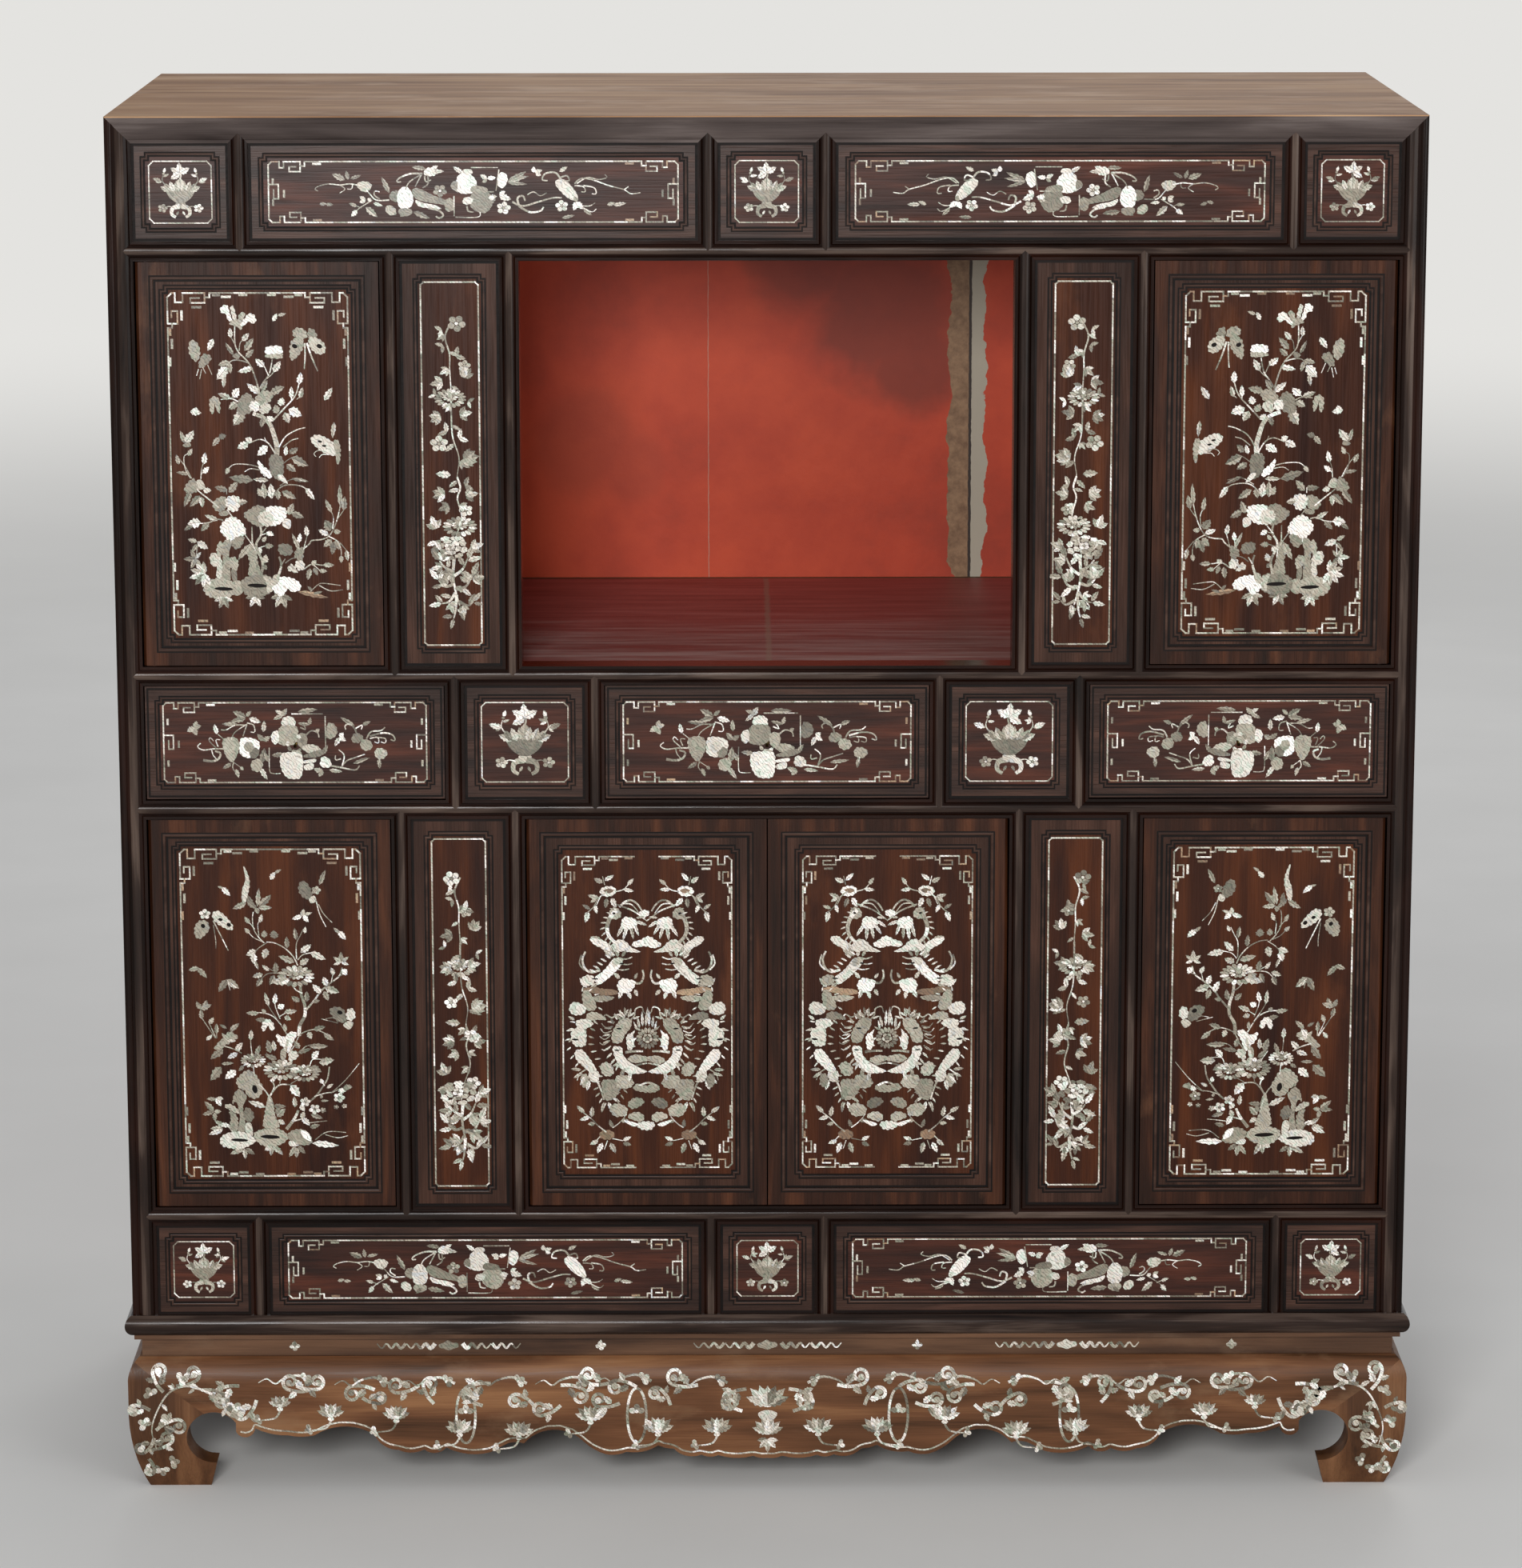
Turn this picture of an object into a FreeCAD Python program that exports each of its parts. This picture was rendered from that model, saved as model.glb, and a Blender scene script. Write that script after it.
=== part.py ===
import FreeCAD, Part
import math
import os

from FreeCAD import Vector

# Inlaid cabinet on a low stand. Millimetres, X to the right, Y to the back, Z up, origin on the floor
# under the middle of the whole. The face of the case looks along -Y.

# Case, overall
case_width = 1200.0
case_depth = 520.0

# Heights of the stand, from the floor up
apron_top = 130.0
waist_height = 18.0
cap_height = 5.0

# Heights of the case, from the base moulding up
base_height = 19.0
plinth_row_height = 87.5
lower_row_height = 373.0
drawer_row_height = 108.0
upper_row_height = 374.5
frieze_row_height = 89.0
rail_height = 18.0

# Widths of the openings of the rows. The middle opening of the upper, drawer and lower rows takes what
# is left, and so do the two long ones of the frieze and the plinth row.
end_square_width = 88.0
middle_square_width = 89.0
upper_door_width = 223.5
upper_narrow_width = 90.5
end_drawer_width = 278.0
drawer_square_width = 111.5
lower_door_width = 227.0
lower_narrow_width = 88.0

# Frame members
member_depth = 34.0
side_fillet_width = 3.8
side_fillet_slope = 1.0
side_fillet_setback = 1.1
edge_bead_width = 13.6
shoulder_width = 6.6
shoulder_setback = 0.9
bead_rise = 2.2
mitre_depth = 10.0
tenon_thickness = 8.0
tenon_setback = 16.0
rail_tenon_length = 14.0
muntin_tenon_length = 6.0
tenon_shoulder = 3.0

# Top
top_member_width = 44.0
top_board_thickness = 12.0
top_board_joint_a = 162.0
top_board_joint_b = 306.0
batten_width = 36.0
batten_height = 16.0

# Fixed panels, their tongues and the field sunk in their faces
panel_setback = 3.6
panel_thickness = 9.0
tongue_length = 4.0
tongue_setback = 3.0
groove_slack = 0.6
field_depth = 0.7
square_border = 12.0
long_border = 13.0
narrow_border = 16.0
drawer_border = 13.0
door_border = 9.0
centre_door_border = 13.0

# Doors
door_gap = 1.2
door_rise_gap = 0.8
door_setback = 3.0
door_thickness = 18.0
door_member_width = 16.0
door_edge_bevel = 2.6
sight_fillet_width = 2.6
sight_fillet_sink = 1.0
door_panel_sink = 2.0
door_panel_thickness = 8.0
pivot_radius = 4.0
pivot_clearance = 0.05
socket_side_count = 8
pivot_length = 8.0
pivot_end_gap = 0.3
pivot_lift = 3.0
pivot_inset = 9.0
pivot_setback = 6.5

# Drawers
drawer_gap = 0.9
drawer_setback = 4.2
drawer_front_thickness = 18.0
drawer_side_thickness = 9.0
drawer_back_thickness = 9.0
drawer_bottom_thickness = 5.0
drawer_back_room = 67.8
drawer_box_height = 88.0
drawer_box_inset = 1.2
drawer_bottom_rise = 4.0
drawer_floor_gap = 0.3
keyhole_radius = 3.2
keyhole_slot_width = 3.0
keyhole_slot_length = 7.0
keyhole_rise = 2.0

# Drawer locks
lock_width = 34.0
lock_height = 30.0
lock_thickness = 8.0
lock_top_drop = 0.4
bolt_width = 12.0
bolt_thickness = 4.0
bolt_length = 20.0
bolt_throw = 8.0
bolt_clearance = 0.3
bolt_mortise_spare = 1.5
lock_plate_thickness = 2.0

# Runners and guides that carry the drawers
runner_width = 24.0
guide_width = 11.0
guide_height = 30.0
guide_gap = 0.5

# Sides, back and boards inside
side_panel_setback = 4.0
side_panel_thickness = 10.0
back_board_thickness = 10.0
back_board_setback = 10.0
back_joint_left = -53.0
back_joint_right = 205.0
floor_thickness = 12.0
floor_housing = 5.0
floor_board_count = 3
partition_thickness = 16.0
bottom_board_thickness = 10.0

# Base moulding of the case
base_overhang = 7.0
base_member_width = 44.0
base_round_depth = 5.5

# Stand
cap_overhang = 1.0
cap_width = 46.0
waist_inset = 7.5
waist_thickness = 22.0
bearer_width = 60.0
bearer_inset = 302.5
apron_top_offset = -5.0
apron_shoulder_offset = 3.2
apron_belly_offset = 5.4
foot_low_offset = -1.2
foot_toe_offset = -12.0
apron_shoulder_height = 119.0
belly_height = 106.0
ankle_height = 74.0
foot_low_height = 29.0
apron_inner_face = 16.0
foot_inner_face = 31.0
scroll_radius = 26.2
scroll_centre_in = 75.0
scroll_centre_height = 51.7
foot_inner_toe = 76.5
foot_inner_base = 70.0
foot_toe_height = 25.6
joint_low_in = 66.0
joint_low_height = 76.3
back_apron_drop = 62.6

# Cutting tools run this far past the faces that they cut
overrun = 1.0

# Lower edge of the front apron, from its middle to the scroll. Each row is the middle and the end of
# one arc: across as a share of half the case's width, up as a share of the apron's height.
front_edge_shares = (
    ((0.0117, 0.243), (0.023, 0.258)),
    ((0.0507, 0.242), (0.0782, 0.265)),
    ((0.0905, 0.251), (0.1045, 0.269)),
    ((0.124, 0.256), (0.1483, 0.314)),
    ((0.162, 0.3215), (0.1728, 0.340)),
    ((0.1935, 0.297), (0.2233, 0.291)),
    ((0.2405, 0.269), (0.2558, 0.2725)),
    ((0.2765, 0.317), (0.291, 0.370)),
    ((0.3395, 0.461), (0.3853, 0.357)),
    ((0.3962, 0.3665), (0.4103, 0.359)),
    ((0.4275, 0.3185), (0.4388, 0.290)),
    ((0.4755, 0.2785), (0.5083, 0.3277)),
    ((0.5245, 0.286), (0.543, 0.313)),
    ((0.5635, 0.288), (0.5838, 0.310)),
    ((0.6035, 0.333), (0.6215, 0.4277)),
    ((0.6715, 0.490), (0.7162, 0.4223)),
    ((0.7382, 0.411), (0.7575, 0.4223)),
    ((0.7865, 0.437), (0.810, 0.477)),
    ((0.827, 0.4085), (0.840, 0.450)),
)
# Lower edge of a side apron in the same way, across as a share of half the case's depth
side_edge_shares = (
    ((0.085, 0.325), (0.160, 0.355)),
    ((0.260, 0.445), (0.362, 0.435)),
    ((0.430, 0.400), (0.500, 0.440)),
    ((0.565, 0.4085), (0.6308, 0.450)),
)

# Where the round hollow of a scroll ends, as shares of its radius: across and up at the apron's lip,
# across and down at the toe
scroll_lip_shares = (0.8, 0.6)
scroll_toe_shares = (0.2, 0.98)

# Worked out from the sizes above
rail_bead_width = rail_height - 2 * side_fillet_width
edge_width = side_fillet_width + edge_bead_width + shoulder_width
half_width = case_width / 2
front = -case_depth / 2
back = case_depth / 2
inside_half = half_width - edge_width
point_reach = rail_height / 2

waist_z = apron_top
cap_z = waist_z + waist_height
base_z = cap_z + cap_height
plinth_z = base_z + base_height
plinth_rail_z = plinth_z + plinth_row_height
lower_z = plinth_rail_z + rail_height
drawer_bottom_rail_z = lower_z + lower_row_height
drawer_z = drawer_bottom_rail_z + rail_height
drawer_top_rail_z = drawer_z + drawer_row_height
upper_z = drawer_top_rail_z + rail_height
upper_rail_z = upper_z + upper_row_height
frieze_z = upper_rail_z + rail_height
top_z = frieze_z + frieze_row_height
total_height = top_z + edge_width

frieze_inner_muntin = (middle_square_width + rail_height) / 2
frieze_outer_muntin = inside_half - end_square_width - rail_height / 2
upper_outer_muntin = inside_half - upper_door_width - rail_height / 2
upper_inner_muntin = upper_outer_muntin - rail_height - upper_narrow_width
drawer_outer_muntin = inside_half - end_drawer_width - rail_height / 2
drawer_inner_muntin = drawer_outer_muntin - rail_height - drawer_square_width
lower_outer_muntin = inside_half - lower_door_width - rail_height / 2
lower_inner_muntin = lower_outer_muntin - rail_height - lower_narrow_width

back_board_face = case_depth - back_board_setback - back_board_thickness
drawer_box_start = drawer_setback + drawer_front_thickness
drawer_box_end = back_board_face - drawer_back_room

# A row: where it starts, how high it is, and the middles of its four uprights
frieze_row = (frieze_z, frieze_row_height, frieze_inner_muntin, frieze_outer_muntin)
upper_row = (upper_z, upper_row_height, upper_inner_muntin, upper_outer_muntin)
drawer_row = (drawer_z, drawer_row_height, drawer_inner_muntin, drawer_outer_muntin)
lower_row = (lower_z, lower_row_height, lower_inner_muntin, lower_outer_muntin)
plinth_row = (plinth_z, plinth_row_height, frieze_inner_muntin, frieze_outer_muntin)


def box(x_low, x_high, setback_low, setback_high, z_low, z_high):
    """Block between two heights, two places across and two depths behind the plane of the face."""
    corner = Vector(x_low, front + setback_low, z_low)
    return Part.makeBox(x_high - x_low, setback_high - setback_low, z_high - z_low, corner)


def closed_face(edges):
    """Flat face inside a closed run of edges."""
    return Part.Face(Part.Wire(edges))


def polygon_face(points):
    """Flat face inside a closed polygon."""
    return Part.Face(Part.makePolygon(list(points) + [points[0]]))


def line(a, b):
    return Part.LineSegment(a, b).toShape()


def arc(a, b, c):
    return Part.Arc(a, b, c).toShape()


def joined(shapes):
    """One solid from several that touch or overlap."""
    result = shapes[0].fuse(shapes[1:]).removeSplitter()
    return result


def group(shapes):
    """Separate solids that share one file."""
    return Part.makeCompound([solid for shape in shapes for solid in shape.Solids])


def mirrored_x(shape):
    return shape.mirror(Vector(0, 0, 0), Vector(1, 0, 0))


def mirrored_y(shape):
    return shape.mirror(Vector(0, 0, 0), Vector(0, 1, 0))


def save(name, shape):
    shape.exportStep("parts/" + name + ".step")


# Mouldings

def moulded_face(place, runs, depth):
    """Section of a member: its moulded face from edge to edge, then a square back.

    place(across, setback) gives the point in space. Each run of the face goes on from the last one: its
    width, the setback where it ends and, for a round, the setback of its crown.
    """
    points = [place(0, runs[0][1])]
    edges = []
    across = 0
    for width, end_setback, crown in runs:
        end = place(across + width, end_setback)
        if crown is None:
            edges.append(line(points[-1], end))
        else:
            edges.append(arc(points[-1], place(across + width / 2, crown), end))
        points.append(end)
        across += width
    back_corners = [points[-1], place(across, depth), place(0, depth), points[0]]
    edges += [line(a, b) for a, b in zip(back_corners, back_corners[1:])]
    return closed_face(edges)


def fillet_runs():
    """A flat fillet at the edge of an opening, sloping down to the foot of the round beside it."""
    return [(side_fillet_width - side_fillet_slope, side_fillet_setback, None),
            (side_fillet_slope, bead_rise, None)]


def bar_runs():
    """Fillet, round and fillet: rails and uprights between openings."""
    fillet = fillet_runs()
    slope_back = (side_fillet_slope, side_fillet_setback, None)
    crown_back = (side_fillet_width - side_fillet_slope, side_fillet_setback, None)
    return fillet + [(rail_bead_width, bead_rise, 0), slope_back, crown_back]


def edge_runs():
    """Fillet, broad round and shoulder: posts and the top rail, from the opening outwards."""
    return fillet_runs() + [(edge_bead_width, bead_rise, 0), (shoulder_width, bead_rise, shoulder_setback)]


def plane_prism(points, setback_low, setback_high):
    """Prism on a polygon given as (x, z) in the plane of the face."""
    face = polygon_face([Vector(x, front + setback_low, z) for x, z in points])
    return face.extrude(Vector(0, setback_high - setback_low, 0))


def front_zone(points):
    """The pointed front of a member, as deep as its mitre."""
    return plane_prism(points, -overrun, mitre_depth)


def left_rail_end(z_low):
    """What a rail sends into the left post: the mitred point of its face and, behind it, a tenon."""
    point = front_zone([(-inside_half, z_low), (-inside_half - point_reach, z_low + rail_height / 2),
                        (-inside_half, z_low + rail_height)])
    tenon = box(-inside_half - rail_tenon_length, -inside_half, tenon_setback,
                tenon_setback + tenon_thickness, z_low + tenon_shoulder, z_low + rail_height - tenon_shoulder)
    return [point, tenon]


def muntin_end(x_middle, z_end, upward):
    """What an upright sends into the rail above it or below it: the mitred point of its face and a tenon.

    The lowest uprights stand square on the base moulding, so there they have only the tenon.
    """
    half = rail_height / 2
    half_tenon = half - tenon_shoulder
    tip = z_end + point_reach if upward else z_end - point_reach
    reach = z_end + muntin_tenon_length if upward else z_end - muntin_tenon_length
    tenon = box(x_middle - half_tenon, x_middle + half_tenon, tenon_setback,
                tenon_setback + tenon_thickness, min(z_end, reach), max(z_end, reach))
    if z_end == plinth_z:
        return [tenon]
    return [front_zone([(x_middle - half, z_end), (x_middle, tip), (x_middle + half, z_end)]), tenon]


def muntin_middles(row):
    inner, outer = row[2], row[3]
    return [-outer, -inner, inner, outer]


def row_muntins(row):
    """The four uprights of a row, each pointed into the rails above and below it."""
    z_low = row[0]
    z_high = z_low + row[1]
    solids = []
    for middle in muntin_middles(row):
        low_x = middle - rail_height / 2

        def place(across, setback, low_x=low_x):
            return Vector(low_x + across, front + setback, z_low - rail_height)

        prism = moulded_face(place, bar_runs(), member_depth)
        prism = prism.extrude(Vector(0, 0, row[1] + 2 * rail_height))
        keep = [box(low_x, low_x + rail_height, -overrun, member_depth, z_low, z_high)]
        keep += muntin_end(middle, z_low, False) + muntin_end(middle, z_high, True)
        solids.append(prism.common(joined(keep)))
    return solids


bay_names = ("left_end", "left_inner", "middle", "right_inner", "right_end")


def row_bays(row):
    """Left and right limits of the five openings of a row, by name."""
    half = rail_height / 2
    lows = [-inside_half] + [middle + half for middle in muntin_middles(row)]
    highs = [middle - half for middle in muntin_middles(row)] + [inside_half]
    return dict(zip(bay_names, zip(lows, highs)))


def panel_tongue(x_low, x_high, z_low, z_high, slack):
    """The tongue round a fixed panel, flush with its back, or the groove for it when it has slack."""
    reach = tongue_length + slack
    return box(x_low - reach, x_high + reach, panel_setback + tongue_setback,
               panel_setback + panel_thickness, z_low - reach, z_high + reach)


def sunk_field(x_low, x_high, z_low, z_high, border, face_setback):
    """The volume cut away to sink the field of a panel inside its border."""
    return box(x_low + border, x_high - border, face_setback - overrun, face_setback + field_depth,
               z_low + border, z_high - border)


def fixed_panel(bay, z_low, z_high, border):
    x_low, x_high = bay
    board = box(x_low, x_high, panel_setback, panel_setback + panel_thickness, z_low, z_high)
    panel = joined([board, panel_tongue(x_low, x_high, z_low, z_high, 0)])
    return panel.cut(sunk_field(x_low, x_high, z_low, z_high, border, panel_setback))


# The panels of the frieze and of the plinth row, as the names of their bays and their borders
long_row_panels = {"left_end": square_border, "left_inner": long_border, "middle": square_border,
                   "right_inner": long_border, "right_end": square_border}

# Each row's fixed panels in the same way
fixed_bays = {
    "frieze": (frieze_row, long_row_panels),
    "upper_narrow": (upper_row, {"left_inner": narrow_border, "right_inner": narrow_border}),
    "drawer_row": (drawer_row, {"left_inner": drawer_border, "right_inner": drawer_border}),
    "lower_narrow": (lower_row, {"left_inner": narrow_border, "right_inner": narrow_border}),
    "plinth": (plinth_row, long_row_panels),
}


def all_panel_grooves():
    grooves = []
    for row, bays in fixed_bays.values():
        limits = row_bays(row)
        for bay in bays:
            x_low, x_high = limits[bay]
            grooves.append(panel_tongue(x_low, x_high, row[0], row[0] + row[1], groove_slack))
    return grooves


# Doors and the sockets that their pivots turn in

def door_width(row, bay, left_gap, right_gap):
    """Left and right edges of a door that fills a bay, with a gap at each edge."""
    x_low, x_high = row_bays(row)[bay]
    return x_low + left_gap, x_high - right_gap


def centre_door_width(hung):
    """Left and right edges of one of the two doors that share the middle bay."""
    x_low, x_high = door_width(lower_row, "middle", door_gap, door_gap)
    return (x_low, -door_gap / 2) if hung == "left" else (door_gap / 2, x_high)


# Every door: its row, its left and right edges, the side it is hung on and the border of its field
door_table = {
    "upper_left": (upper_row, door_width(upper_row, "left_end", door_gap, door_gap), "left", door_border),
    "upper_right": (upper_row, door_width(upper_row, "right_end", door_gap, door_gap), "right", door_border),
    "lower_left": (lower_row, door_width(lower_row, "left_end", door_gap, door_gap), "left", door_border),
    "lower_right": (lower_row, door_width(lower_row, "right_end", door_gap, door_gap), "right", door_border),
    "centre_left": (lower_row, centre_door_width("left"), "left", centre_door_border),
    "centre_right": (lower_row, centre_door_width("right"), "right", centre_door_border),
}


def pivot_axis(name):
    """Place across of a door's pivots; they lie the same distance behind the face on every door."""
    row, (x_low, x_high), hung, border = door_table[name]
    return x_low + pivot_inset if hung == "left" else x_high - pivot_inset


def pivot_base(name, z):
    return Vector(pivot_axis(name), front + door_setback + pivot_setback, z)


def pivot(name, z_low, z_high):
    return Part.makeCylinder(pivot_radius, z_high - z_low, pivot_base(name, z_low), Vector(0, 0, 1))


def pivot_socket(name, z_low, z_high):
    """Chiselled socket whose flat sides stand a clearance away from the round pivot all round."""
    turn = 2 * math.pi / socket_side_count
    corner_reach = (pivot_radius + pivot_clearance) / math.cos(turn / 2)
    base = pivot_base(name, z_low)
    corners = []
    for i in range(socket_side_count):
        angle = (i + 1 / 2) * turn
        corners.append(base + Vector(math.cos(angle), math.sin(angle), 0) * corner_reach)
    return polygon_face(corners).extrude(Vector(0, 0, z_high - z_low))


def pivot_sockets():
    """Sockets in the rails over and under every door; the upper one is deeper, to lift the door out."""
    sockets = []
    for name, (row, width, hung, border) in door_table.items():
        z_low = row[0]
        z_high = row[0] + row[1]
        depth = pivot_length + pivot_end_gap - door_rise_gap
        sockets.append(pivot_socket(name, z_low - depth, z_low + overrun))
        sockets.append(pivot_socket(name, z_high - overrun, z_high + depth + pivot_lift))
    return sockets


def door_section(place):
    """Door frame section, from its outer edge to the sunk fillet at the panel."""
    fillet_start = door_member_width - sight_fillet_width
    groove_front = door_panel_sink + tongue_setback
    groove_back = door_panel_sink + door_panel_thickness
    groove_floor = door_member_width - tongue_length - groove_slack
    return polygon_face([
        place(0, 0),
        place(fillet_start, 0),
        place(fillet_start, sight_fillet_sink),
        place(door_member_width, sight_fillet_sink),
        place(door_member_width, groove_front),
        place(groove_floor, groove_front),
        place(groove_floor, groove_back),
        place(door_member_width, groove_back),
        place(door_member_width, door_thickness),
        place(0, door_thickness),
    ])


def hung_corner(limits, hung):
    """What the bevel takes off the front corner that a door hangs by, to clear the post as it turns."""
    x_low, x_high, z_low, z_high = limits
    edge, inner = (x_low, x_low + door_edge_bevel) if hung == "left" else (x_high, x_high - door_edge_bevel)
    face_y = front + door_setback
    face = polygon_face([Vector(edge, face_y, z_low), Vector(inner, face_y, z_low),
                         Vector(edge, face_y + door_edge_bevel, z_low)])
    return face.extrude(Vector(0, 0, z_high - z_low))


def door_member(limits, edge):
    """One mitred member of a door frame; edge is left, right, bottom or top."""
    x_low, x_high, z_low, z_high = limits
    face_y = front + door_setback
    w = door_member_width
    corners = {"left_low": (x_low, z_low), "right_low": (x_high, z_low),
               "left_high": (x_low, z_high), "right_high": (x_high, z_high)}
    inner = {"left_low": (x_low + w, z_low + w), "right_low": (x_high - w, z_low + w),
             "left_high": (x_low + w, z_high - w), "right_high": (x_high - w, z_high - w)}
    ends = {"left": ("left_low", "left_high"), "right": ("right_low", "right_high"),
            "bottom": ("left_low", "right_low"), "top": ("left_high", "right_high")}

    def place(across, setback):
        if edge == "left":
            return Vector(x_low + across, face_y + setback, z_low)
        if edge == "right":
            return Vector(x_high - across, face_y + setback, z_low)
        if edge == "bottom":
            return Vector(x_low, face_y + setback, z_low + across)
        return Vector(x_low, face_y + setback, z_high - across)

    along = Vector(0, 0, z_high - z_low) if edge in ("left", "right") else Vector(x_high - x_low, 0, 0)
    first, second = ends[edge]
    outline = [corners[first], inner[first], inner[second], corners[second]]
    keep = plane_prism(outline, door_setback - overrun, door_setback + door_thickness + overrun)
    return door_section(place).extrude(along).common(keep)


def door_box(name):
    row, (x_low, x_high), hung, border = door_table[name]
    return x_low, x_high, row[0] + door_rise_gap, row[0] + row[1] - door_rise_gap


def door_frame(name):
    """Four mitred members; a round pivot stands on the hung end of the bottom one and of the top one."""
    limits = door_box(name)
    z_low, z_high = limits[2], limits[3]
    hung = door_table[name][2]
    rounding = hung_corner(limits, hung)
    members = {edge: door_member(limits, edge) for edge in ("left", "right", "bottom", "top")}
    for edge in (hung, "bottom", "top"):
        members[edge] = members[edge].cut(rounding)
    members["bottom"] = members["bottom"].fuse(pivot(name, z_low - pivot_length, z_low))
    members["top"] = members["top"].fuse(pivot(name, z_high, z_high + pivot_length))
    return group(members.values())


def door_panel(name):
    """Board in the groove of a door frame, with its field sunk in the face."""
    x_low, x_high, z_low, z_high = door_box(name)
    border = door_table[name][3]
    w = door_member_width
    sight = (x_low + w, x_high - w, z_low + w, z_high - w)
    face = door_setback + door_panel_sink
    back_face = face + door_panel_thickness
    board = box(sight[0], sight[1], face, back_face, sight[2], sight[3])
    tongue = box(sight[0] - tongue_length, sight[1] + tongue_length, face + tongue_setback, back_face,
                 sight[2] - tongue_length, sight[3] + tongue_length)
    panel = joined([board, tongue])
    return panel.cut(sunk_field(*sight, border, face))


# Drawers

drawer_bays = {
    "left": row_bays(drawer_row)["left_end"],
    "centre": row_bays(drawer_row)["middle"],
    "right": row_bays(drawer_row)["right_end"],
}


def drawer_limits(name):
    x_low, x_high = drawer_bays[name]
    return x_low + drawer_gap, x_high - drawer_gap


def keyhole(name):
    """Round hole with a slot under it, through the drawer's front."""
    x_low, x_high = drawer_limits(name)
    middle = (x_low + x_high) / 2
    centre = drawer_z + drawer_row_height / 2 + keyhole_rise
    start = drawer_setback - overrun
    length = drawer_front_thickness + 2 * overrun
    hole = Part.makeCylinder(keyhole_radius, length, Vector(middle, front + start, centre), Vector(0, 1, 0))
    half_slot = keyhole_slot_width / 2
    slot = box(middle - half_slot, middle + half_slot, start, start + length,
               centre - keyhole_slot_length, centre)
    return joined([hole, slot])


def drawer_front(name):
    x_low, x_high = drawer_limits(name)
    z_low = drawer_z + drawer_gap
    z_high = drawer_z + drawer_row_height - drawer_gap
    board = box(x_low, x_high, drawer_setback, drawer_setback + drawer_front_thickness, z_low, z_high)
    field = sunk_field(x_low, x_high, z_low, z_high, drawer_border, drawer_setback)
    return board.cut([field, keyhole(name)])


def drawer_box(name):
    """Two sides, a back and a bottom, behind the drawer's front."""
    x_low, x_high = drawer_limits(name)
    x_low += drawer_box_inset
    x_high -= drawer_box_inset
    start = drawer_box_start
    end = drawer_box_end
    z_low = drawer_z + drawer_floor_gap
    z_high = z_low + drawer_box_height
    t = drawer_side_thickness
    bottom_z = z_low + drawer_bottom_rise
    left_side = box(x_low, x_low + t, start, end, z_low, z_high)
    right_side = box(x_high - t, x_high, start, end, z_low, z_high)
    back_piece = box(x_low + t, x_high - t, end - drawer_back_thickness, end, z_low, z_high)
    bottom = box(x_low + t, x_high - t, start, end - drawer_back_thickness, bottom_z,
                 bottom_z + drawer_bottom_thickness)
    return group([left_side, right_side, back_piece, bottom])


def lock_top(name):
    return drawer_z + drawer_row_height - drawer_gap - lock_top_drop


def bolt_limits(name):
    x_low, x_high = drawer_limits(name)
    middle = (x_low + x_high) / 2
    start = drawer_box_start + (lock_thickness - bolt_thickness) / 2
    return middle - bolt_width / 2, middle + bolt_width / 2, start, start + bolt_thickness


def drawer_bolt(name):
    """Bolt of a drawer lock, drawn down; it rises into the rail when the key turns."""
    x_low, x_high, start, end = bolt_limits(name)
    top = lock_top(name)
    return box(x_low, x_high, start, end, top - bolt_length, top)


def bolt_channel(name, z_low, z_high):
    x_low, x_high, start, end = bolt_limits(name)
    c = bolt_clearance
    return box(x_low - c, x_high + c, start - c, end + c, z_low, z_high)


def drawer_lock(name):
    """Case of the lock on the back of the drawer's front, with the plate behind the keyhole."""
    x_low, x_high = drawer_limits(name)
    middle = (x_low + x_high) / 2
    start = drawer_box_start
    top = lock_top(name)
    low = top - lock_height
    case = box(middle - lock_width / 2, middle + lock_width / 2, start, start + lock_thickness, low, top)
    channel = bolt_channel(name, top - bolt_length - bolt_clearance, top + overrun)
    plate_low = drawer_z + drawer_row_height / 2 + keyhole_rise - keyhole_slot_length
    plate = box(middle - bolt_width, middle + bolt_width, start, start + lock_plate_thickness, plate_low, low)
    return joined([case.cut(channel), plate])


def bolt_mortises():
    rail_bottom = drawer_z + drawer_row_height
    reach = rail_bottom + bolt_throw + bolt_mortise_spare
    return [bolt_channel(name, rail_bottom - overrun, reach) for name in drawer_bays]


# Members of the front, back and sides

def front_rail(z_low, incoming):
    """A rail across the front, pointed and tenoned into both posts, cut by all that enters it."""
    def place(across, setback):
        return Vector(-half_width, front + setback, z_low + across)

    prism = moulded_face(place, bar_runs(), member_depth).extrude(Vector(case_width, 0, 0))
    keep = [box(-inside_half, inside_half, -overrun, member_depth, z_low, z_low + rail_height)]
    for piece in left_rail_end(z_low):
        keep += [piece, mirrored_x(piece)]
    return prism.common(joined(keep)).cut(incoming)


def muntin_ends(row, upward):
    z_end = row[0] + row[1] if upward else row[0]
    ends = []
    for middle in muntin_middles(row):
        ends += muntin_end(middle, z_end, upward)
    return ends


def floor_rebate(z_high):
    """Room for the edges of a floor in the rails in front of it and behind it."""
    low = member_depth - floor_housing
    high = case_depth - member_depth + floor_housing
    return box(-inside_half, inside_half, low, high, z_high - floor_thickness, z_high)


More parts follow.
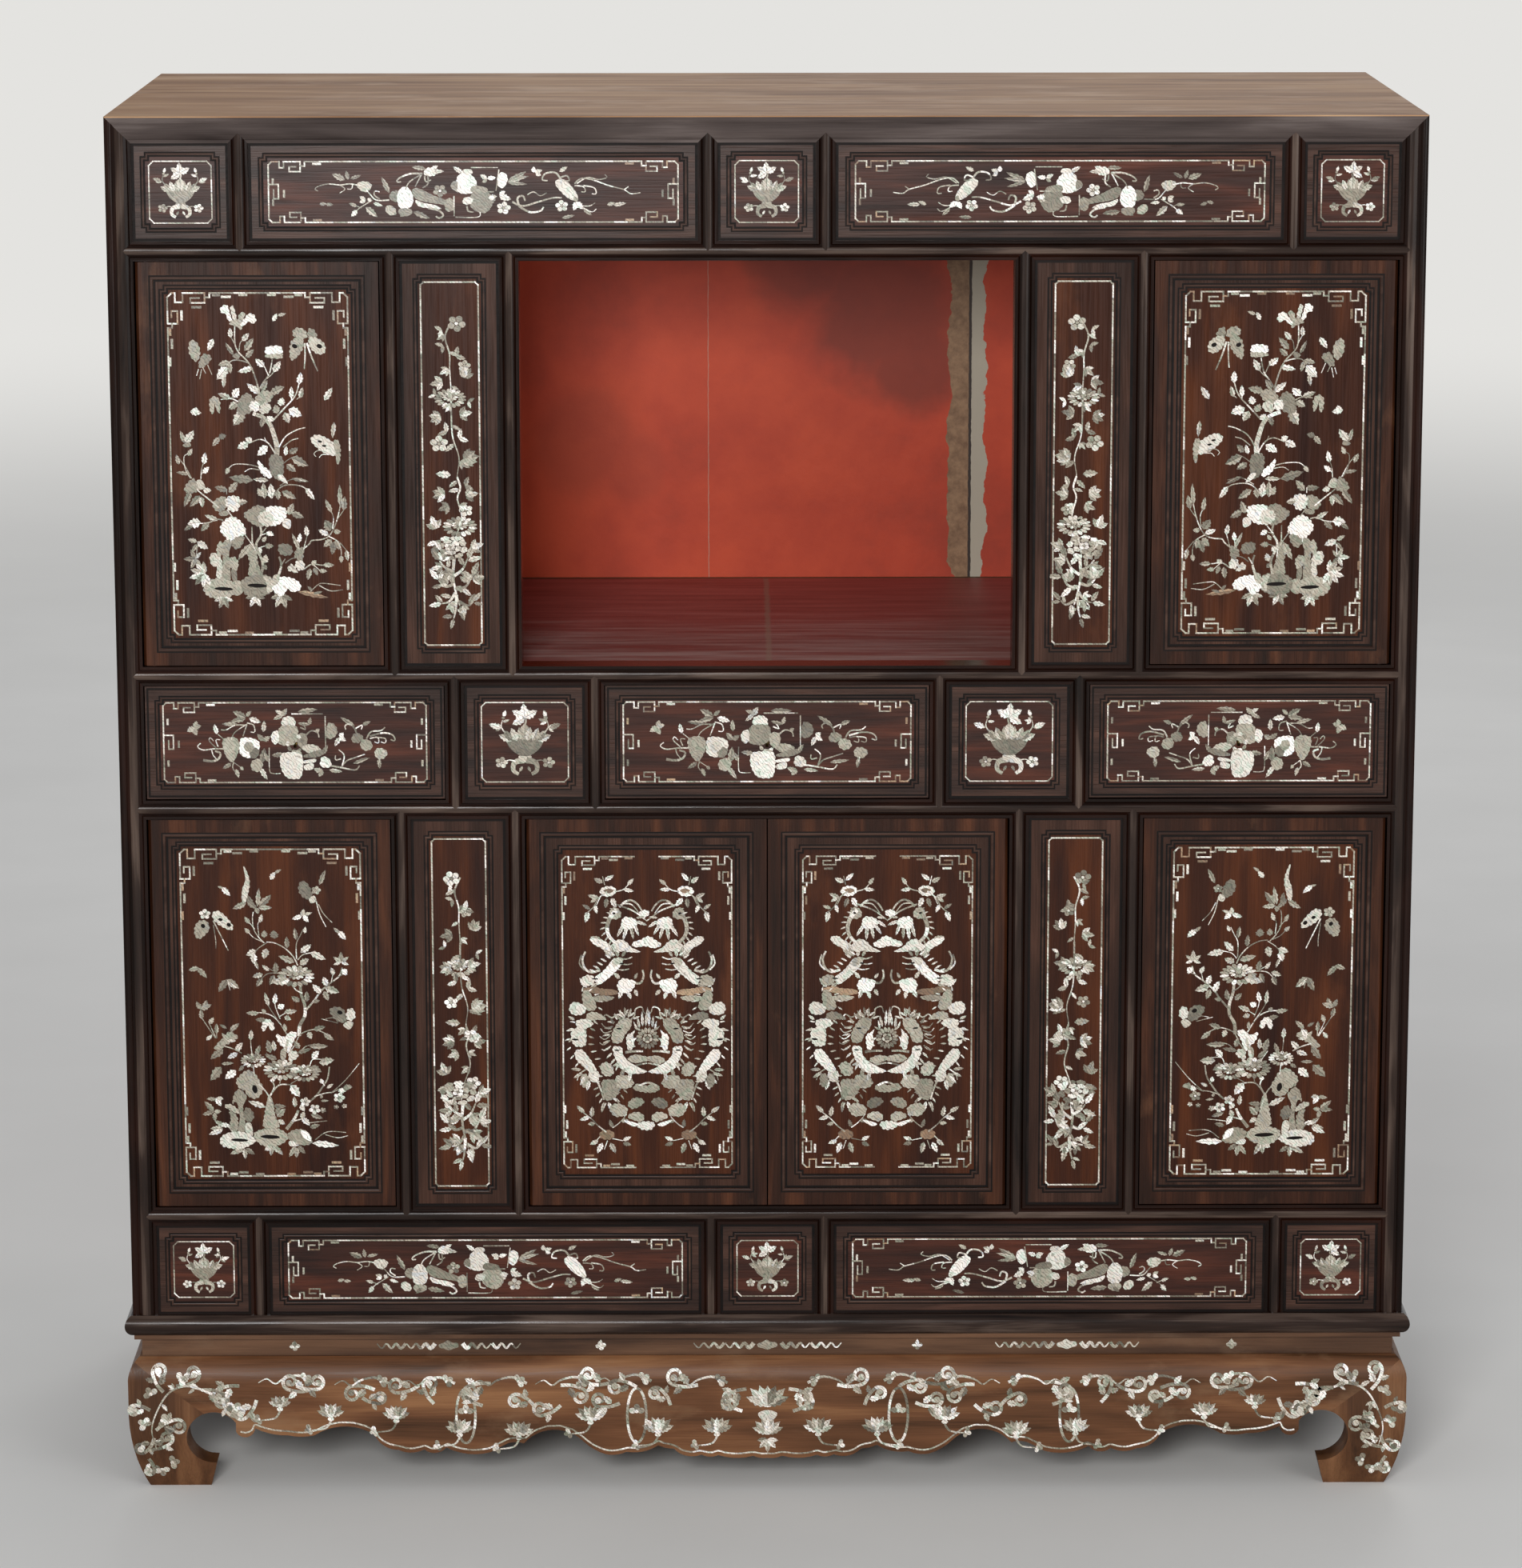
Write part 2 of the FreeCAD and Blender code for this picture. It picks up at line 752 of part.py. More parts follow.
def front_rails():
    grooves = all_panel_grooves()
    sockets = pivot_sockets()
    upper = muntin_ends(frieze_row, False) + muntin_ends(upper_row, True)
    save("upper_rail", front_rail(upper_rail_z, upper + grooves + sockets))
    drawer_top = muntin_ends(upper_row, False) + muntin_ends(drawer_row, True)
    drawer_top += bolt_mortises() + [floor_rebate(upper_z)]
    save("drawer_top_rail", front_rail(drawer_top_rail_z, drawer_top + grooves + sockets))
    drawer_bottom = muntin_ends(drawer_row, False) + muntin_ends(lower_row, True)
    save("drawer_bottom_rail", front_rail(drawer_bottom_rail_z, drawer_bottom + grooves + sockets))
    plinth = muntin_ends(lower_row, False) + muntin_ends(plinth_row, True) + [floor_rebate(lower_z)]
    save("plinth_rail", front_rail(plinth_rail_z, plinth + grooves + sockets))


def muntin_groups():
    grooves = all_panel_grooves()
    names = {"frieze_muntins": frieze_row, "upper_muntins": upper_row, "drawer_muntins": drawer_row,
             "lower_muntins": lower_row, "plinth_muntins": plinth_row}
    for name, row in names.items():
        save(name, group([muntin.cut(grooves) for muntin in row_muntins(row)]))


def corner_key():
    """The mitre between the left post's face and the top rail's face."""
    outside = -half_width - overrun
    return front_zone([(-inside_half, top_z), (-half_width, total_height), (outside, total_height),
                       (outside, top_z)])


rail_levels = (upper_rail_z, drawer_top_rail_z, drawer_bottom_rail_z, plinth_rail_z)
side_rail_levels = (drawer_top_rail_z, drawer_bottom_rail_z)
back_rail_levels = (drawer_top_rail_z, drawer_bottom_rail_z, plinth_rail_z)


def front_posts():
    """Left post and its mirror image: moulded face, mitred into the top rail, rails let into its side."""
    def place(across, setback):
        return Vector(-inside_half - across, front + setback, plinth_z)

    prism = moulded_face(place, edge_runs(), member_depth)
    prism = prism.extrude(Vector(0, 0, total_height - plinth_z))
    body = box(-half_width, -inside_half, -overrun, member_depth, plinth_z, top_z)
    post = prism.common(joined([body, corner_key()]))
    tools = all_panel_grooves()
    for level in rail_levels:
        tools += left_rail_end(level)
    tools += side_tongues()
    post = post.cut(tools)
    return group([post, mirrored_x(post)])


def back_posts():
    low = case_depth - member_depth
    post = box(-half_width, -inside_half, low, case_depth, plinth_z, top_z).cut(side_tongues())
    return group([post, mirrored_x(post)])


def side_bays():
    """Heights of the three panels of a side."""
    return ((plinth_z, drawer_bottom_rail_z), (drawer_z, drawer_top_rail_z), (upper_z, top_z))


def side_tongue(z_low, z_high):
    """Tongue of a left side panel, flush with its inner face."""
    outer_face = -half_width + side_panel_setback
    reach = tongue_length
    return box(outer_face + tongue_setback, outer_face + side_panel_thickness, member_depth - reach,
               case_depth - member_depth + reach, z_low - reach, z_high + reach)


def side_tongues():
    return [side_tongue(z_low, z_high) for z_low, z_high in side_bays()]


def side_panels():
    """Plain boards of the sides, in grooves of the posts, rails, top and base."""
    solids = []
    x_low = -half_width + side_panel_setback
    for z_low, z_high in side_bays():
        board = box(x_low, x_low + side_panel_thickness, member_depth, case_depth - member_depth,
                    z_low, z_high)
        panel = joined([board, side_tongue(z_low, z_high)])
        solids += [panel, mirrored_x(panel)]
    return group(solids)


def side_rails():
    """Rails of the sides between the posts, with a fillet along both edges."""
    solids = []
    plain = rail_height - 2 * side_fillet_width
    runs = fillet_runs() + [(plain, bead_rise, None), (side_fillet_slope, side_fillet_setback, None),
                            (side_fillet_width - side_fillet_slope, side_fillet_setback, None)]
    for level in side_rail_levels:
        def place(across, setback, level=level):
            return Vector(-half_width - side_fillet_setback + setback, front + member_depth, level + across)

        rail = moulded_face(place, runs, edge_width + side_fillet_setback)
        rail = rail.extrude(Vector(0, case_depth - 2 * member_depth, 0)).cut(side_tongues())
        solids += [rail, mirrored_x(rail)]
    return group(solids)


def back_rails():
    solids = []
    low = case_depth - member_depth
    rebates = [floor_rebate(upper_z), floor_rebate(lower_z)]
    for level in back_rail_levels:
        rail = box(-inside_half, inside_half, low, case_depth, level, level + rail_height)
        solids.append(rail.cut(rebates))
    return group(solids)


def back_board_edges():
    """Edges of the back boards: the two joints that the open bay shows, and one more on each side."""
    left_half = (back_joint_left - inside_half) / 2
    right_half = (back_joint_right + inside_half) / 2
    return [-inside_half, left_half, back_joint_left, back_joint_right, right_half, inside_half]


def back_boards(bays):
    solids = []
    edges = back_board_edges()
    for z_low, z_high in bays:
        for x_low, x_high in zip(edges, edges[1:]):
            solids.append(box(x_low, x_high, back_board_face, back_board_face + back_board_thickness,
                              z_low, z_high))
    return group(solids)


# Top

def front_wedge(outer_x, outer_y, width):
    """All that lies in front of the diagonals through the front corners of a rectangle, to a width."""
    points = [Vector(-outer_x, -outer_y, 0), Vector(outer_x, -outer_y, 0),
              Vector(outer_x - width, -outer_y + width, 0), Vector(-outer_x + width, -outer_y + width, 0)]
    return polygon_face(points).extrude(Vector(0, 0, total_height + overrun))


def mitred_ring(front_face, side_face, outer_x, outer_y, width):
    """Four members round a rectangle, from a section for the long ones and a section for the short ones."""
    wedge = front_wedge(outer_x, outer_y, width)
    long_member = front_face.extrude(Vector(2 * outer_x, 0, 0)).common(wedge)
    short_member = side_face.extrude(Vector(0, 2 * outer_y, 0)).cut([wedge, mirrored_y(wedge)])
    return long_member, mirrored_y(long_member), short_member, mirrored_x(short_member)


def top_frame():
    """Front, back and end members of the top, mitred at the corners; the front one is moulded."""
    def front_place(across, setback):
        return Vector(-half_width, front + setback, top_z + across)

    def side_place(across, setback):
        return Vector(-half_width + setback, front, top_z + across)

    moulded = moulded_face(front_place, edge_runs(), top_member_width)
    plain_corners = ((0, 0), (edge_width, 0), (edge_width, top_member_width), (0, top_member_width))
    side = polygon_face([side_place(across, setback) for across, setback in plain_corners])
    plain = polygon_face([front_place(across, setback) for across, setback in plain_corners])
    long_front, _, left, right = mitred_ring(moulded, side, half_width, case_depth / 2, top_member_width)
    _, long_back, _, _ = mitred_ring(plain, side, half_width, case_depth / 2, top_member_width)
    key = corner_key()
    tongues = side_tongues()
    tools = [key, mirrored_x(key)] + tongues + [mirrored_x(tongue) for tongue in tongues]
    tools += all_panel_grooves() + muntin_ends(frieze_row, True)
    shoulder = [box(-half_width - overrun, half_width + overrun, -overrun, 0, top_z, total_height)]
    return group([member.cut(tools + shoulder) for member in (long_front, long_back, left, right)])


def top_boards():
    """Boards inside the top frame, flush with it, and the battens under them."""
    x = half_width - top_member_width
    z_low = total_height - top_board_thickness
    end = case_depth - top_member_width
    edges = (top_member_width, top_board_joint_a, top_board_joint_b, end)
    solids = [box(-x, x, a, b, z_low, total_height) for a, b in zip(edges, edges[1:])]
    for middle in (-batten_place(), batten_place()):
        solids.append(box(middle - batten_width / 2, middle + batten_width / 2, top_member_width, end,
                          z_low - batten_height, z_low))
    return group(solids)


def batten_place():
    return upper_inner_muntin - batten_width


# Floors, partitions and runners

def floor_boards(z_high):
    """Boards of a floor, side by side from the front rail to the back rail, in their rebates."""
    low = member_depth - floor_housing
    high = case_depth - member_depth + floor_housing
    width = (high - low) / floor_board_count
    z_low = z_high - floor_thickness
    solids = []
    for i in range(floor_board_count):
        solids.append(box(-inside_half, inside_half, low + i * width, low + (i + 1) * width, z_low, z_high))
    return group(solids)


def bottom_boards():
    """Boards that close the case under the plinth row, inside the base moulding."""
    x = half_width + base_overhang - base_member_width
    y = case_depth / 2 + base_overhang - base_member_width
    z_high = plinth_z
    board = box(-x, 0, -y - front, y - front, z_high - bottom_board_thickness, z_high)
    return group([board, mirrored_x(board)])


def partition(x_middle, z_low, z_high, setback_high):
    half = partition_thickness / 2
    return box(x_middle - half, x_middle + half, member_depth, setback_high, z_low, z_high)


def partitions():
    """Boards across the case behind the outer uprights, above the open bay's floor and in the cupboard."""
    under_boards = total_height - top_board_thickness
    upper = partition(upper_outer_muntin, upper_z, under_boards, back_board_face)
    over_front = box(0, half_width, 0, top_member_width, top_z, total_height)
    over_back = box(0, half_width, case_depth - top_member_width, case_depth, top_z, total_height)
    upper = upper.cut([over_front, over_back])
    lower = partition(lower_outer_muntin, lower_z, drawer_bottom_rail_z, case_depth - member_depth)
    return group([upper, mirrored_x(upper), lower, mirrored_x(lower)])


def drawer_runners():
    """Runners under the edges of the drawers and the guides beside them."""
    start = member_depth
    end = case_depth - member_depth
    side_face = half_width - side_panel_setback - side_panel_thickness
    solids = []
    for x_low, x_high in drawer_bays.values():
        for edge, inward in ((x_low, 1), (x_high, -1)):
            outer = abs(edge) == inside_half
            outside = edge if outer else edge - inward * guide_width
            inside = outside + inward * runner_width
            solids.append(box(min(outside, inside), max(outside, inside), start, end,
                              drawer_bottom_rail_z, drawer_z))
            foot_of_guide = -inward * side_face if outer else outside
            face = edge + inward * (drawer_gap + drawer_box_inset - guide_gap)
            solids.append(box(min(foot_of_guide, face), max(foot_of_guide, face), start, end,
                              drawer_z, drawer_z + guide_height))
    return group(solids)


# Base moulding

def base_frame():
    """Mitred ring under the case, its outer edge a heavy round."""
    def section(place):
        low = place(base_round_depth, 0)
        high = place(base_round_depth, base_height)
        inner_low = place(base_member_width, 0)
        inner_high = place(base_member_width, base_height)
        edges = [line(low, inner_low), line(inner_low, inner_high), line(inner_high, high),
                 arc(high, place(0, base_height / 2), low)]
        return closed_face(edges)

    outer_x = half_width + base_overhang
    outer_y = case_depth / 2 + base_overhang

    def front_place(inward, up):
        return Vector(-outer_x, -outer_y + inward, base_z + up)

    def side_place(inward, up):
        return Vector(-outer_x + inward, -outer_y, base_z + up)

    ring = mitred_ring(section(front_place), section(side_place), outer_x, outer_y, base_member_width)
    x = outer_x - base_member_width
    y = outer_y - base_member_width
    tongues = side_tongues()
    tools = tongues + [mirrored_x(tongue) for tongue in tongues]
    tools += all_panel_grooves() + muntin_ends(plinth_row, False)
    return group([member.cut(tools) for member in ring])


# Stand

def ring_section(place, width, height):
    return polygon_face([place(0, 0), place(width, 0), place(width, height), place(0, height)])


def plain_ring(outset, width, z_low, height):
    """Mitred ring of square section, its outer faces set out from the case's by outset."""
    outer_x = half_width + outset
    outer_y = case_depth / 2 + outset

    def front_place(inward, up):
        return Vector(-outer_x, -outer_y + inward, z_low + up)

    def side_place(inward, up):
        return Vector(-outer_x + inward, -outer_y, z_low + up)

    return mitred_ring(ring_section(front_place, width, height), ring_section(side_place, width, height),
                       outer_x, outer_y, width)


def stand_waist():
    """Thin cap, the waist under it and two bearers across, which carry the case."""
    cap = plain_ring(-cap_overhang, cap_width, cap_z, cap_height)
    waist = plain_ring(-waist_inset, waist_thickness, waist_z, waist_height)
    reach = case_depth / 2 - waist_inset - waist_thickness
    outer_edge = half_width - waist_inset - bearer_inset
    bearer = box(outer_edge - bearer_width, outer_edge, -reach - front, reach - front, waist_z, cap_z)
    return group(list(cap) + list(waist) + [bearer, mirrored_x(bearer)])


def belly_section(place, inner_face, toed):
    """Upright section of an apron or foot: swelling outer face and flat inner face.

    The apron's face runs straight down from its belly; the foot's turns in from there to its toe.
    """
    top = place(apron_top_offset, apron_top)
    belly = place(apron_belly_offset, belly_height)
    edges = [arc(top, place(apron_shoulder_offset, apron_shoulder_height), belly)]
    if toed:
        ankle = place(apron_belly_offset, ankle_height)
        base = place(foot_toe_offset, 0)
        edges += [line(belly, ankle), arc(ankle, place(foot_low_offset, foot_low_height), base)]
    else:
        base = place(apron_belly_offset, 0)
        edges.append(line(belly, base))
    inner_base = place(-inner_face, 0)
    inner_top = place(-inner_face, apron_top)
    edges += [line(base, inner_base), line(inner_base, inner_top), line(inner_top, top)]
    return closed_face(edges)


def front_belly(inner_face, toed):
    """The swelling slab along the front, as long as the stand."""
    reach = half_width + apron_belly_offset + overrun

    def place(offset, z):
        return Vector(-reach, front - offset, z)

    return belly_section(place, inner_face, toed).extrude(Vector(2 * reach, 0, 0))


def side_belly(inner_face, toed):
    """The same slab along the left side."""
    reach = case_depth / 2 + apron_belly_offset + overrun

    def place(offset, z):
        return Vector(-half_width - offset, -reach, z)

    return belly_section(place, inner_face, toed).extrude(Vector(0, 2 * reach, 0))


def edge_run(point, half, shares):
    """Lower edge of one half of an apron, from its middle out to the scroll at its end."""
    edges = []
    start = point(0, shares[0][0][1] * apron_top)
    for (mid_across, mid_up), (end_across, end_up) in shares:
        end = point(end_across * half, end_up * apron_top)
        edges.append(arc(start, point(mid_across * half, mid_up * apron_top), end))
        start = end
    return edges, start


def scroll_points(half):
    """Lip, crown and joint of the round hollow between an apron and a foot."""
    lip_across, lip_up = scroll_lip_shares
    centre = half - scroll_centre_in
    lip = (centre - scroll_radius * lip_across, scroll_centre_height + scroll_radius * lip_up)
    crown = (centre, scroll_centre_height + scroll_radius)
    joint = (half - joint_low_in, joint_low_height)
    return lip, crown, joint


def apron_outline(point, half, shares, depth_of_prism):
    """Prism on the whole outline of an apron: cusped lower edge, scrolls and slanting end joints."""
    edges = []
    for side in (1, -1):
        def place(across, z, side=side):
            return point(side * across, z)

        run, last = edge_run(place, half, shares)
        lip, crown, joint = scroll_points(half)
        run.append(line(last, place(*lip)))
        run.append(arc(place(*lip), place(*crown), place(*joint)))
        corner = half - apron_top_offset
        run.append(line(place(*joint), place(corner, apron_top)))
        edges += run
    corner = half - apron_top_offset
    edges.append(line(point(corner, apron_top), point(-corner, apron_top)))
    return Part.Face(Part.Wire(Part.__sortEdges__(edges))).extrude(depth_of_prism)


def stand_reach():
    """Half the width and half the depth of the stand, and a little more."""
    past = apron_belly_offset + overrun
    return half_width + past, case_depth / 2 + past


def stand_wedge():
    reach_x, reach_y = stand_reach()
    return front_wedge(reach_x, reach_y, case_depth / 2)


def front_apron():
    reach = stand_reach()[1]

    def point(x, z):
        return Vector(x, -reach, z)

    outline = apron_outline(point, half_width, front_edge_shares, Vector(0, reach, 0))
    return front_belly(apron_inner_face, False).common(outline).common(stand_wedge())


def side_apron():
    reach = stand_reach()[0]

    def point(y, z):
        return Vector(-reach, y, z)

    outline = apron_outline(point, case_depth / 2, side_edge_shares, Vector(reach, 0, 0))
    wedge = stand_wedge()
    return side_belly(apron_inner_face, False).common(outline).cut([wedge, mirrored_y(wedge)])


def back_apron():
    """Plain board at the back, straight below, with the same slanting end joints."""
    reach = stand_reach()[1]
    corner = half_width - apron_top_offset
    lip, crown, joint = scroll_points(half_width)
    low = apron_top - back_apron_drop
    points = [(-joint[0], joint[1]), (-lip[0], low), (lip[0], low), (joint[0], joint[1]),
              (corner, apron_top), (-corner, apron_top)]
    outline = polygon_face([Vector(x, -reach, z) for x, z in points]).extrude(Vector(0, reach, 0))
    return mirrored_y(front_belly(apron_inner_face, False).common(outline).common(stand_wedge()))


def foot_outline(point, half, depth_of_prism):
    """Prism on one foot as seen from the front or the side: C-shaped scroll and flat toe."""
    lip, crown, joint = scroll_points(half)
    centre = half - scroll_centre_in
    r = scroll_radius
    start_across = centre + r * scroll_toe_shares[0]
    start_up = scroll_centre_height - r * scroll_toe_shares[1]
    outer = half + apron_belly_offset + overrun
    corner = half - apron_top_offset
    edges = [line(point(outer, 0), point(half - foot_inner_base, 0)),
             line(point(half - foot_inner_base, 0), point(half - foot_inner_toe, foot_toe_height)),
             line(point(half - foot_inner_toe, foot_toe_height), point(start_across, start_up)),
             arc(point(start_across, start_up), point(centre + r, scroll_centre_height), point(*joint)),
             line(point(*joint), point(corner, apron_top)),
             line(point(corner, apron_top), point(outer, apron_top)),
             line(point(outer, apron_top), point(outer, 0))]
    return closed_face(edges).extrude(depth_of_prism)


def foot():
    """Front left foot: two curved cheeks mitred at the corner into one piece."""
    reach_x, reach_y = stand_reach()

    def front_point(across, z):
        return Vector(-across, -reach_y, z)

    def side_point(across, z):
        return Vector(-reach_x, -across, z)

    front_prism = foot_outline(front_point, half_width, Vector(0, reach_y, 0))
    side_prism = foot_outline(side_point, case_depth / 2, Vector(reach_x, 0, 0))
    wedge = stand_wedge()
    front_cheek = front_belly(foot_inner_face, True).common(front_prism).common(wedge)
    side_cheek = side_belly(foot_inner_face, True).common(side_prism).cut(wedge)
    return joined([front_cheek, side_cheek])


def stand():
    save("stand_waist", stand_waist())
    save("stand_front_apron", front_apron())
    save("stand_back_apron", back_apron())
    left = side_apron()
    save("stand_side_aprons", group([left, mirrored_x(left)]))
    corner_foot = foot()
    pair = group([corner_foot, mirrored_x(corner_foot)])
    save("stand_front_feet", pair)
    save("stand_back_feet", mirrored_y(pair))


def case():
    save("front_posts", front_posts())
    save("back_posts", back_posts())
    save("top_frame", top_frame())
    save("top_boards", top_boards())
    front_rails()
    muntin_groups()
    save("base_frame", base_frame())
    save("bottom_boards", bottom_boards())
    save("side_rails", side_rails())
    save("side_panels", side_panels())
    save("back_rails", back_rails())
    save("upper_back_boards", back_boards([(upper_z, top_z)]))
    save("lower_back_boards", back_boards([(drawer_z, drawer_top_rail_z), (lower_z, drawer_bottom_rail_z),
                                           (plinth_z, plinth_rail_z)]))
    save("niche_floor", floor_boards(upper_z))
    save("cupboard_floor", floor_boards(lower_z))
    save("partitions", partitions())
    save("drawer_runners", drawer_runners())
    for name, (row, bays) in fixed_bays.items():
        limits = row_bays(row)
        panels = [fixed_panel(limits[bay], row[0], row[0] + row[1], border) for bay, border in bays.items()]
        save(name + "_panels", group(panels))


def doors_and_drawers():
    for name in door_table:
        save(name + "_door_frame", door_frame(name))
        save(name + "_door_panel", door_panel(name))
    for name in drawer_bays:
        save(name + "_drawer_front", drawer_front(name))
        save(name + "_drawer_box", drawer_box(name))
        save(name + "_drawer_lock", drawer_lock(name))
        save(name + "_drawer_bolt", drawer_bolt(name))


def report():
    """Print what the record and the scene take from the sizes."""
    print("height", total_height, "inside half", inside_half)
    for name in door_table:
        print(name, "pivot x", pivot_axis(name), "y", front + door_setback + pivot_setback)


os.makedirs("parts", exist_ok=True)
case()
doors_and_drawers()
stand()
report()
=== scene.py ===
"""Dresses the inlaid cabinet: woods, lacquer and brass, the carved panel lines and the mother-of-pearl."""

import logging
import math
import random
from dataclasses import dataclass, field
from enum import Enum
from typing import Callable, Sequence

import bpy
from mathutils import Matrix, Vector


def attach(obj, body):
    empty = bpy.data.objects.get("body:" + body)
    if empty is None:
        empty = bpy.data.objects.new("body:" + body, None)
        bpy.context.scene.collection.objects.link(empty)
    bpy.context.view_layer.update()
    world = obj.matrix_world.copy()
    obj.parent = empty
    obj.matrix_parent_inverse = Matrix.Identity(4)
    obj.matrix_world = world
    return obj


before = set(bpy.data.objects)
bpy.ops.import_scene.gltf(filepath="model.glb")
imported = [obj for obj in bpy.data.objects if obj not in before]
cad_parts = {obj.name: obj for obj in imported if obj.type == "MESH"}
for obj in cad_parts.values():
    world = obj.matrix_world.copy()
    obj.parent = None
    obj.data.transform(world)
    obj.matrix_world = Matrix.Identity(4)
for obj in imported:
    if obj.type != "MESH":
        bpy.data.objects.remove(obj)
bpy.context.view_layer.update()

log = logging.getLogger("inlaid_cabinet")

MM = 0.001
Point = tuple[float, float]
BROWN, CUT = 3, 4


# Plane geometry in millimetres


def arc_through(start: Point, middle: Point, end: Point, steps: int) -> list[Point]:
    """Points on the arc through three points.

    Args:
        start, middle, end: the three points.
        steps: number of equal turns from start to end.
    Returns:
        steps + 1 points.
    """
    (ax, ay), (bx, by), (cx, cy) = start, middle, end
    spread = 2 * (ax * (by - cy) + bx * (cy - ay) + cx * (ay - by))
    a, b, c = ax * ax + ay * ay, bx * bx + by * by, cx * cx + cy * cy
    x = (a * (by - cy) + b * (cy - ay) + c * (ay - by)) / spread
    y = (a * (cx - bx) + b * (ax - cx) + c * (bx - ax)) / spread
    radius = math.hypot(ax - x, ay - y)
    first = math.atan2(ay - y, ax - x)
    half = math.remainder(math.atan2(by - y, bx - x) - first, math.tau)
    whole = math.remainder(math.atan2(cy - y, cx - x) - first, math.tau)
    if half * whole < 0:
        whole += math.copysign(math.tau, half)
    return [
        (x + radius * math.cos(first + whole * k / steps), y + radius * math.sin(first + whole * k / steps))
        for k in range(steps + 1)
    ]


def smooth(points: Sequence[Point], steps: int = 6, closed: bool = False) -> list[Point]:
    """A flowing curve through the points.

    Args:
        points: the points to pass through.
        steps: new points from one given point to the next.
        closed: whether the curve returns to its start.
    Returns:
        The points of the curve.
    """
    count = len(points)
    if count < 3:
        return list(points)
    spans = count if closed else count - 1
    found = []
    for k in range(spans):
        if closed:
            p0, p1, p2, p3 = (points[(k + n - 1) % count] for n in range(4))
        else:
            p0, p1, p2, p3 = (points[min(max(k + n - 1, 0), count - 1)] for n in range(4))
        for step in range(steps):
            t = step / steps
            weights = (
                -0.5 * t + t * t - 0.5 * t ** 3,
                1 - 2.5 * t * t + 1.5 * t ** 3,
                0.5 * t + 2 * t * t - 1.5 * t ** 3,
                -0.5 * t * t + 0.5 * t ** 3,
            )
            found.append(tuple(
                sum(weight * point[axis] for weight, point in zip(weights, (p0, p1, p2, p3)))
                for axis in (0, 1)
            ))
    if not closed:
        found.append(tuple(points[-1]))
    return found


def resample(path: Sequence[Point], step: float) -> list[Point]:
    """Points at even steps along a path, with both of its ends."""
    lengths = [0.0]
    for a, b in zip(path, path[1:]):
        lengths.append(lengths[-1] + math.dist(a, b))
    total = lengths[-1]
    count = max(1, round(total / step))
    found, span = [], 0
    for k in range(count + 1):
        want = total * k / count
        while span < len(path) - 2 and lengths[span + 1] < want:
            span += 1
        run = lengths[span + 1] - lengths[span] or 1.0
        t = (want - lengths[span]) / run
        a, b = path[span], path[span + 1]
        found.append((a[0] + (b[0] - a[0]) * t, a[1] + (b[1] - a[1]) * t))
    return found


def ruffled(outline: Sequence[Point], depth: float) -> list[Point]:
    """A closed outline with scallops of a depth along its edge."""
    step, scallop = 1.15, 4.6
    run = resample([*outline, outline[0]], step)[:-1]
    count = len(run)
    lobes = max(3, round(count * step / scallop))
    middle = (sum(x for x, _ in run) / count, sum(y for _, y in run) / count)
    found = []
    for k, (x, y) in enumerate(run):
        away = math.dist((x, y), middle) or 1.0
        out = depth * (abs(math.sin(math.pi * lobes * k / count)) - 0.6) / away
        found.append((x + (x - middle[0]) * out, y + (y - middle[1]) * out))
    return found


def turned(x: float, y: float, degrees: float) -> Point:
    """The point turned about the origin."""
    angle = math.radians(degrees)
    return x * math.cos(angle) - y * math.sin(angle), x * math.sin(angle) + y * math.cos(angle)


@dataclass(frozen=True)
class Spot:
    """A place on a face, with the turn, size and handedness of what is drawn there."""

    x: float
    y: float
    turn: float = 0.0
    size: float = 1.0
    flip: int = 1

    def put(self, point: Point) -> Point:
        """The face point of a point drawn at this spot."""
        x, y = turned(point[0] * self.size, point[1] * self.size, self.turn)
        return self.x + self.flip * x, self.y + y

    def at(self, x: float, y: float, turn: float = 0.0, size: float = 1.0) -> "Spot":
        """A spot placed from this one."""
        px, py = self.put((x, y))
        return Spot(px, py, self.turn + turn, self.size * size, self.flip)


# Mother-of-pearl drawing


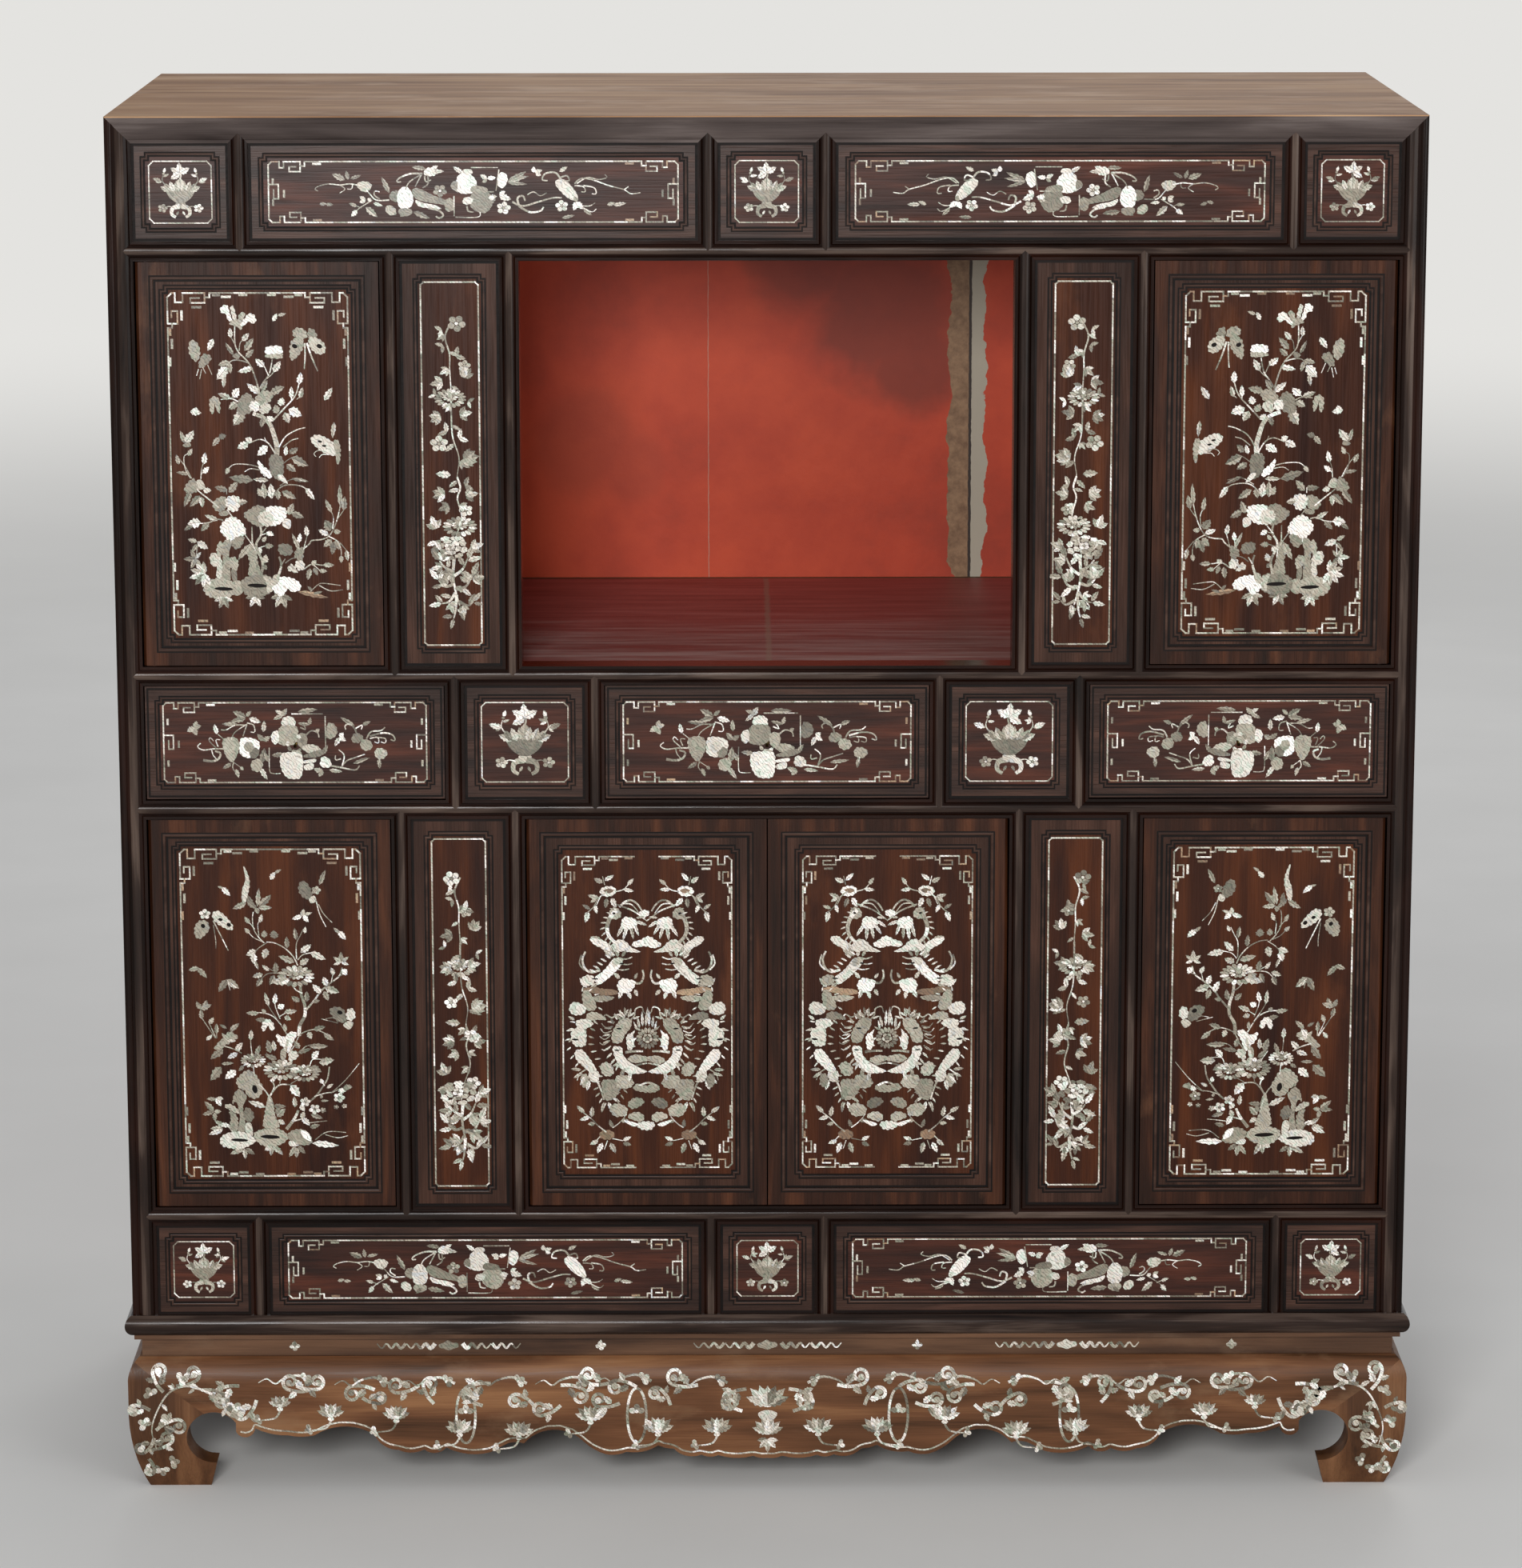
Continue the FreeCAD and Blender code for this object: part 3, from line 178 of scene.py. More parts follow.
@dataclass
class Inlay:
    """Mother-of-pearl set into one face: chips are cut as outlines and then built as thin plates.

    Drawing is in millimetres: x to the right and y up, as the face is seen from the front.
    """

    name: str
    body: str
    face: Callable[[float, float], float]
    seed: int
    slot: str = "inlaid_panel"
    sink: float = 0.35
    rise: float = 0.16
    lift: float = 0.006
    gap: float = 0.3
    step: float = 1.6
    chips: list[tuple[list[Point], int]] = field(default_factory=list)

    def __post_init__(self) -> None:
        """Starts this face's own random order."""
        self.rng = random.Random(self.seed)

    def tone(self) -> int:
        """A shell tone for the next chip: 0 grey, 1 silver, 2 white."""
        return self.rng.choices((0, 1, 2), (0.36, 0.38, 0.26))[0]

    def chip(self, spot: Spot, outline: Sequence[Point], tone: int | None = None) -> None:
        """Cuts one chip.

        Args:
            spot: where it is drawn.
            outline: its closed outline.
            tone: its shell tone, or None for a random one.
        """
        points = [spot.put(point) for point in outline]
        area = sum(a[0] * b[1] - b[0] * a[1] for a, b in zip(points, points[1:] + points[:1]))
        if area < 0:
            points.reverse()
        self.chips.append((points, self.tone() if tone is None else tone))

    def bar(self, spot: Spot, start: Point, end: Point, width: float, bit: float = 13.0,
            tone: int | None = None) -> None:
        """A straight line of chips.

        Args:
            spot: where it is drawn.
            start, end: middle of its two ends.
            width: width of the line.
            bit: longest chip in it.
            tone: shell tone of all of them, or None for random ones.
        """
        length = math.dist(start, end)
        count = max(1, math.ceil(length / bit))
        along = ((end[0] - start[0]) / length, (end[1] - start[1]) / length)
        across = (-along[1] * width / 2, along[0] * width / 2)
        for k in range(count):
            low = length * k / count + (self.gap / 2 if k else -width / 2)
            high = length * (k + 1) / count - (self.gap / 2 if k < count - 1 else -width / 2)
            a = (start[0] + along[0] * low, start[1] + along[1] * low)
            b = (start[0] + along[0] * high, start[1] + along[1] * high)
            self.chip(spot, [
                (a[0] - across[0], a[1] - across[1]), (b[0] - across[0], b[1] - across[1]),
                (b[0] + across[0], b[1] + across[1]), (a[0] + across[0], a[1] + across[1]),
            ], tone)

    def ribbon(self, spot: Spot, path: Sequence[Point], width: float, tip: float | None = None,
               bit: float = 10.0) -> None:
        """A curved line of chips with a width that changes along it.

        Args:
            spot: where it is drawn.
            path: points that it flows through.
            width: width at its start.
            tip: width at its end, or None for the same.
            bit: length of one chip.
        """
        size = spot.size
        run = resample(smooth(path), self.step / size)
        count = len(run) - 1
        tip = width if tip is None else tip
        sides: list[tuple[Point, Point]] = []
        for k, (x, y) in enumerate(run):
            ahead, behind = run[min(k + 1, count)], run[max(k - 1, 0)]
            run_x, run_y = ahead[0] - behind[0], ahead[1] - behind[1]
            length = math.hypot(run_x, run_y) or 1.0
            nx, ny = -run_y / length, run_x / length
            half = (width + (tip - width) * k / max(count, 1)) / 2
            sides.append(((x + nx * half, y + ny * half), (x - nx * half, y - ny * half)))
        per_bit = max(1, round(bit / (self.step / size)))
        start = 0
        while start < count:
            stop = min(start + per_bit, count)
            if count - stop < max(1, per_bit // 3):
                stop = count
            part = [list(map(list, pair)) for pair in sides[start:stop + 1]]
            if start:
                share = min(0.4, self.gap / self.step)
                for side in (0, 1):
                    for axis in (0, 1):
                        part[0][side][axis] += (part[1][side][axis] - part[0][side][axis]) * share
            outline = [tuple(pair[0]) for pair in part] + [tuple(pair[1]) for pair in reversed(part)]
            self.chip(spot, outline)
            start = stop

    def build(self) -> bpy.types.Object:
        """Makes the object of all the chips, riding on its body.

        Returns:
            The new object.
        """
        vertices: list[tuple[float, float, float]] = []
        faces: list[list[int]] = []
        tones: list[int] = []
        for number, (points, tone) in enumerate(self.chips):
            first, count = len(vertices), len(points)
            depth = [self.face(x, z) for x, z in points]
            rise = self.rise + self.lift * (66 if tone == CUT else number % 64)
            vertices += [(x * MM, (y - rise) * MM, z * MM) for (x, z), y in zip(points, depth)]
            vertices += [(x * MM, (y + self.sink) * MM, z * MM) for (x, z), y in zip(points, depth)]
            faces.append([first + k for k in range(count)])
            faces.append([first + count + k for k in reversed(range(count))])
            for k in range(count):
                after = (k + 1) % count
                faces.append([first + after, first + k, first + count + k, first + count + after])
            tones += [tone] * (count + 2)
        return make_piece(self.name, vertices, faces, self.body, PEARL, tones)


def make_piece(name: str, vertices: Sequence[tuple[float, float, float]], faces: Sequence[Sequence[int]],
               body: str, finishes: Sequence["Finish"],
               indexes: Sequence[int] | None = None) -> bpy.types.Object:
    """Makes one mesh object that rides on a body.

    Args:
        name: name of the object.
        vertices: its points in metres.
        faces: its faces as lists of points.
        body: the body that it moves with.
        finishes: its materials in order.
        indexes: each face's material, or None where there is only one.
    Returns:
        The new object.
    """
    mesh = bpy.data.meshes.new(name)
    mesh.from_pydata(vertices, [], faces)
    mesh.validate()
    for finish in finishes:
        mesh.materials.append(finish.material())
    if indexes is not None:
        mesh.polygons.foreach_set("material_index", list(indexes))
    mesh.update()
    piece = bpy.data.objects.new(name, mesh)
    bpy.context.scene.collection.objects.link(piece)
    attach(piece, body)
    log.info("%s: %d faces on %s", name, len(faces), body)
    return piece


class Tip(Enum):
    """What a branch ends in."""

    BARE = "bare"
    BUD = "bud"
    LEAF = "leaf"


class Flowers(Inlay):
    """Leaves, blossoms and branches."""

    def leaf(self, spot: Spot, length: float, width: float, bend: float = 0.0,
             tone: int | None = None) -> None:
        """A pointed leaf along x, in two halves beside a fine vein when it is large.

        Args:
            spot: where its stalk meets it.
            length, width: its size.
            bend: how far it curves aside, as a share of its length.
            tone: shell tone, or None for a random one.
        """
        tone = self.tone() if tone is None else tone
        steps = 8
        rows = [(k / steps, math.sin(math.pi * (k / steps) ** 0.8) * (0.74 if k % 2 else 1.12))
                for k in range(steps + 1)]
        lift = [bend * length * math.sin(math.pi * t / 2) ** 2 for t, _ in rows]
        if length * spot.size < 9.0:
            upper = [(length * t, up + width / 2 * h) for (t, h), up in zip(rows, lift)]
            lower = [(length * t, up - width / 2 * h) for (t, h), up in zip(rows[1:-1], lift[1:-1])]
            self.chip(spot, upper + lower[::-1], tone)
            return
        vein = 0.16 / spot.size
        for side in (1, -1):
            edge = [(length * t, up + side * (vein + width / 2 * h)) for (t, h), up in zip(rows, lift)]
            spine = [(length * t, up + side * vein) for (t, _), up in zip(rows[1:-1], lift[1:-1])]
            self.chip(spot, edge + spine[::-1], tone)

    def fan(self, spot: Spot, count: int, spread: float, length: float, width: float) -> None:
        """Leaves from one point.

        Args:
            spot: that point, with x along the middle leaf.
            count: number of leaves.
            spread: angle from the first to the last.
            length, width: size of the middle leaf; the outer ones are smaller.
        """
        for k in range(count):
            share = k / (count - 1) - 0.5 if count > 1 else 0.0
            scale = 1.0 - 0.45 * abs(share)
            self.leaf(spot.at(0.0, 0.0, spread * share), length * scale, width * scale, 0.12 * share)

    def petal(self, spot: Spot, inner: float, outer: float, first: float, last: float, squash: float,
              frill: float = 0.0, tone: int | None = None) -> None:
        """One petal of a round flower.

        Args:
            spot: the flower's middle.
            inner, outer: how far in and out the petal reaches.
            first, last: its two angles in degrees.
            squash: height of the flower as a share of its width.
            frill: depth of the scallops in its edge.
            tone: shell tone, or None for a random one.
        """
        steps = 8 if frill else 5
        outline = []
        for k in range(steps + 1):
            share = k / steps
            angle = math.radians(first + (last - first) * share)
            swell = math.sin(math.pi * (0.12 + 0.76 * share)) ** 0.6
            reach = inner + (outer - inner) * swell * (1.0 + frill * math.cos(share * math.tau * 2.5))
            outline.append((reach * math.cos(angle), reach * math.sin(angle) * squash))
        for share in (1.0, 0.5, 0.0):
            angle = math.radians(first + (last - first) * (0.15 + 0.7 * share))
            outline.append((inner * math.cos(angle), inner * math.sin(angle) * squash))
        self.chip(spot, outline, tone)

    def ring(self, spot: Spot, inner: float, outer: float, count: int, squash: float, start: float = 0.0,
             frill: float = 0.0, tone: int | None = None) -> None:
        """A full ring of petals with fine gaps; the arguments are those of a petal."""
        space = math.degrees(self.gap / (spot.size * max(outer, 0.1))) * 0.9
        for k in range(count):
            first = start + 360.0 * k / count
            last = first + 360.0 / count - space / 2
            self.petal(spot, inner, outer, first + space / 2, last, squash, frill, tone)

    def disc(self, spot: Spot, across: float, squash: float = 1.0, tone: int | None = None) -> None:
        """A round or oval chip."""
        count = 8 if across * spot.size < 6 else 12
        angles = [math.tau * k / count for k in range(count)]
        self.chip(spot, [(across / 2 * math.cos(angle), across / 2 * squash * math.sin(angle))
                         for angle in angles], tone)

    def blossom(self, spot: Spot, across: float, petals: int = 5) -> None:
        """A small open flower."""
        tone, squash = self.tone(), 0.9
        self.ring(spot, across * 0.13, across / 2, petals, squash, self.rng.uniform(0, 70), tone=tone)
        self.disc(spot, across * 0.2, squash, 2 - tone)

    def peony(self, spot: Spot, across: float) -> None:
        """A full ruffled flower in three rings of petals."""
        start, squash = self.rng.uniform(0, 60), 0.68
        self.ring(spot, across * 0.33, across * 0.5, 9, squash, start, 0.1)
        self.ring(spot.at(0, across * 0.02), across * 0.17, across * 0.325, 6, squash, start + 25, 0.1)
        self.ring(spot.at(0, across * 0.03), across * 0.05, across * 0.16, 4, squash, start + 50, 0.05, 2)
        self.disc(spot.at(0, across * 0.03), across * 0.08, squash, 0)

    def chrysanthemum(self, spot: Spot, across: float) -> None:
        """A flower of many narrow petals, with its heart set high."""
        squash = 0.6
        self.ring(spot, across * 0.26, across * 0.5, 17, squash, 0.0)
        self.ring(spot.at(0, across * 0.05), across * 0.1, across * 0.25, 11, squash, 9.0)
        self.disc(spot.at(0, across * 0.06), across * 0.17, squash * 1.1, 0)

    def lotus(self, spot: Spot, across: float) -> None:
        """A lotus seen from the side: petals that open upwards."""
        for turn, length in ((158, 0.52), (22, 0.52), (135, 0.56), (45, 0.56), (112, 0.5), (68, 0.5),
                             (90, 0.46)):
            self.leaf(spot.at(0, 0, turn), across * length, across * 0.21, tone=self.tone())
        self.disc(spot.at(0, across * 0.02), across * 0.24, 0.6, 2)

    def bud(self, spot: Spot, length: float) -> None:
        """A closed bud along x in its calyx."""
        self.leaf(spot.at(length * 0.3, 0), length * 0.75, length * 0.42, tone=2)
        self.leaf(spot, length * 0.42, length * 0.34, tone=0)

    def branch(self, spot: Spot, path: Sequence[Point], width: float, leaves: int, leaf: float,
               end: Tip = Tip.BARE) -> None:
        """A tapering branch with leaves to both sides of it.

        Args:
            spot: where it is drawn.
            path: points that it flows through.
            width: width at its start.
            leaves: number of leaves along it.
            leaf: length of one of them.
            end: what it ends in.
        """
        self.ribbon(spot, path, width, max(0.55, width * 0.4), bit=11.0)
        run = resample(smooth(path), 1.0)
        for k in range(leaves):
            place = min(len(run) - 2, int(len(run) * (k + 0.8) / (leaves + 0.3)))
            here, after = run[place], run[place + 1]
            heading = math.degrees(math.atan2(after[1] - here[1], after[0] - here[0]))
            side = 1 if k % 2 else -1
            turn = heading + side * self.rng.uniform(38, 62)
            length = leaf * self.rng.uniform(0.75, 1.15)
            gap = turned(width * 0.5 + 0.35, 0, turn)
            root = spot.at(here[0] + gap[0], here[1] + gap[1], turn)
            if self.rng.random() < 0.3:
                self.fan(root, 3, 75, length, length * 0.42)
            else:
                self.leaf(root, length, length * 0.42, side * 0.12)
        last, before = run[-1], run[-2]
        heading = math.degrees(math.atan2(last[1] - before[1], last[0] - before[0]))
        step = turned(0.5, 0, heading)
        tip = spot.at(last[0] + step[0], last[1] + step[1], heading)
        if end is Tip.BUD:
            self.bud(tip, leaf * 1.05)
        elif end is Tip.LEAF:
            self.leaf(tip, leaf * 1.1, leaf * 0.42)

    def curl(self, spot: Spot, reach: float, width: float, turns: float = 1.1, hand: int = 1) -> None:
        """A tendril that leaves along x and winds into a small spiral.

        Args:
            spot: its root.
            reach: how far it goes before it winds in.
            width: width at its root.
            turns: how far it winds.
            hand: 1 to wind to the left, -1 to the right.
        """
        radius = reach * 0.3
        path = [(0.0, 0.0), (reach * 0.35, -hand * reach * 0.06)]
        for k in range(11):
            angle = math.tau * turns * k / 10
            shrink = radius * (1.0 - 0.75 * k / 10)
            path.append((reach * 0.7 + shrink * math.sin(angle),
                         hand * (radius * 0.95 - shrink * math.cos(angle))))
        self.ribbon(spot, path, width, width * 0.9, bit=9.0)
        end = path[-1]
        self.disc(spot.at(end[0], end[1]), width * 1.9)


class Ornament(Flowers):
    """Clouds and the line round a panel."""

    def cloud(self, spot: Spot, length: float) -> None:
        """A curled cloud, in shares of its length."""
        shape = [(-0.36, -0.04), (-0.4, 0.12), (-0.2, 0.22), (-0.04, 0.34), (0.14, 0.22), (0.34, 0.2),
                 (0.38, 0.0), (0.16, -0.1), (0.0, -0.17), (-0.18, -0.1)]
        self.chip(spot, smooth([(x * length, y * length * 0.8) for x, y in shape], 3, True))

    def outline(self, across: float, up: float, line: float, corner: float) -> None:
        """The line round a panel, centred on the inlay's origin spot.

        Args:
            across, up: size of the rectangle.
            line: width of the line.
            corner: size of its cut corners.
        """
        x, y = across / 2, up / 2
        for side in (1, -1):
            self.bar(self.origin, (-x + corner, side * y), (x - corner, side * y), line)
            self.bar(self.origin, (side * x, -y + corner), (side * x, y - corner), line)
            for rise in (1, -1):
                self.bar(self.origin, (side * x, rise * (y - corner)), (side * (x - corner), rise * y), line)


@dataclass
class Panel(Ornament):
    """Inlay of one panel: its rectangle inside the line, with the origin at the rectangle's middle."""

    low: Point = (0.0, 0.0)
    high: Point = (1.0, 1.0)
    mirrored: bool = False

    def __post_init__(self) -> None:
        """Works out the panel's middle and size."""
        super().__post_init__()
        self.across = self.high[0] - self.low[0]
        self.up = self.high[1] - self.low[1]
        self.origin = Spot((self.low[0] + self.high[0]) / 2, (self.low[1] + self.high[1]) / 2,
                           flip=-1 if self.mirrored else 1)

    def corner(self) -> Spot:
        """The spot at the top left corner, or at the top right one of a mirrored panel."""
        return self.origin.at(-self.across / 2, self.up / 2)

    def fret_line(self, line: float, size: float, gap: float = 0.0) -> None:
        """The line round an upright panel, which turns into hooks near each corner.

        Args:
            line: width of the line.
            size: size of the hooks, 1 on a garden door.
            gap: how far from the middle the line stops at the top and bottom.
        """
        x, y = self.across / 2 / size, self.up / 2 / size
        runs = (
            ((0, 4), (4, 0)), ((4, 0), (7, 0), (7, 8.5), (14, 8.5), (14, 0), (34, 0)),
            ((34, 0), (34, 9), (21, 9), (21, 4.6), (29, 4.6)), ((34, 4), (38.5, 4), (38.5, 0), (x - gap, 0)),
            ((0, 4), (0, 28), (9, 28), (9, 16.5), (3.5, 16.5), (3.5, 22)),
            ((4, 28), (4, 32), (0, 32), (0, y)),
        )
        blocks = (((23, 13), (30, 13)), ((42, 2), (47, 2)), ((50, 3.5), (57, 3.5)), ((66, 1.8), (72, 1.8)),
                  ((12.8, 17), (12.8, 24)), ((2, 34), (2, 38)), ((3.5, 43), (3.5, 50)),
                  ((1.5, 60), (1.5, 66)))
        self.four_corners(runs, blocks, line, size)

    def hook_line(self, line: float) -> None:
        """The line round a long panel, with a hook near each corner and in the middle of each end."""
        x, y = self.across / 2, self.up / 2
        runs = (
            ((0, 3), (3, 0)),
            ((3, 0), (10, 0), (10, 5.5), (14, 5.5), (14, 0), (29, 0), (29, 9), (19, 9), (19, 4.6), (25, 4.6)),
            ((29, 4), (33, 4), (33, 0), (x, 0)), ((0, 3), (0, y)),
        )
        self.four_corners(runs, (((41, 2), (47, 2)), ((4, 16), (4, 20))), line, 1.0)
        for side in (1, -1):
            end = self.origin.at(side * x, 0)
            for a, b in zip(((0, 7), (9, 7), (9, -6), (4.6, -6)), ((9, 7), (9, -6), (4.6, -6), (4.6, 2))):
                self.bar(end, (-side * a[0], a[1]), (-side * b[0], b[1]), line)
            self.bar(end, (-side * 14, 1), (-side * 14, -4), line * 1.4)

    def four_corners(self, runs: Sequence[Sequence[Point]], blocks: Sequence[Sequence[Point]], line: float,
                     size: float) -> None:
        """Draws bars in the same way from each corner.

        Args:
            runs: bent lines, as points along the top and down the side from a corner.
            blocks: short thick bars that stand free.
            line: width of the lines.
            size: how much everything is scaled.
        """
        for right in (1, -1):
            for top in (1, -1):
                spot = self.origin.at(-right * self.across / 2, top * self.up / 2)
                for group, width in ((runs, line), (blocks, line * 1.5)):
                    for run in group:
                        for a, b in zip(run, run[1:]):
                            tone = None if math.dist(a, b) > 16 else self.rng.choice((0, 0, 1, 2, BROWN))
                            self.bar(spot, (right * a[0] * size, -top * a[1] * size),
                                     (right * b[0] * size, -top * b[1] * size), width, 13.0, tone)

    def sketch(self, plan: "Sketch") -> None:
        """Inlays a sketch, stretched to the panel's own line."""
        corner = self.corner()
        across, up = self.across / plan.size[0], self.up / plan.size[1]

        def at(x: float, y: float) -> Point:
            """A place of the sketch on the panel."""
            return x * across, -y * up

        for width, *path in plan.stems:
            self.ribbon(corner, [at(*point) for point in path], width, max(0.6, width * 0.7))
        for foot_x, foot_y, tip_x, tip_y, width, tone in plan.leaves:
            foot, tip = at(foot_x, foot_y), at(tip_x, tip_y)
            turn = math.degrees(math.atan2(tip[1] - foot[1], tip[0] - foot[0]))
            bend = self.rng.uniform(-0.12, 0.12)
            self.leaf(corner.at(*foot, turn), math.dist(foot, tip), width, bend, tone)
        for tone, *points in plan.shapes:
            points = [at(*point) for point in points]
            middle = [sum(places) / len(points) for places in zip(*points)]
            points = [(m + plan.slim * (x - m), n + plan.slim * (y - n))
                      for m, n in [middle] for x, y in points]
            outline = smooth(points, 4, True)
            self.chip(corner, ruffled(outline, plan.ruffle) if len(points) > 4 else outline, tone)
        for count, length, tone, side, *path in plan.fins:
            run = [at(*point) for point in path]
            run = resample(smooth(run), sum(map(math.dist, run, run[1:])) / count)
            for a, b in zip(run, run[1:]):
                heading = math.degrees(math.atan2(b[1] - a[1], b[0] - a[0]))
                self.leaf(corner.at(*a, heading + side * 56), length, length * 0.3, side * 0.2, tone)
        for x, y, turn, count, spread, length in plan.stars:
            self.fan(corner.at(*at(x, y), turn), count, spread, length, length * 0.42)
        for kind, x, y, width in plan.blooms:
            getattr(self, kind.value)(corner.at(*at(x, y)), width)
        for x, y, width, height in plan.slots:
            slot = [(-width / 2, 0), (-width / 4, height / 2), (width / 3, height / 3),
                    (width / 2, -height / 4), (0, -height / 2)]
            self.chip(corner.at(*at(x, y)), smooth(slot, 3, True), CUT)


# Sketches of what is inlaid on the panels


class Bloom(Enum):
    """The kinds of flower."""

    PEONY = "peony"
    CHRYSANTHEMUM = "chrysanthemum"
    BLOSSOM = "blossom"


@dataclass(frozen=True)
class Sketch:
    """What is inlaid on one kind of panel, drawn inside a line of a given size.

    Places are in millimetres to the right of the corner of the panel's line and down from it. A stem is
    its width and points; a leaf its foot, tip, width and tone; a shape its tone and points; a row of fins
    its number, length, tone, side and points; a star of leaves its middle, turn, number, spread and
    length; a bloom its kind, middle and width; and a slot its middle, width and height.
    """

    size: Point
    stems: tuple[tuple, ...] = ()
    leaves: tuple[tuple[float, ...], ...] = ()
    shapes: tuple[tuple, ...] = ()
    stars: tuple[tuple[float, ...], ...] = ()
    blooms: tuple[tuple, ...] = ()
    slots: tuple[tuple[float, ...], ...] = ()
    ruffle: float = 1.3
    slim: float = 1.0
    fins: tuple[tuple, ...] = ()


PEONY, MUM, BLOSSOM = Bloom

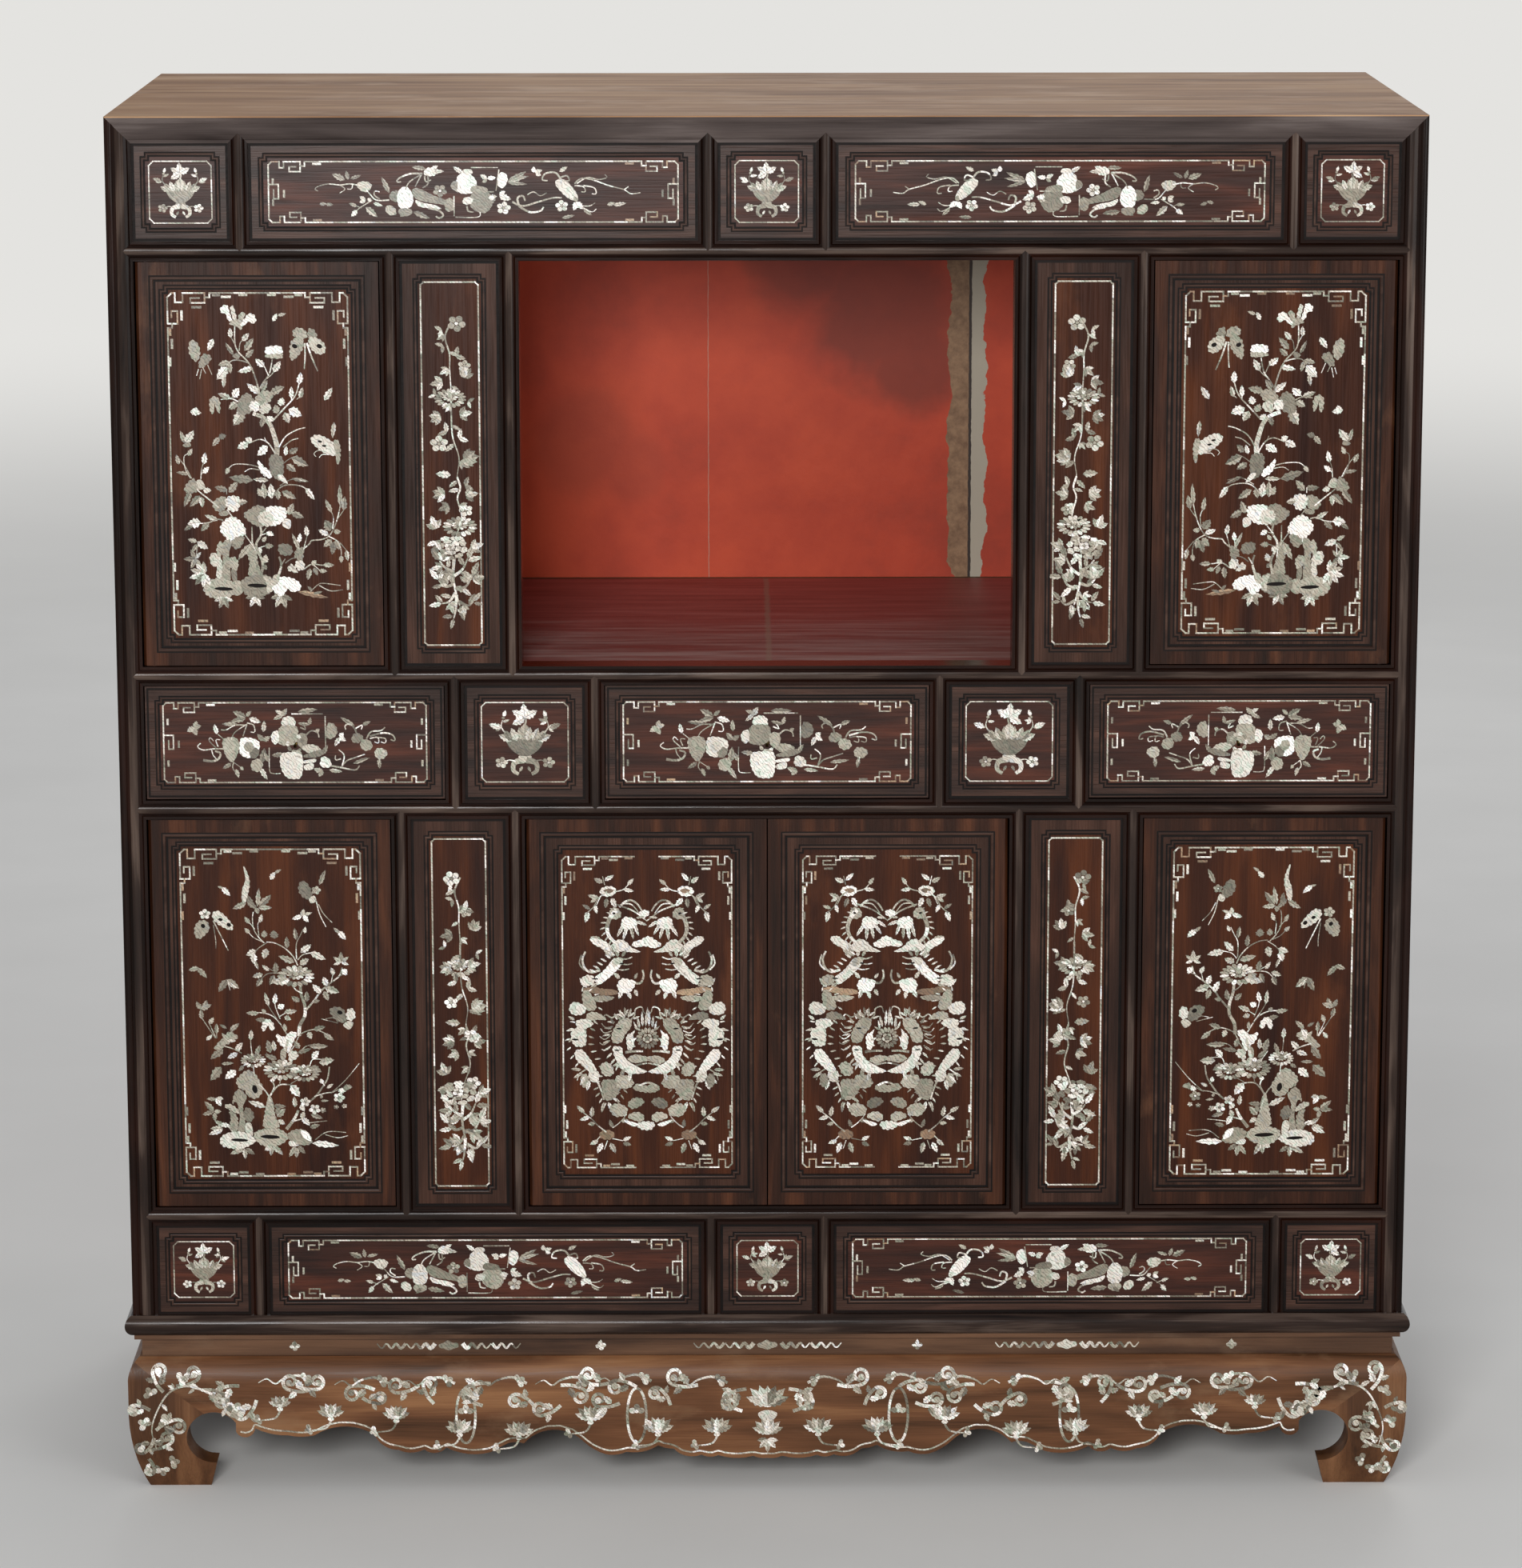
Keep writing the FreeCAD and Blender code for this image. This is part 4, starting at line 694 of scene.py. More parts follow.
UPPER_GARDEN = Sketch(
    size=(175, 317),
    stems=(
        (1.5, (88, 93), (86, 84), (82, 72), (77, 63), (68, 54), (65, 46), (65, 31)),
        (1.2, (77, 64), (70, 62), (62, 62), (56, 67)), (1.4, (87, 90), (92, 82), (98, 74), (101, 61)),
        (0.9, (95, 79), (101, 74), (104, 68)), (0.9, (97, 76), (93, 67)),
        (0.9, (69, 53), (70, 46), (73, 43)), (0.9, (65, 47), (61, 40)), (1.2, (67, 100), (60, 97), (50, 98)),
        (0.8, (60, 97), (64, 93)),
        (1.5, (100, 118), (108, 110), (114, 104), (120, 98), (124, 92), (127, 82)),
        (0.8, (119, 99), (119, 93)), (0.8, (124, 98), (129, 94)),
        (4.8, (103, 152), (104, 142), (101, 130), (97, 120), (90, 114), (81, 111)),
        (1.3, (106, 142), (113, 132), (124, 126), (132, 124)), (1.1, (110, 142), (118, 136), (125, 134)),
        (1.3, (102, 148), (97, 140), (92, 136), (86, 135), (78, 138)), (0.8, (94, 138), (92, 133)),
        (0.9, (109, 158), (116, 153), (124, 150)),
        (1.1, (96, 164), (84, 160), (74, 158), (62, 158), (56, 162)), (0.9, (90, 164), (78, 162), (72, 165)),
        (1.3, (99, 188), (106, 180), (114, 177), (126, 178), (132, 181)),
        (0.8, (106, 178), (118, 172), (132, 174)), (1.4, (46, 198), (36, 190), (28, 184), (24, 180)),
        (0.9, (20, 171), (14, 160), (7, 151)), (0.9, (19, 171), (14, 162), (13, 151), (17, 148)),
        (0.9, (29, 172), (30, 162), (33, 154)), (0.8, (29, 168), (32, 164)), (0.8, (54, 186), (54, 181)),
        (1.2, (50, 210), (44, 209), (36, 212), (26, 213)), (1.2, (54, 200), (60, 208)),
        (1.0, (70, 222), (76, 230), (81, 238), (82, 246)),
        (2.6, (86, 262), (88, 250), (84, 240), (82, 232), (87, 223), (86, 215)), (1.4, (78, 232), (78, 216)),
        (1.3, (86, 224), (92, 217)), (0.9, (86, 224), (93, 222)), (0.9, (84, 236), (90, 234)),
        (2.4, (103, 262), (106, 252), (104, 244)), (1.3, (106, 252), (110, 246)), (1.3, (124, 240),
         (134, 232), (136, 229), (146, 228), (153, 225), (158, 218), (162, 208), (165, 196)),
        (0.9, (123, 236), (124, 230)), (1.0, (128, 238), (132, 224)),
        (0.9, (157, 218), (158, 208), (156, 202)), (0.9, (161, 210), (168, 201)),
        (1.1, (110, 250), (116, 246), (121, 245)), (1.2, (128, 256), (136, 251), (146, 252), (153, 251)),
        (0.9, (138, 252), (144, 257)), (1.0, (153, 225), (162, 230), (165, 238), (165, 243)),
        (0.9, (164, 231), (170, 238)), (0.9, (134, 277), (142, 270), (148, 269), (164, 271)),
        (0.9, (143, 271), (154, 276), (166, 275)), (0.9, (24, 234), (23, 244)), (1.0, (26, 250), (32, 258)),
        (0.8, (33, 68), (36, 74)), (0.8, (38, 66), (42, 75)), (0.8, (29, 70), (27, 76)),
        (0.8, (32, 70), (30, 79)), (1.5, (133, 46), (133, 58), (132, 70)),
        (1.7, (135, 46), (139, 58), (145, 72)), (0.8, (152, 147), (145, 145), (140, 148), (142, 151)),
        (0.8, (154, 149), (148, 149), (145, 152)),
    ),
    leaves=(
        (61, 41, 60, 32, 4.4, 2), (72, 44, 79, 37, 5, 2), (63, 57, 57, 45, 3.6, 0), (74, 53, 84, 42, 6, 0),
        (75, 59, 84, 53, 5, 0), (70, 58, 62, 58, 6, 0), (59, 63, 48, 66, 5, 0), (59, 64, 61, 74, 4.4, 0),
        (57, 68, 46, 79, 9, 2), (54, 76, 52, 87, 4, 1), (82, 69, 67, 72, 5.4, 2), (93, 68, 85, 60, 6, 2),
        (102, 73, 108, 62, 6, 2), (88, 93, 77, 82, 6, 2), (98, 92, 113, 88, 7, 0), (90, 90, 97, 81, 5, 0),
        (72, 109, 62, 122, 10, 1), (80, 104, 64, 102, 8, 0), (60, 97, 47, 93, 5.4, 1),
        (62, 96, 69, 88, 7, 2), (66, 101, 57, 106, 6.5, 1), (108, 104, 110, 96, 7, 2),
        (105, 111, 102, 103, 7, 1), (116, 107, 129, 113, 9, 2), (112, 110, 116, 120, 7, 1),
        (101, 118, 95, 113, 5.5, 2), (119, 97, 119, 86, 4.4, 2), (127, 84, 127, 73, 5.6, 2),
        (127, 97, 131, 87, 4.6, 1), (91, 115, 90, 124, 5, 0), (95, 141, 84, 149, 7.5, 2),
        (76, 138, 66, 144, 7, 2), (80, 137, 73, 134, 6, 2), (112, 150, 114, 141, 4, 2),
        (116, 148, 124, 142, 5.5, 0), (118, 152, 135, 158, 8, 0), (113, 158, 122, 165, 6, 0),
        (57, 161, 53, 167, 4.4, 1), (80, 173, 57, 168, 8, 0), (95, 173, 80, 171, 4.4, 1),
        (104, 182, 103, 191, 5.4, 0), (108, 183, 122, 190, 6.4, 0), (118, 171, 134, 176, 3.4, 0),
        (131, 180, 141, 190, 5, 2), (98, 190, 96, 176, 7, 2), (91, 190, 90, 175, 6, 1),
        (88, 188, 84, 180, 5, 0), (19, 183, 11, 197, 5.6, 0), (28, 187, 17, 197, 6, 0),
        (29, 188, 30, 198, 5, 1), (31, 182, 39, 183, 5.6, 1), (18, 167, 5, 165, 3.4, 0),
        (8, 158, 5, 149, 4, 1), (17, 150, 21, 143, 4.4, 1), (32, 158, 35, 147, 5, 2),
        (31, 166, 38, 161, 5, 2), (55, 182, 42, 180, 5.6, 0), (56, 184, 66, 175, 6.4, 0),
        (64, 193, 74, 194, 5.6, 1), (45, 210, 32, 205, 4.4, 1), (28, 212, 15, 213, 9, 2),
        (20, 214, 12, 220, 4, 0), (36, 212, 28, 220, 5.4, 0), (114, 205, 119, 194, 6, 1),
        (117, 203, 129, 208, 6, 0), (76, 232, 66, 248, 6, 0), (92, 221, 99, 225, 5, 2),
        (90, 234, 99, 234, 5.4, 0), (83, 240, 87, 236, 6, 2), (90, 250, 92, 242, 6, 1),
        (88, 252, 92, 256, 5, 0), (88, 230, 92, 225, 4, 1), (124, 238, 118, 222, 3.4, 1),
        (124, 231, 124, 222, 4.4, 2), (132, 225, 131, 215, 4.4, 2), (165, 197, 164, 177, 4.2, 1),
        (168, 201, 171, 188, 5.4, 0), (156, 203, 152, 190, 4.2, 1), (155, 220, 149, 210, 8, 0),
        (153, 224, 143, 219, 5, 2), (158, 221, 165, 220, 5, 1), (156, 228, 148, 235, 6, 0),
        (158, 230, 155, 242, 6, 0), (160, 228, 162, 238, 5, 0), (165, 243, 165, 250, 4.4, 1),
        (170, 238, 172, 248, 4.2, 1), (147, 252, 158, 251, 4.4, 1), (143, 257, 151, 258, 4.2, 1),
        (136, 252, 141, 248, 5, 1), (134, 255, 133, 266, 5, 0), (138, 254, 141, 262, 4.4, 0),
        (122, 277, 152, 279, 4.6, 3), (136, 276, 131, 272, 3, 0), (137, 279, 146, 276, 3, 0),
        (24, 230, 15, 227, 4.4, 1), (24, 230, 35, 236, 6.4, 2), (24, 232, 19, 240, 3.6, 0),
        (44, 42, 38, 53, 5.4, 2), (160, 119, 160, 134, 4.2, 1), (102, 26, 107, 19, 4.4, 2),
        (107, 21, 115, 18, 3.4, 0), (151, 99, 159, 87, 5.6, 2), (14, 138, 9, 127, 4, 1),
        (15, 138, 22, 126, 7, 2), (48, 133, 41, 141, 5, 0), (47, 133, 55, 131, 5.6, 0),
        (20, 109, 31, 110, 6, 2), (24, 111, 26, 105, 6, 2),
    ),
    shapes=(
        (2, (63, 27), (58, 24), (57, 19), (52, 18), (52, 13), (58, 11), (60, 17)),
        (2, (64, 25), (62, 18), (61, 13), (64, 12), (66, 18), (67, 23)),
        (1, (68, 28), (70, 19), (75, 18), (75, 21), (72, 27)),
        (2, (70, 30), (76, 22), (79, 19), (84, 20), (86, 26), (82, 28), (79, 26), (74, 30)),
        (0, (60, 27), (66, 24), (70, 27), (72, 34), (67, 31), (61, 29)),
        (2, (94, 52), (98, 49), (109, 49), (111, 55), (104, 57), (96, 57)),
        (0, (93, 58), (100, 56), (111, 56), (110, 60), (100, 60)),
        (0, (66, 110), (68, 98), (76, 92), (82, 98), (81, 108), (73, 112)),
        (0, (83, 98), (90, 90), (101, 92), (98, 100), (90, 104), (84, 103)),
        (2, (78, 106), (80, 100), (87, 101), (87, 108), (82, 109)),
        (1, (88, 106), (92, 101), (99, 104), (96, 110), (89, 111)),
        (0, (40, 110), (39, 99), (44, 95), (49, 99), (49, 110), (46, 108), (44, 102), (43, 110)),
        (0, (97, 151), (102, 149), (109, 152), (110, 166), (106, 173), (99, 168), (96, 158)),
        (2, (98, 171), (90, 168), (86, 161), (85, 154), (91, 160), (97, 165)),
        (2, (104, 168), (109, 168), (114, 176), (107, 173)),
        (0, (13, 183), (15, 176), (22, 171), (25, 177), (24, 184)),
        (1, (25, 181), (25, 173), (30, 173), (33, 180)),
        (0, (40, 195), (44, 190), (52, 188), (55, 196), (48, 202), (42, 200)),
        (2, (54, 198), (53, 190), (60, 187), (67, 190), (65, 200), (59, 202)),
        (0, (46, 203), (54, 201), (55, 205), (48, 206)), (2, (48, 214), (54, 208), (61, 207), (68, 212),
         (72, 220), (69, 225), (62, 226), (58, 232), (52, 226), (47, 220)),
        (0, (57, 231), (62, 226), (70, 225), (68, 233), (62, 237)),
        (0, (70, 205), (76, 200), (84, 196), (93, 200), (95, 210), (88, 216), (78, 213)),
        (2, (92, 205), (93, 198), (102, 197), (111, 199), (112, 206), (106, 213), (96, 215)),
        (1, (84, 209), (88, 202), (97, 203), (99, 212), (92, 216)),
        (2, (108, 215), (110, 209), (116, 210), (115, 218)),
        (0, (48, 266), (49, 245), (47, 238), (50, 230), (56, 228), (57, 234), (55, 242), (56, 266)),
        (0, (44, 244), (43, 236), (46, 230), (49, 232), (47, 244)),
        (1, (38, 252), (36, 244), (40, 240), (44, 243), (48, 248), (47, 264), (42, 262), (43, 254)),
        (1, (57, 255), (55, 247), (60, 244), (64, 249), (62, 257)),
        (0, (58, 266), (57, 256), (62, 258), (62, 268)),
        (1, (74, 262), (75, 250), (73, 240), (77, 231), (82, 236), (83, 248), (86, 262)),
        (1, (29, 273), (36, 266), (46, 264), (57, 267), (61, 273), (58, 280), (46, 283), (34, 281)),
        (0, (58, 268), (66, 267), (68, 277), (60, 280)),
        (0, (66, 268), (74, 262), (90, 261), (98, 266), (98, 274), (90, 280), (74, 281), (68, 276)),
        (1, (88, 262), (97, 265), (98, 274), (92, 278), (91, 268)), (2, (98, 276), (97, 268), (104, 263),
         (116, 264), (124, 269), (124, 275), (116, 277), (112, 274), (106, 281)),
        (1, (98, 262), (104, 261), (103, 268), (97, 271)),
        (0, (104, 240), (104, 233), (110, 232), (116, 234), (117, 241), (110, 243)),
        (0, (119, 242), (122, 236), (128, 236), (128, 243), (126, 249), (121, 246)),
        (1, (121, 255), (120, 249), (127, 248), (129, 254), (125, 257)),
        (1, (112, 256), (115, 251), (119, 253), (122, 259), (116, 258)),
        (0, (20, 48), (23, 43), (29, 47), (31, 56), (27, 63), (21, 57)),
        (0, (29, 66), (34, 56), (42, 59), (38, 65), (32, 69)),
        (1, (121, 37), (125, 32), (133, 34), (135, 41), (126, 42)),
        (0, (118, 56), (120, 44), (129, 41), (132, 48), (127, 57), (120, 62)),
        (0, (136, 40), (137, 33), (142, 34), (145, 40), (140, 43)),
        (1, (137, 42), (144, 41), (152, 47), (152, 55), (145, 56), (138, 50)),
        (2, (137, 136), (141, 131), (149, 132), (160, 139), (164, 148), (157, 150), (146, 145)),
        (1, (159, 138), (163, 135), (166, 143), (165, 156), (162, 157), (161, 148)),
        (0, (12, 140), (18, 137), (20, 141), (15, 142)),
    ),
    stars=(
        (22, 246, 180, 5, 250, 11), (31, 260, 195, 7, 190, 15), (49, 282, 270, 4, 130, 12),
        (80, 281, 270, 4, 150, 12), (106, 280, 265, 4, 130, 14),
    ),
    slots=(
        (49, 274, 17, 3.4), (82, 271, 18, 3.6), (146, 137, 4, 2), (150, 141, 4, 2), (147, 49, 5, 4),
        (123, 49, 5, 4),
    ),
)

LOWER_GARDEN = Sketch(
    size=(174, 306),
    stems=(
        (1.0, (80, 87), (75, 82), (70, 74), (69, 64), (70, 58)), (0.8, (71, 74), (66, 68)),
        (0.8, (75, 80), (74, 70), (76, 66)), (0.8, (79, 86), (70, 82), (65, 77)),
        (1.2, (112, 108), (108, 100), (100, 92), (90, 87), (82, 86)), (0.9, (82, 87), (74, 92), (70, 97)),
        (1.0, (111, 102), (111, 88), (115, 80), (118, 74)), (0.9, (112, 103), (117, 98), (126, 96)),
        (1.1, (98, 116), (90, 115), (82, 116), (76, 121)), (0.8, (90, 114), (80, 109)),
        (3.4, (112, 174), (113, 164), (118, 155), (118, 145), (115, 136), (114, 128)),
        (1.2, (116, 134), (110, 131), (105, 125)),
        (1.8, (119, 150), (128, 140), (134, 132), (144, 124), (152, 118), (155, 110)),
        (0.8, (144, 124), (146, 116)), (0.9, (150, 119), (157, 116)),
        (1.2, (100, 172), (92, 160), (84, 154), (74, 152), (66, 153)),
        (0.9, (94, 162), (86, 151), (81, 142)), (0.9, (94, 158), (90, 148), (89, 142)),
        (0.9, (93, 156), (100, 152)), (3.0, (96, 198), (99, 186), (101, 178)),
        (1.2, (102, 190), (108, 182), (112, 174), (118, 170), (128, 168), (138, 172)),
        (1.0, (112, 190), (118, 184), (126, 182)), (0.9, (122, 202), (125, 196), (134, 196)),
        (1.0, (31, 176), (24, 166), (18, 157)), (0.9, (31, 175), (25, 162)), (0.9, (32, 176), (32, 168)),
        (1.2, (38, 183), (48, 186), (56, 190)), (0.9, (66, 192), (65, 182), (65, 176)),
        (1.0, (67, 202), (68, 212)), (0.9, (72, 192), (71, 186)), (0.8, (86, 198), (80, 190)),
        (1.6, (83, 230), (87, 222), (85, 216)), (1.5, (84, 228), (92, 220), (103, 220)),
        (1.0, (92, 220), (94, 212)), (0.9, (103, 219), (110, 215)),
        (1.2, (72, 219), (80, 228), (84, 238), (87, 250)), (3.2, (98, 262), (106, 252), (110, 244)),
        (1.4, (106, 254), (114, 252)), (0.9, (120, 256), (128, 255), (138, 254)),
        (1.8, (122, 235), (128, 230), (134, 222), (139, 214), (141, 203)), (0.9, (136, 221), (134, 218)),
        (1.1, (126, 231), (136, 228), (144, 227)), (0.9, (142, 228), (156, 216), (170, 200)),
        (0.9, (144, 227), (150, 224)), (0.9, (126, 272), (134, 266), (142, 264), (156, 265)),
        (0.9, (136, 267), (148, 270), (158, 268)), (1.2, (31, 66), (38, 80), (45, 94)),
        (0.9, (31, 70), (33, 84), (33, 92)), (1.0, (131, 48), (134, 60), (140, 72)),
        (0.9, (133, 51), (138, 60), (146, 68)), (0.7, (150, 162), (142, 160), (134, 158)),
        (0.7, (152, 160), (146, 157), (138, 158)), (0.7, (46, 124), (50, 130)), (0.9, (40, 258), (46, 264)),
        (0.8, (44, 123), (46, 131)),
    ),
    leaves=(
        (66, 69, 62, 62, 4.2, 1), (76, 68, 79, 60, 4.2, 1), (66, 78, 61, 73, 4, 0), (80, 82, 80, 75, 6, 0),
        (90, 83, 90, 75, 8, 0), (72, 94, 62, 98, 6, 1), (82, 92, 80, 102, 6.6, 1), (70, 97, 68, 106, 6.4, 2),
        (70, 103, 73, 112, 3, 1), (102, 92, 102, 81, 4.6, 0), (111, 84, 110, 73, 4, 0),
        (119, 78, 121, 72, 3.4, 1), (115, 96, 125, 88, 6, 2), (124, 96, 140, 101, 6.4, 1),
        (114, 107, 123, 102, 6, 1), (109, 105, 93, 100, 6, 1), (104, 121, 87, 126, 8.4, 1),
        (91, 115, 89, 105, 5.6, 0), (84, 113, 78, 107, 4, 1), (78, 116, 68, 119, 5, 1),
        (77, 120, 72, 128, 5, 0), (89, 117, 84, 126, 5, 0), (134, 134, 127, 125, 5.6, 2),
        (140, 127, 136, 119, 5.6, 2), (138, 129, 152, 133, 7, 1), (137, 132, 141, 141, 5.4, 0),
        (126, 142, 133, 141, 4, 0), (120, 142, 121, 132, 5, 0), (113, 142, 106, 136, 5, 0),
        (147, 117, 144, 110, 4.6, 2), (155, 116, 160, 112, 7, 2), (73, 153, 61, 152, 4.4, 0),
        (80, 153, 76, 149, 4.4, 1), (80, 159, 70, 158, 4.4, 0), (83, 146, 80, 133, 4, 1),
        (89, 144, 89, 134, 4.6, 2), (92, 148, 98, 144, 6, 2), (98, 152, 110, 149, 5, 1),
        (98, 156, 105, 158, 5, 1), (99, 170, 98, 162, 4, 0), (126, 168, 138, 166, 5, 0),
        (121, 170, 124, 177, 5.4, 1), (136, 172, 146, 178, 4.6, 1), (122, 184, 140, 182, 5.4, 0),
        (110, 190, 124, 186, 4, 0), (112, 186, 108, 178, 5, 0), (124, 195, 132, 189, 6, 2),
        (131, 199, 146, 198, 7.4, 1), (124, 202, 134, 207, 5.4, 0), (18, 158, 17, 149, 4.4, 0),
        (25, 163, 29, 156, 4.6, 1), (32, 172, 32, 162, 4, 0), (42, 167, 35, 163, 3, 0),
        (45, 169, 54, 162, 4.6, 0), (22, 178, 27, 172, 4, 1), (38, 186, 27, 197, 6.6, 0),
        (52, 190, 42, 195, 5, 2), (50, 188, 58, 181, 5.4, 2), (65, 178, 65, 168, 4.4, 1),
        (70, 192, 73, 182, 4.4, 0), (84, 190, 80, 178, 6, 0), (88, 188, 87, 178, 4.4, 1),
        (90, 196, 79, 190, 4.6, 0), (36, 203, 24, 215, 8.6, 0), (50, 206, 40, 215, 7.4, 2),
        (36, 200, 48, 200, 3, 0), (58, 202, 52, 206, 4, 0), (103, 220, 112, 231, 8.4, 2),
        (83, 216, 88, 215, 4, 2), (78, 241, 62, 234, 5.4, 1), (86, 240, 98, 239, 4.6, 0),
        (89, 250, 98, 243, 6, 1), (89, 248, 91, 240, 5, 0), (90, 253, 97, 257, 5, 1),
        (114, 251, 120, 259, 5.4, 2), (113, 252, 116, 245, 5, 1), (121, 260, 131, 259, 4.4, 0),
        (122, 248, 134, 251, 4.4, 0), (107, 241, 107, 231, 4.4, 1), (112, 239, 116, 245, 5, 2),
        (134, 219, 133, 214, 4.2, 2), (138, 223, 145, 220, 3.4, 1), (132, 235, 140, 235, 2.4, 1),
        (133, 233, 132, 229, 3, 0), (149, 226, 158, 224, 5, 2), (156, 226, 157, 219, 5, 0),
        (156, 222, 163, 223, 5, 0), (123, 275, 149, 276, 6, 2), (30, 233, 21, 234, 4, 1),
        (30, 232, 35, 240, 5, 2), (31, 232, 37, 234, 4, 1), (28, 245, 18, 236, 5, 0),
        (28, 245, 16, 247, 4.4, 0), (28, 246, 30, 254, 4.6, 0), (28, 245, 35, 245, 4.4, 0),
        (38, 259, 28, 254, 4.4, 1), (34, 257, 44, 258, 4.4, 2), (36, 261, 24, 262, 5, 1),
        (36, 262, 23, 268, 5, 2), (56, 280, 43, 286, 5, 1), (57, 280, 57, 290, 4.4, 1),
        (58, 280, 67, 285, 4.4, 0), (84, 277, 76, 281, 6.6, 2), (84, 277, 83, 287, 4.6, 1),
        (85, 277, 93, 287, 5, 1), (107, 278, 100, 288, 4.6, 0), (108, 279, 108, 289, 4.6, 1),
        (109, 278, 117, 284, 4.6, 0), (63, 50, 50, 55, 5.4, 1), (69, 53, 66, 42, 5, 0),
        (74, 53, 77, 36, 4.4, 1), (76, 53, 86, 41, 6.4, 0), (75, 54, 88, 55, 4.6, 1), (73, 54, 74, 60, 5, 0),
        (64, 48, 74, 55, 5, 0), (40, 35, 48, 43, 4.8, 2), (41, 36, 36, 34, 2.4, 1), (87, 28, 92, 21, 5, 2),
        (91, 22, 98, 19, 3, 0), (117, 62, 107, 64, 4.4, 2), (117, 62, 118, 55, 4.4, 1),
        (118, 61, 127, 59, 3.4, 1), (118, 61, 124, 67, 5, 2), (152, 76, 159, 84, 5.4, 2),
        (153, 78, 147, 73, 3.4, 1), (16, 110, 6, 112, 4.6, 0), (15, 110, 23, 120, 5, 0),
        (43, 121, 35, 133, 6.6, 0), (43, 121, 55, 129, 6.4, 1), (134, 33, 142, 20, 4.4, 0),
        (17, 149, 14, 141, 5, 0), (20, 149, 23, 140, 5, 0), (17, 149, 28, 145, 5, 1),
    ),
    shapes=(
        (1, (61, 15), (65, 22), (67, 31), (65, 42), (62, 50), (59, 46), (60, 36), (63, 28)),
        (2, (76, 168), (77, 161), (82, 158), (87, 162), (88, 168), (84, 168), (82, 164), (79, 169)),
        (2, (90, 172), (97, 175), (104, 170), (110, 172), (106, 180), (102, 190), (98, 186), (92, 180)),
        (1, (102, 198), (102, 190), (108, 188), (111, 193), (106, 197)),
        (0, (94, 196), (94, 188), (98, 186), (99, 194)),
        (0, (32, 182), (38, 176), (44, 170), (53, 175), (46, 179), (42, 182)),
        (0, (29, 185), (36, 180), (40, 183), (34, 187)), (1, (50, 216), (56, 209), (62, 206), (69, 210),
         (73, 217), (76, 222), (74, 229), (68, 233), (61, 230), (58, 225), (53, 223)), (0, (46, 238),
         (48, 228), (53, 224), (58, 228), (60, 232), (56, 241), (58, 252), (57, 264), (51, 264), (53, 250),
         (50, 236)), (0, (43, 262), (44, 250), (42, 245), (47, 246), (51, 252), (50, 264)),
        (1, (38, 240), (44, 238), (52, 244), (51, 247), (44, 244)),
        (0, (56, 248), (60, 241), (66, 246), (66, 252), (61, 255)),
        (1, (58, 264), (59, 256), (64, 257), (65, 268)),
        (1, (76, 260), (77, 248), (79, 238), (82, 229), (86, 238), (87, 248), (91, 260)),
        (1, (33, 272), (40, 266), (50, 264), (60, 266), (68, 272), (64, 276), (54, 280), (40, 279)),
        (2, (33, 273), (37, 267), (47, 265), (48, 272), (42, 278), (36, 278)),
        (0, (66, 267), (74, 262), (88, 261), (97, 265), (99, 271), (90, 277), (74, 277)),
        (1, (99, 268), (104, 263), (113, 262), (120, 266), (123, 274), (116, 277), (104, 275)),
        (2, (112, 263), (119, 265), (122, 273), (115, 270)),
        (2, (100, 274), (104, 273), (110, 277), (102, 278)),
        (0, (13, 80), (13, 72), (18, 66), (25, 67), (27, 74), (22, 80), (17, 83)),
        (1, (30, 60), (36, 57), (44, 63), (50, 71), (48, 75), (40, 72), (33, 67)),
        (0, (114, 38), (116, 30), (122, 31), (127, 40), (126, 46), (119, 45)),
        (1, (124, 46), (129, 43), (131, 48), (126, 50)),
        (0, (142, 151), (146, 147), (154, 148), (158, 154), (157, 161), (149, 160)),
        (2, (158, 156), (160, 149), (165, 149), (167, 156), (162, 160)),
        (1, (155, 164), (160, 160), (165, 162), (161, 168)),
    ),
    blooms=(
        (MUM, 110, 118, 35), (MUM, 117, 209, 28), (MUM, 94, 206, 34), (MUM, 67, 197, 24),
        (BLOSSOM, 23, 60, 11), (BLOSSOM, 131, 38, 9), (BLOSSOM, 126, 243, 11), (BLOSSOM, 150, 232, 11),
        (BLOSSOM, 117, 236, 10), (BLOSSOM, 134, 244, 6), (BLOSSOM, 147, 241, 5), (BLOSSOM, 155, 240, 5),
    ),
    stars=((154, 105, 90, 5, 210, 10), (42, 178, 60, 3, 120, 11)),
    slots=(
        (68, 224, 5, 8), (82, 269, 18, 3.8), (52, 272, 16, 3), (21, 71, 4, 4), (38, 65, 4, 3),
        (46, 70, 4, 4), (152, 152, 5, 4),
    ),
)

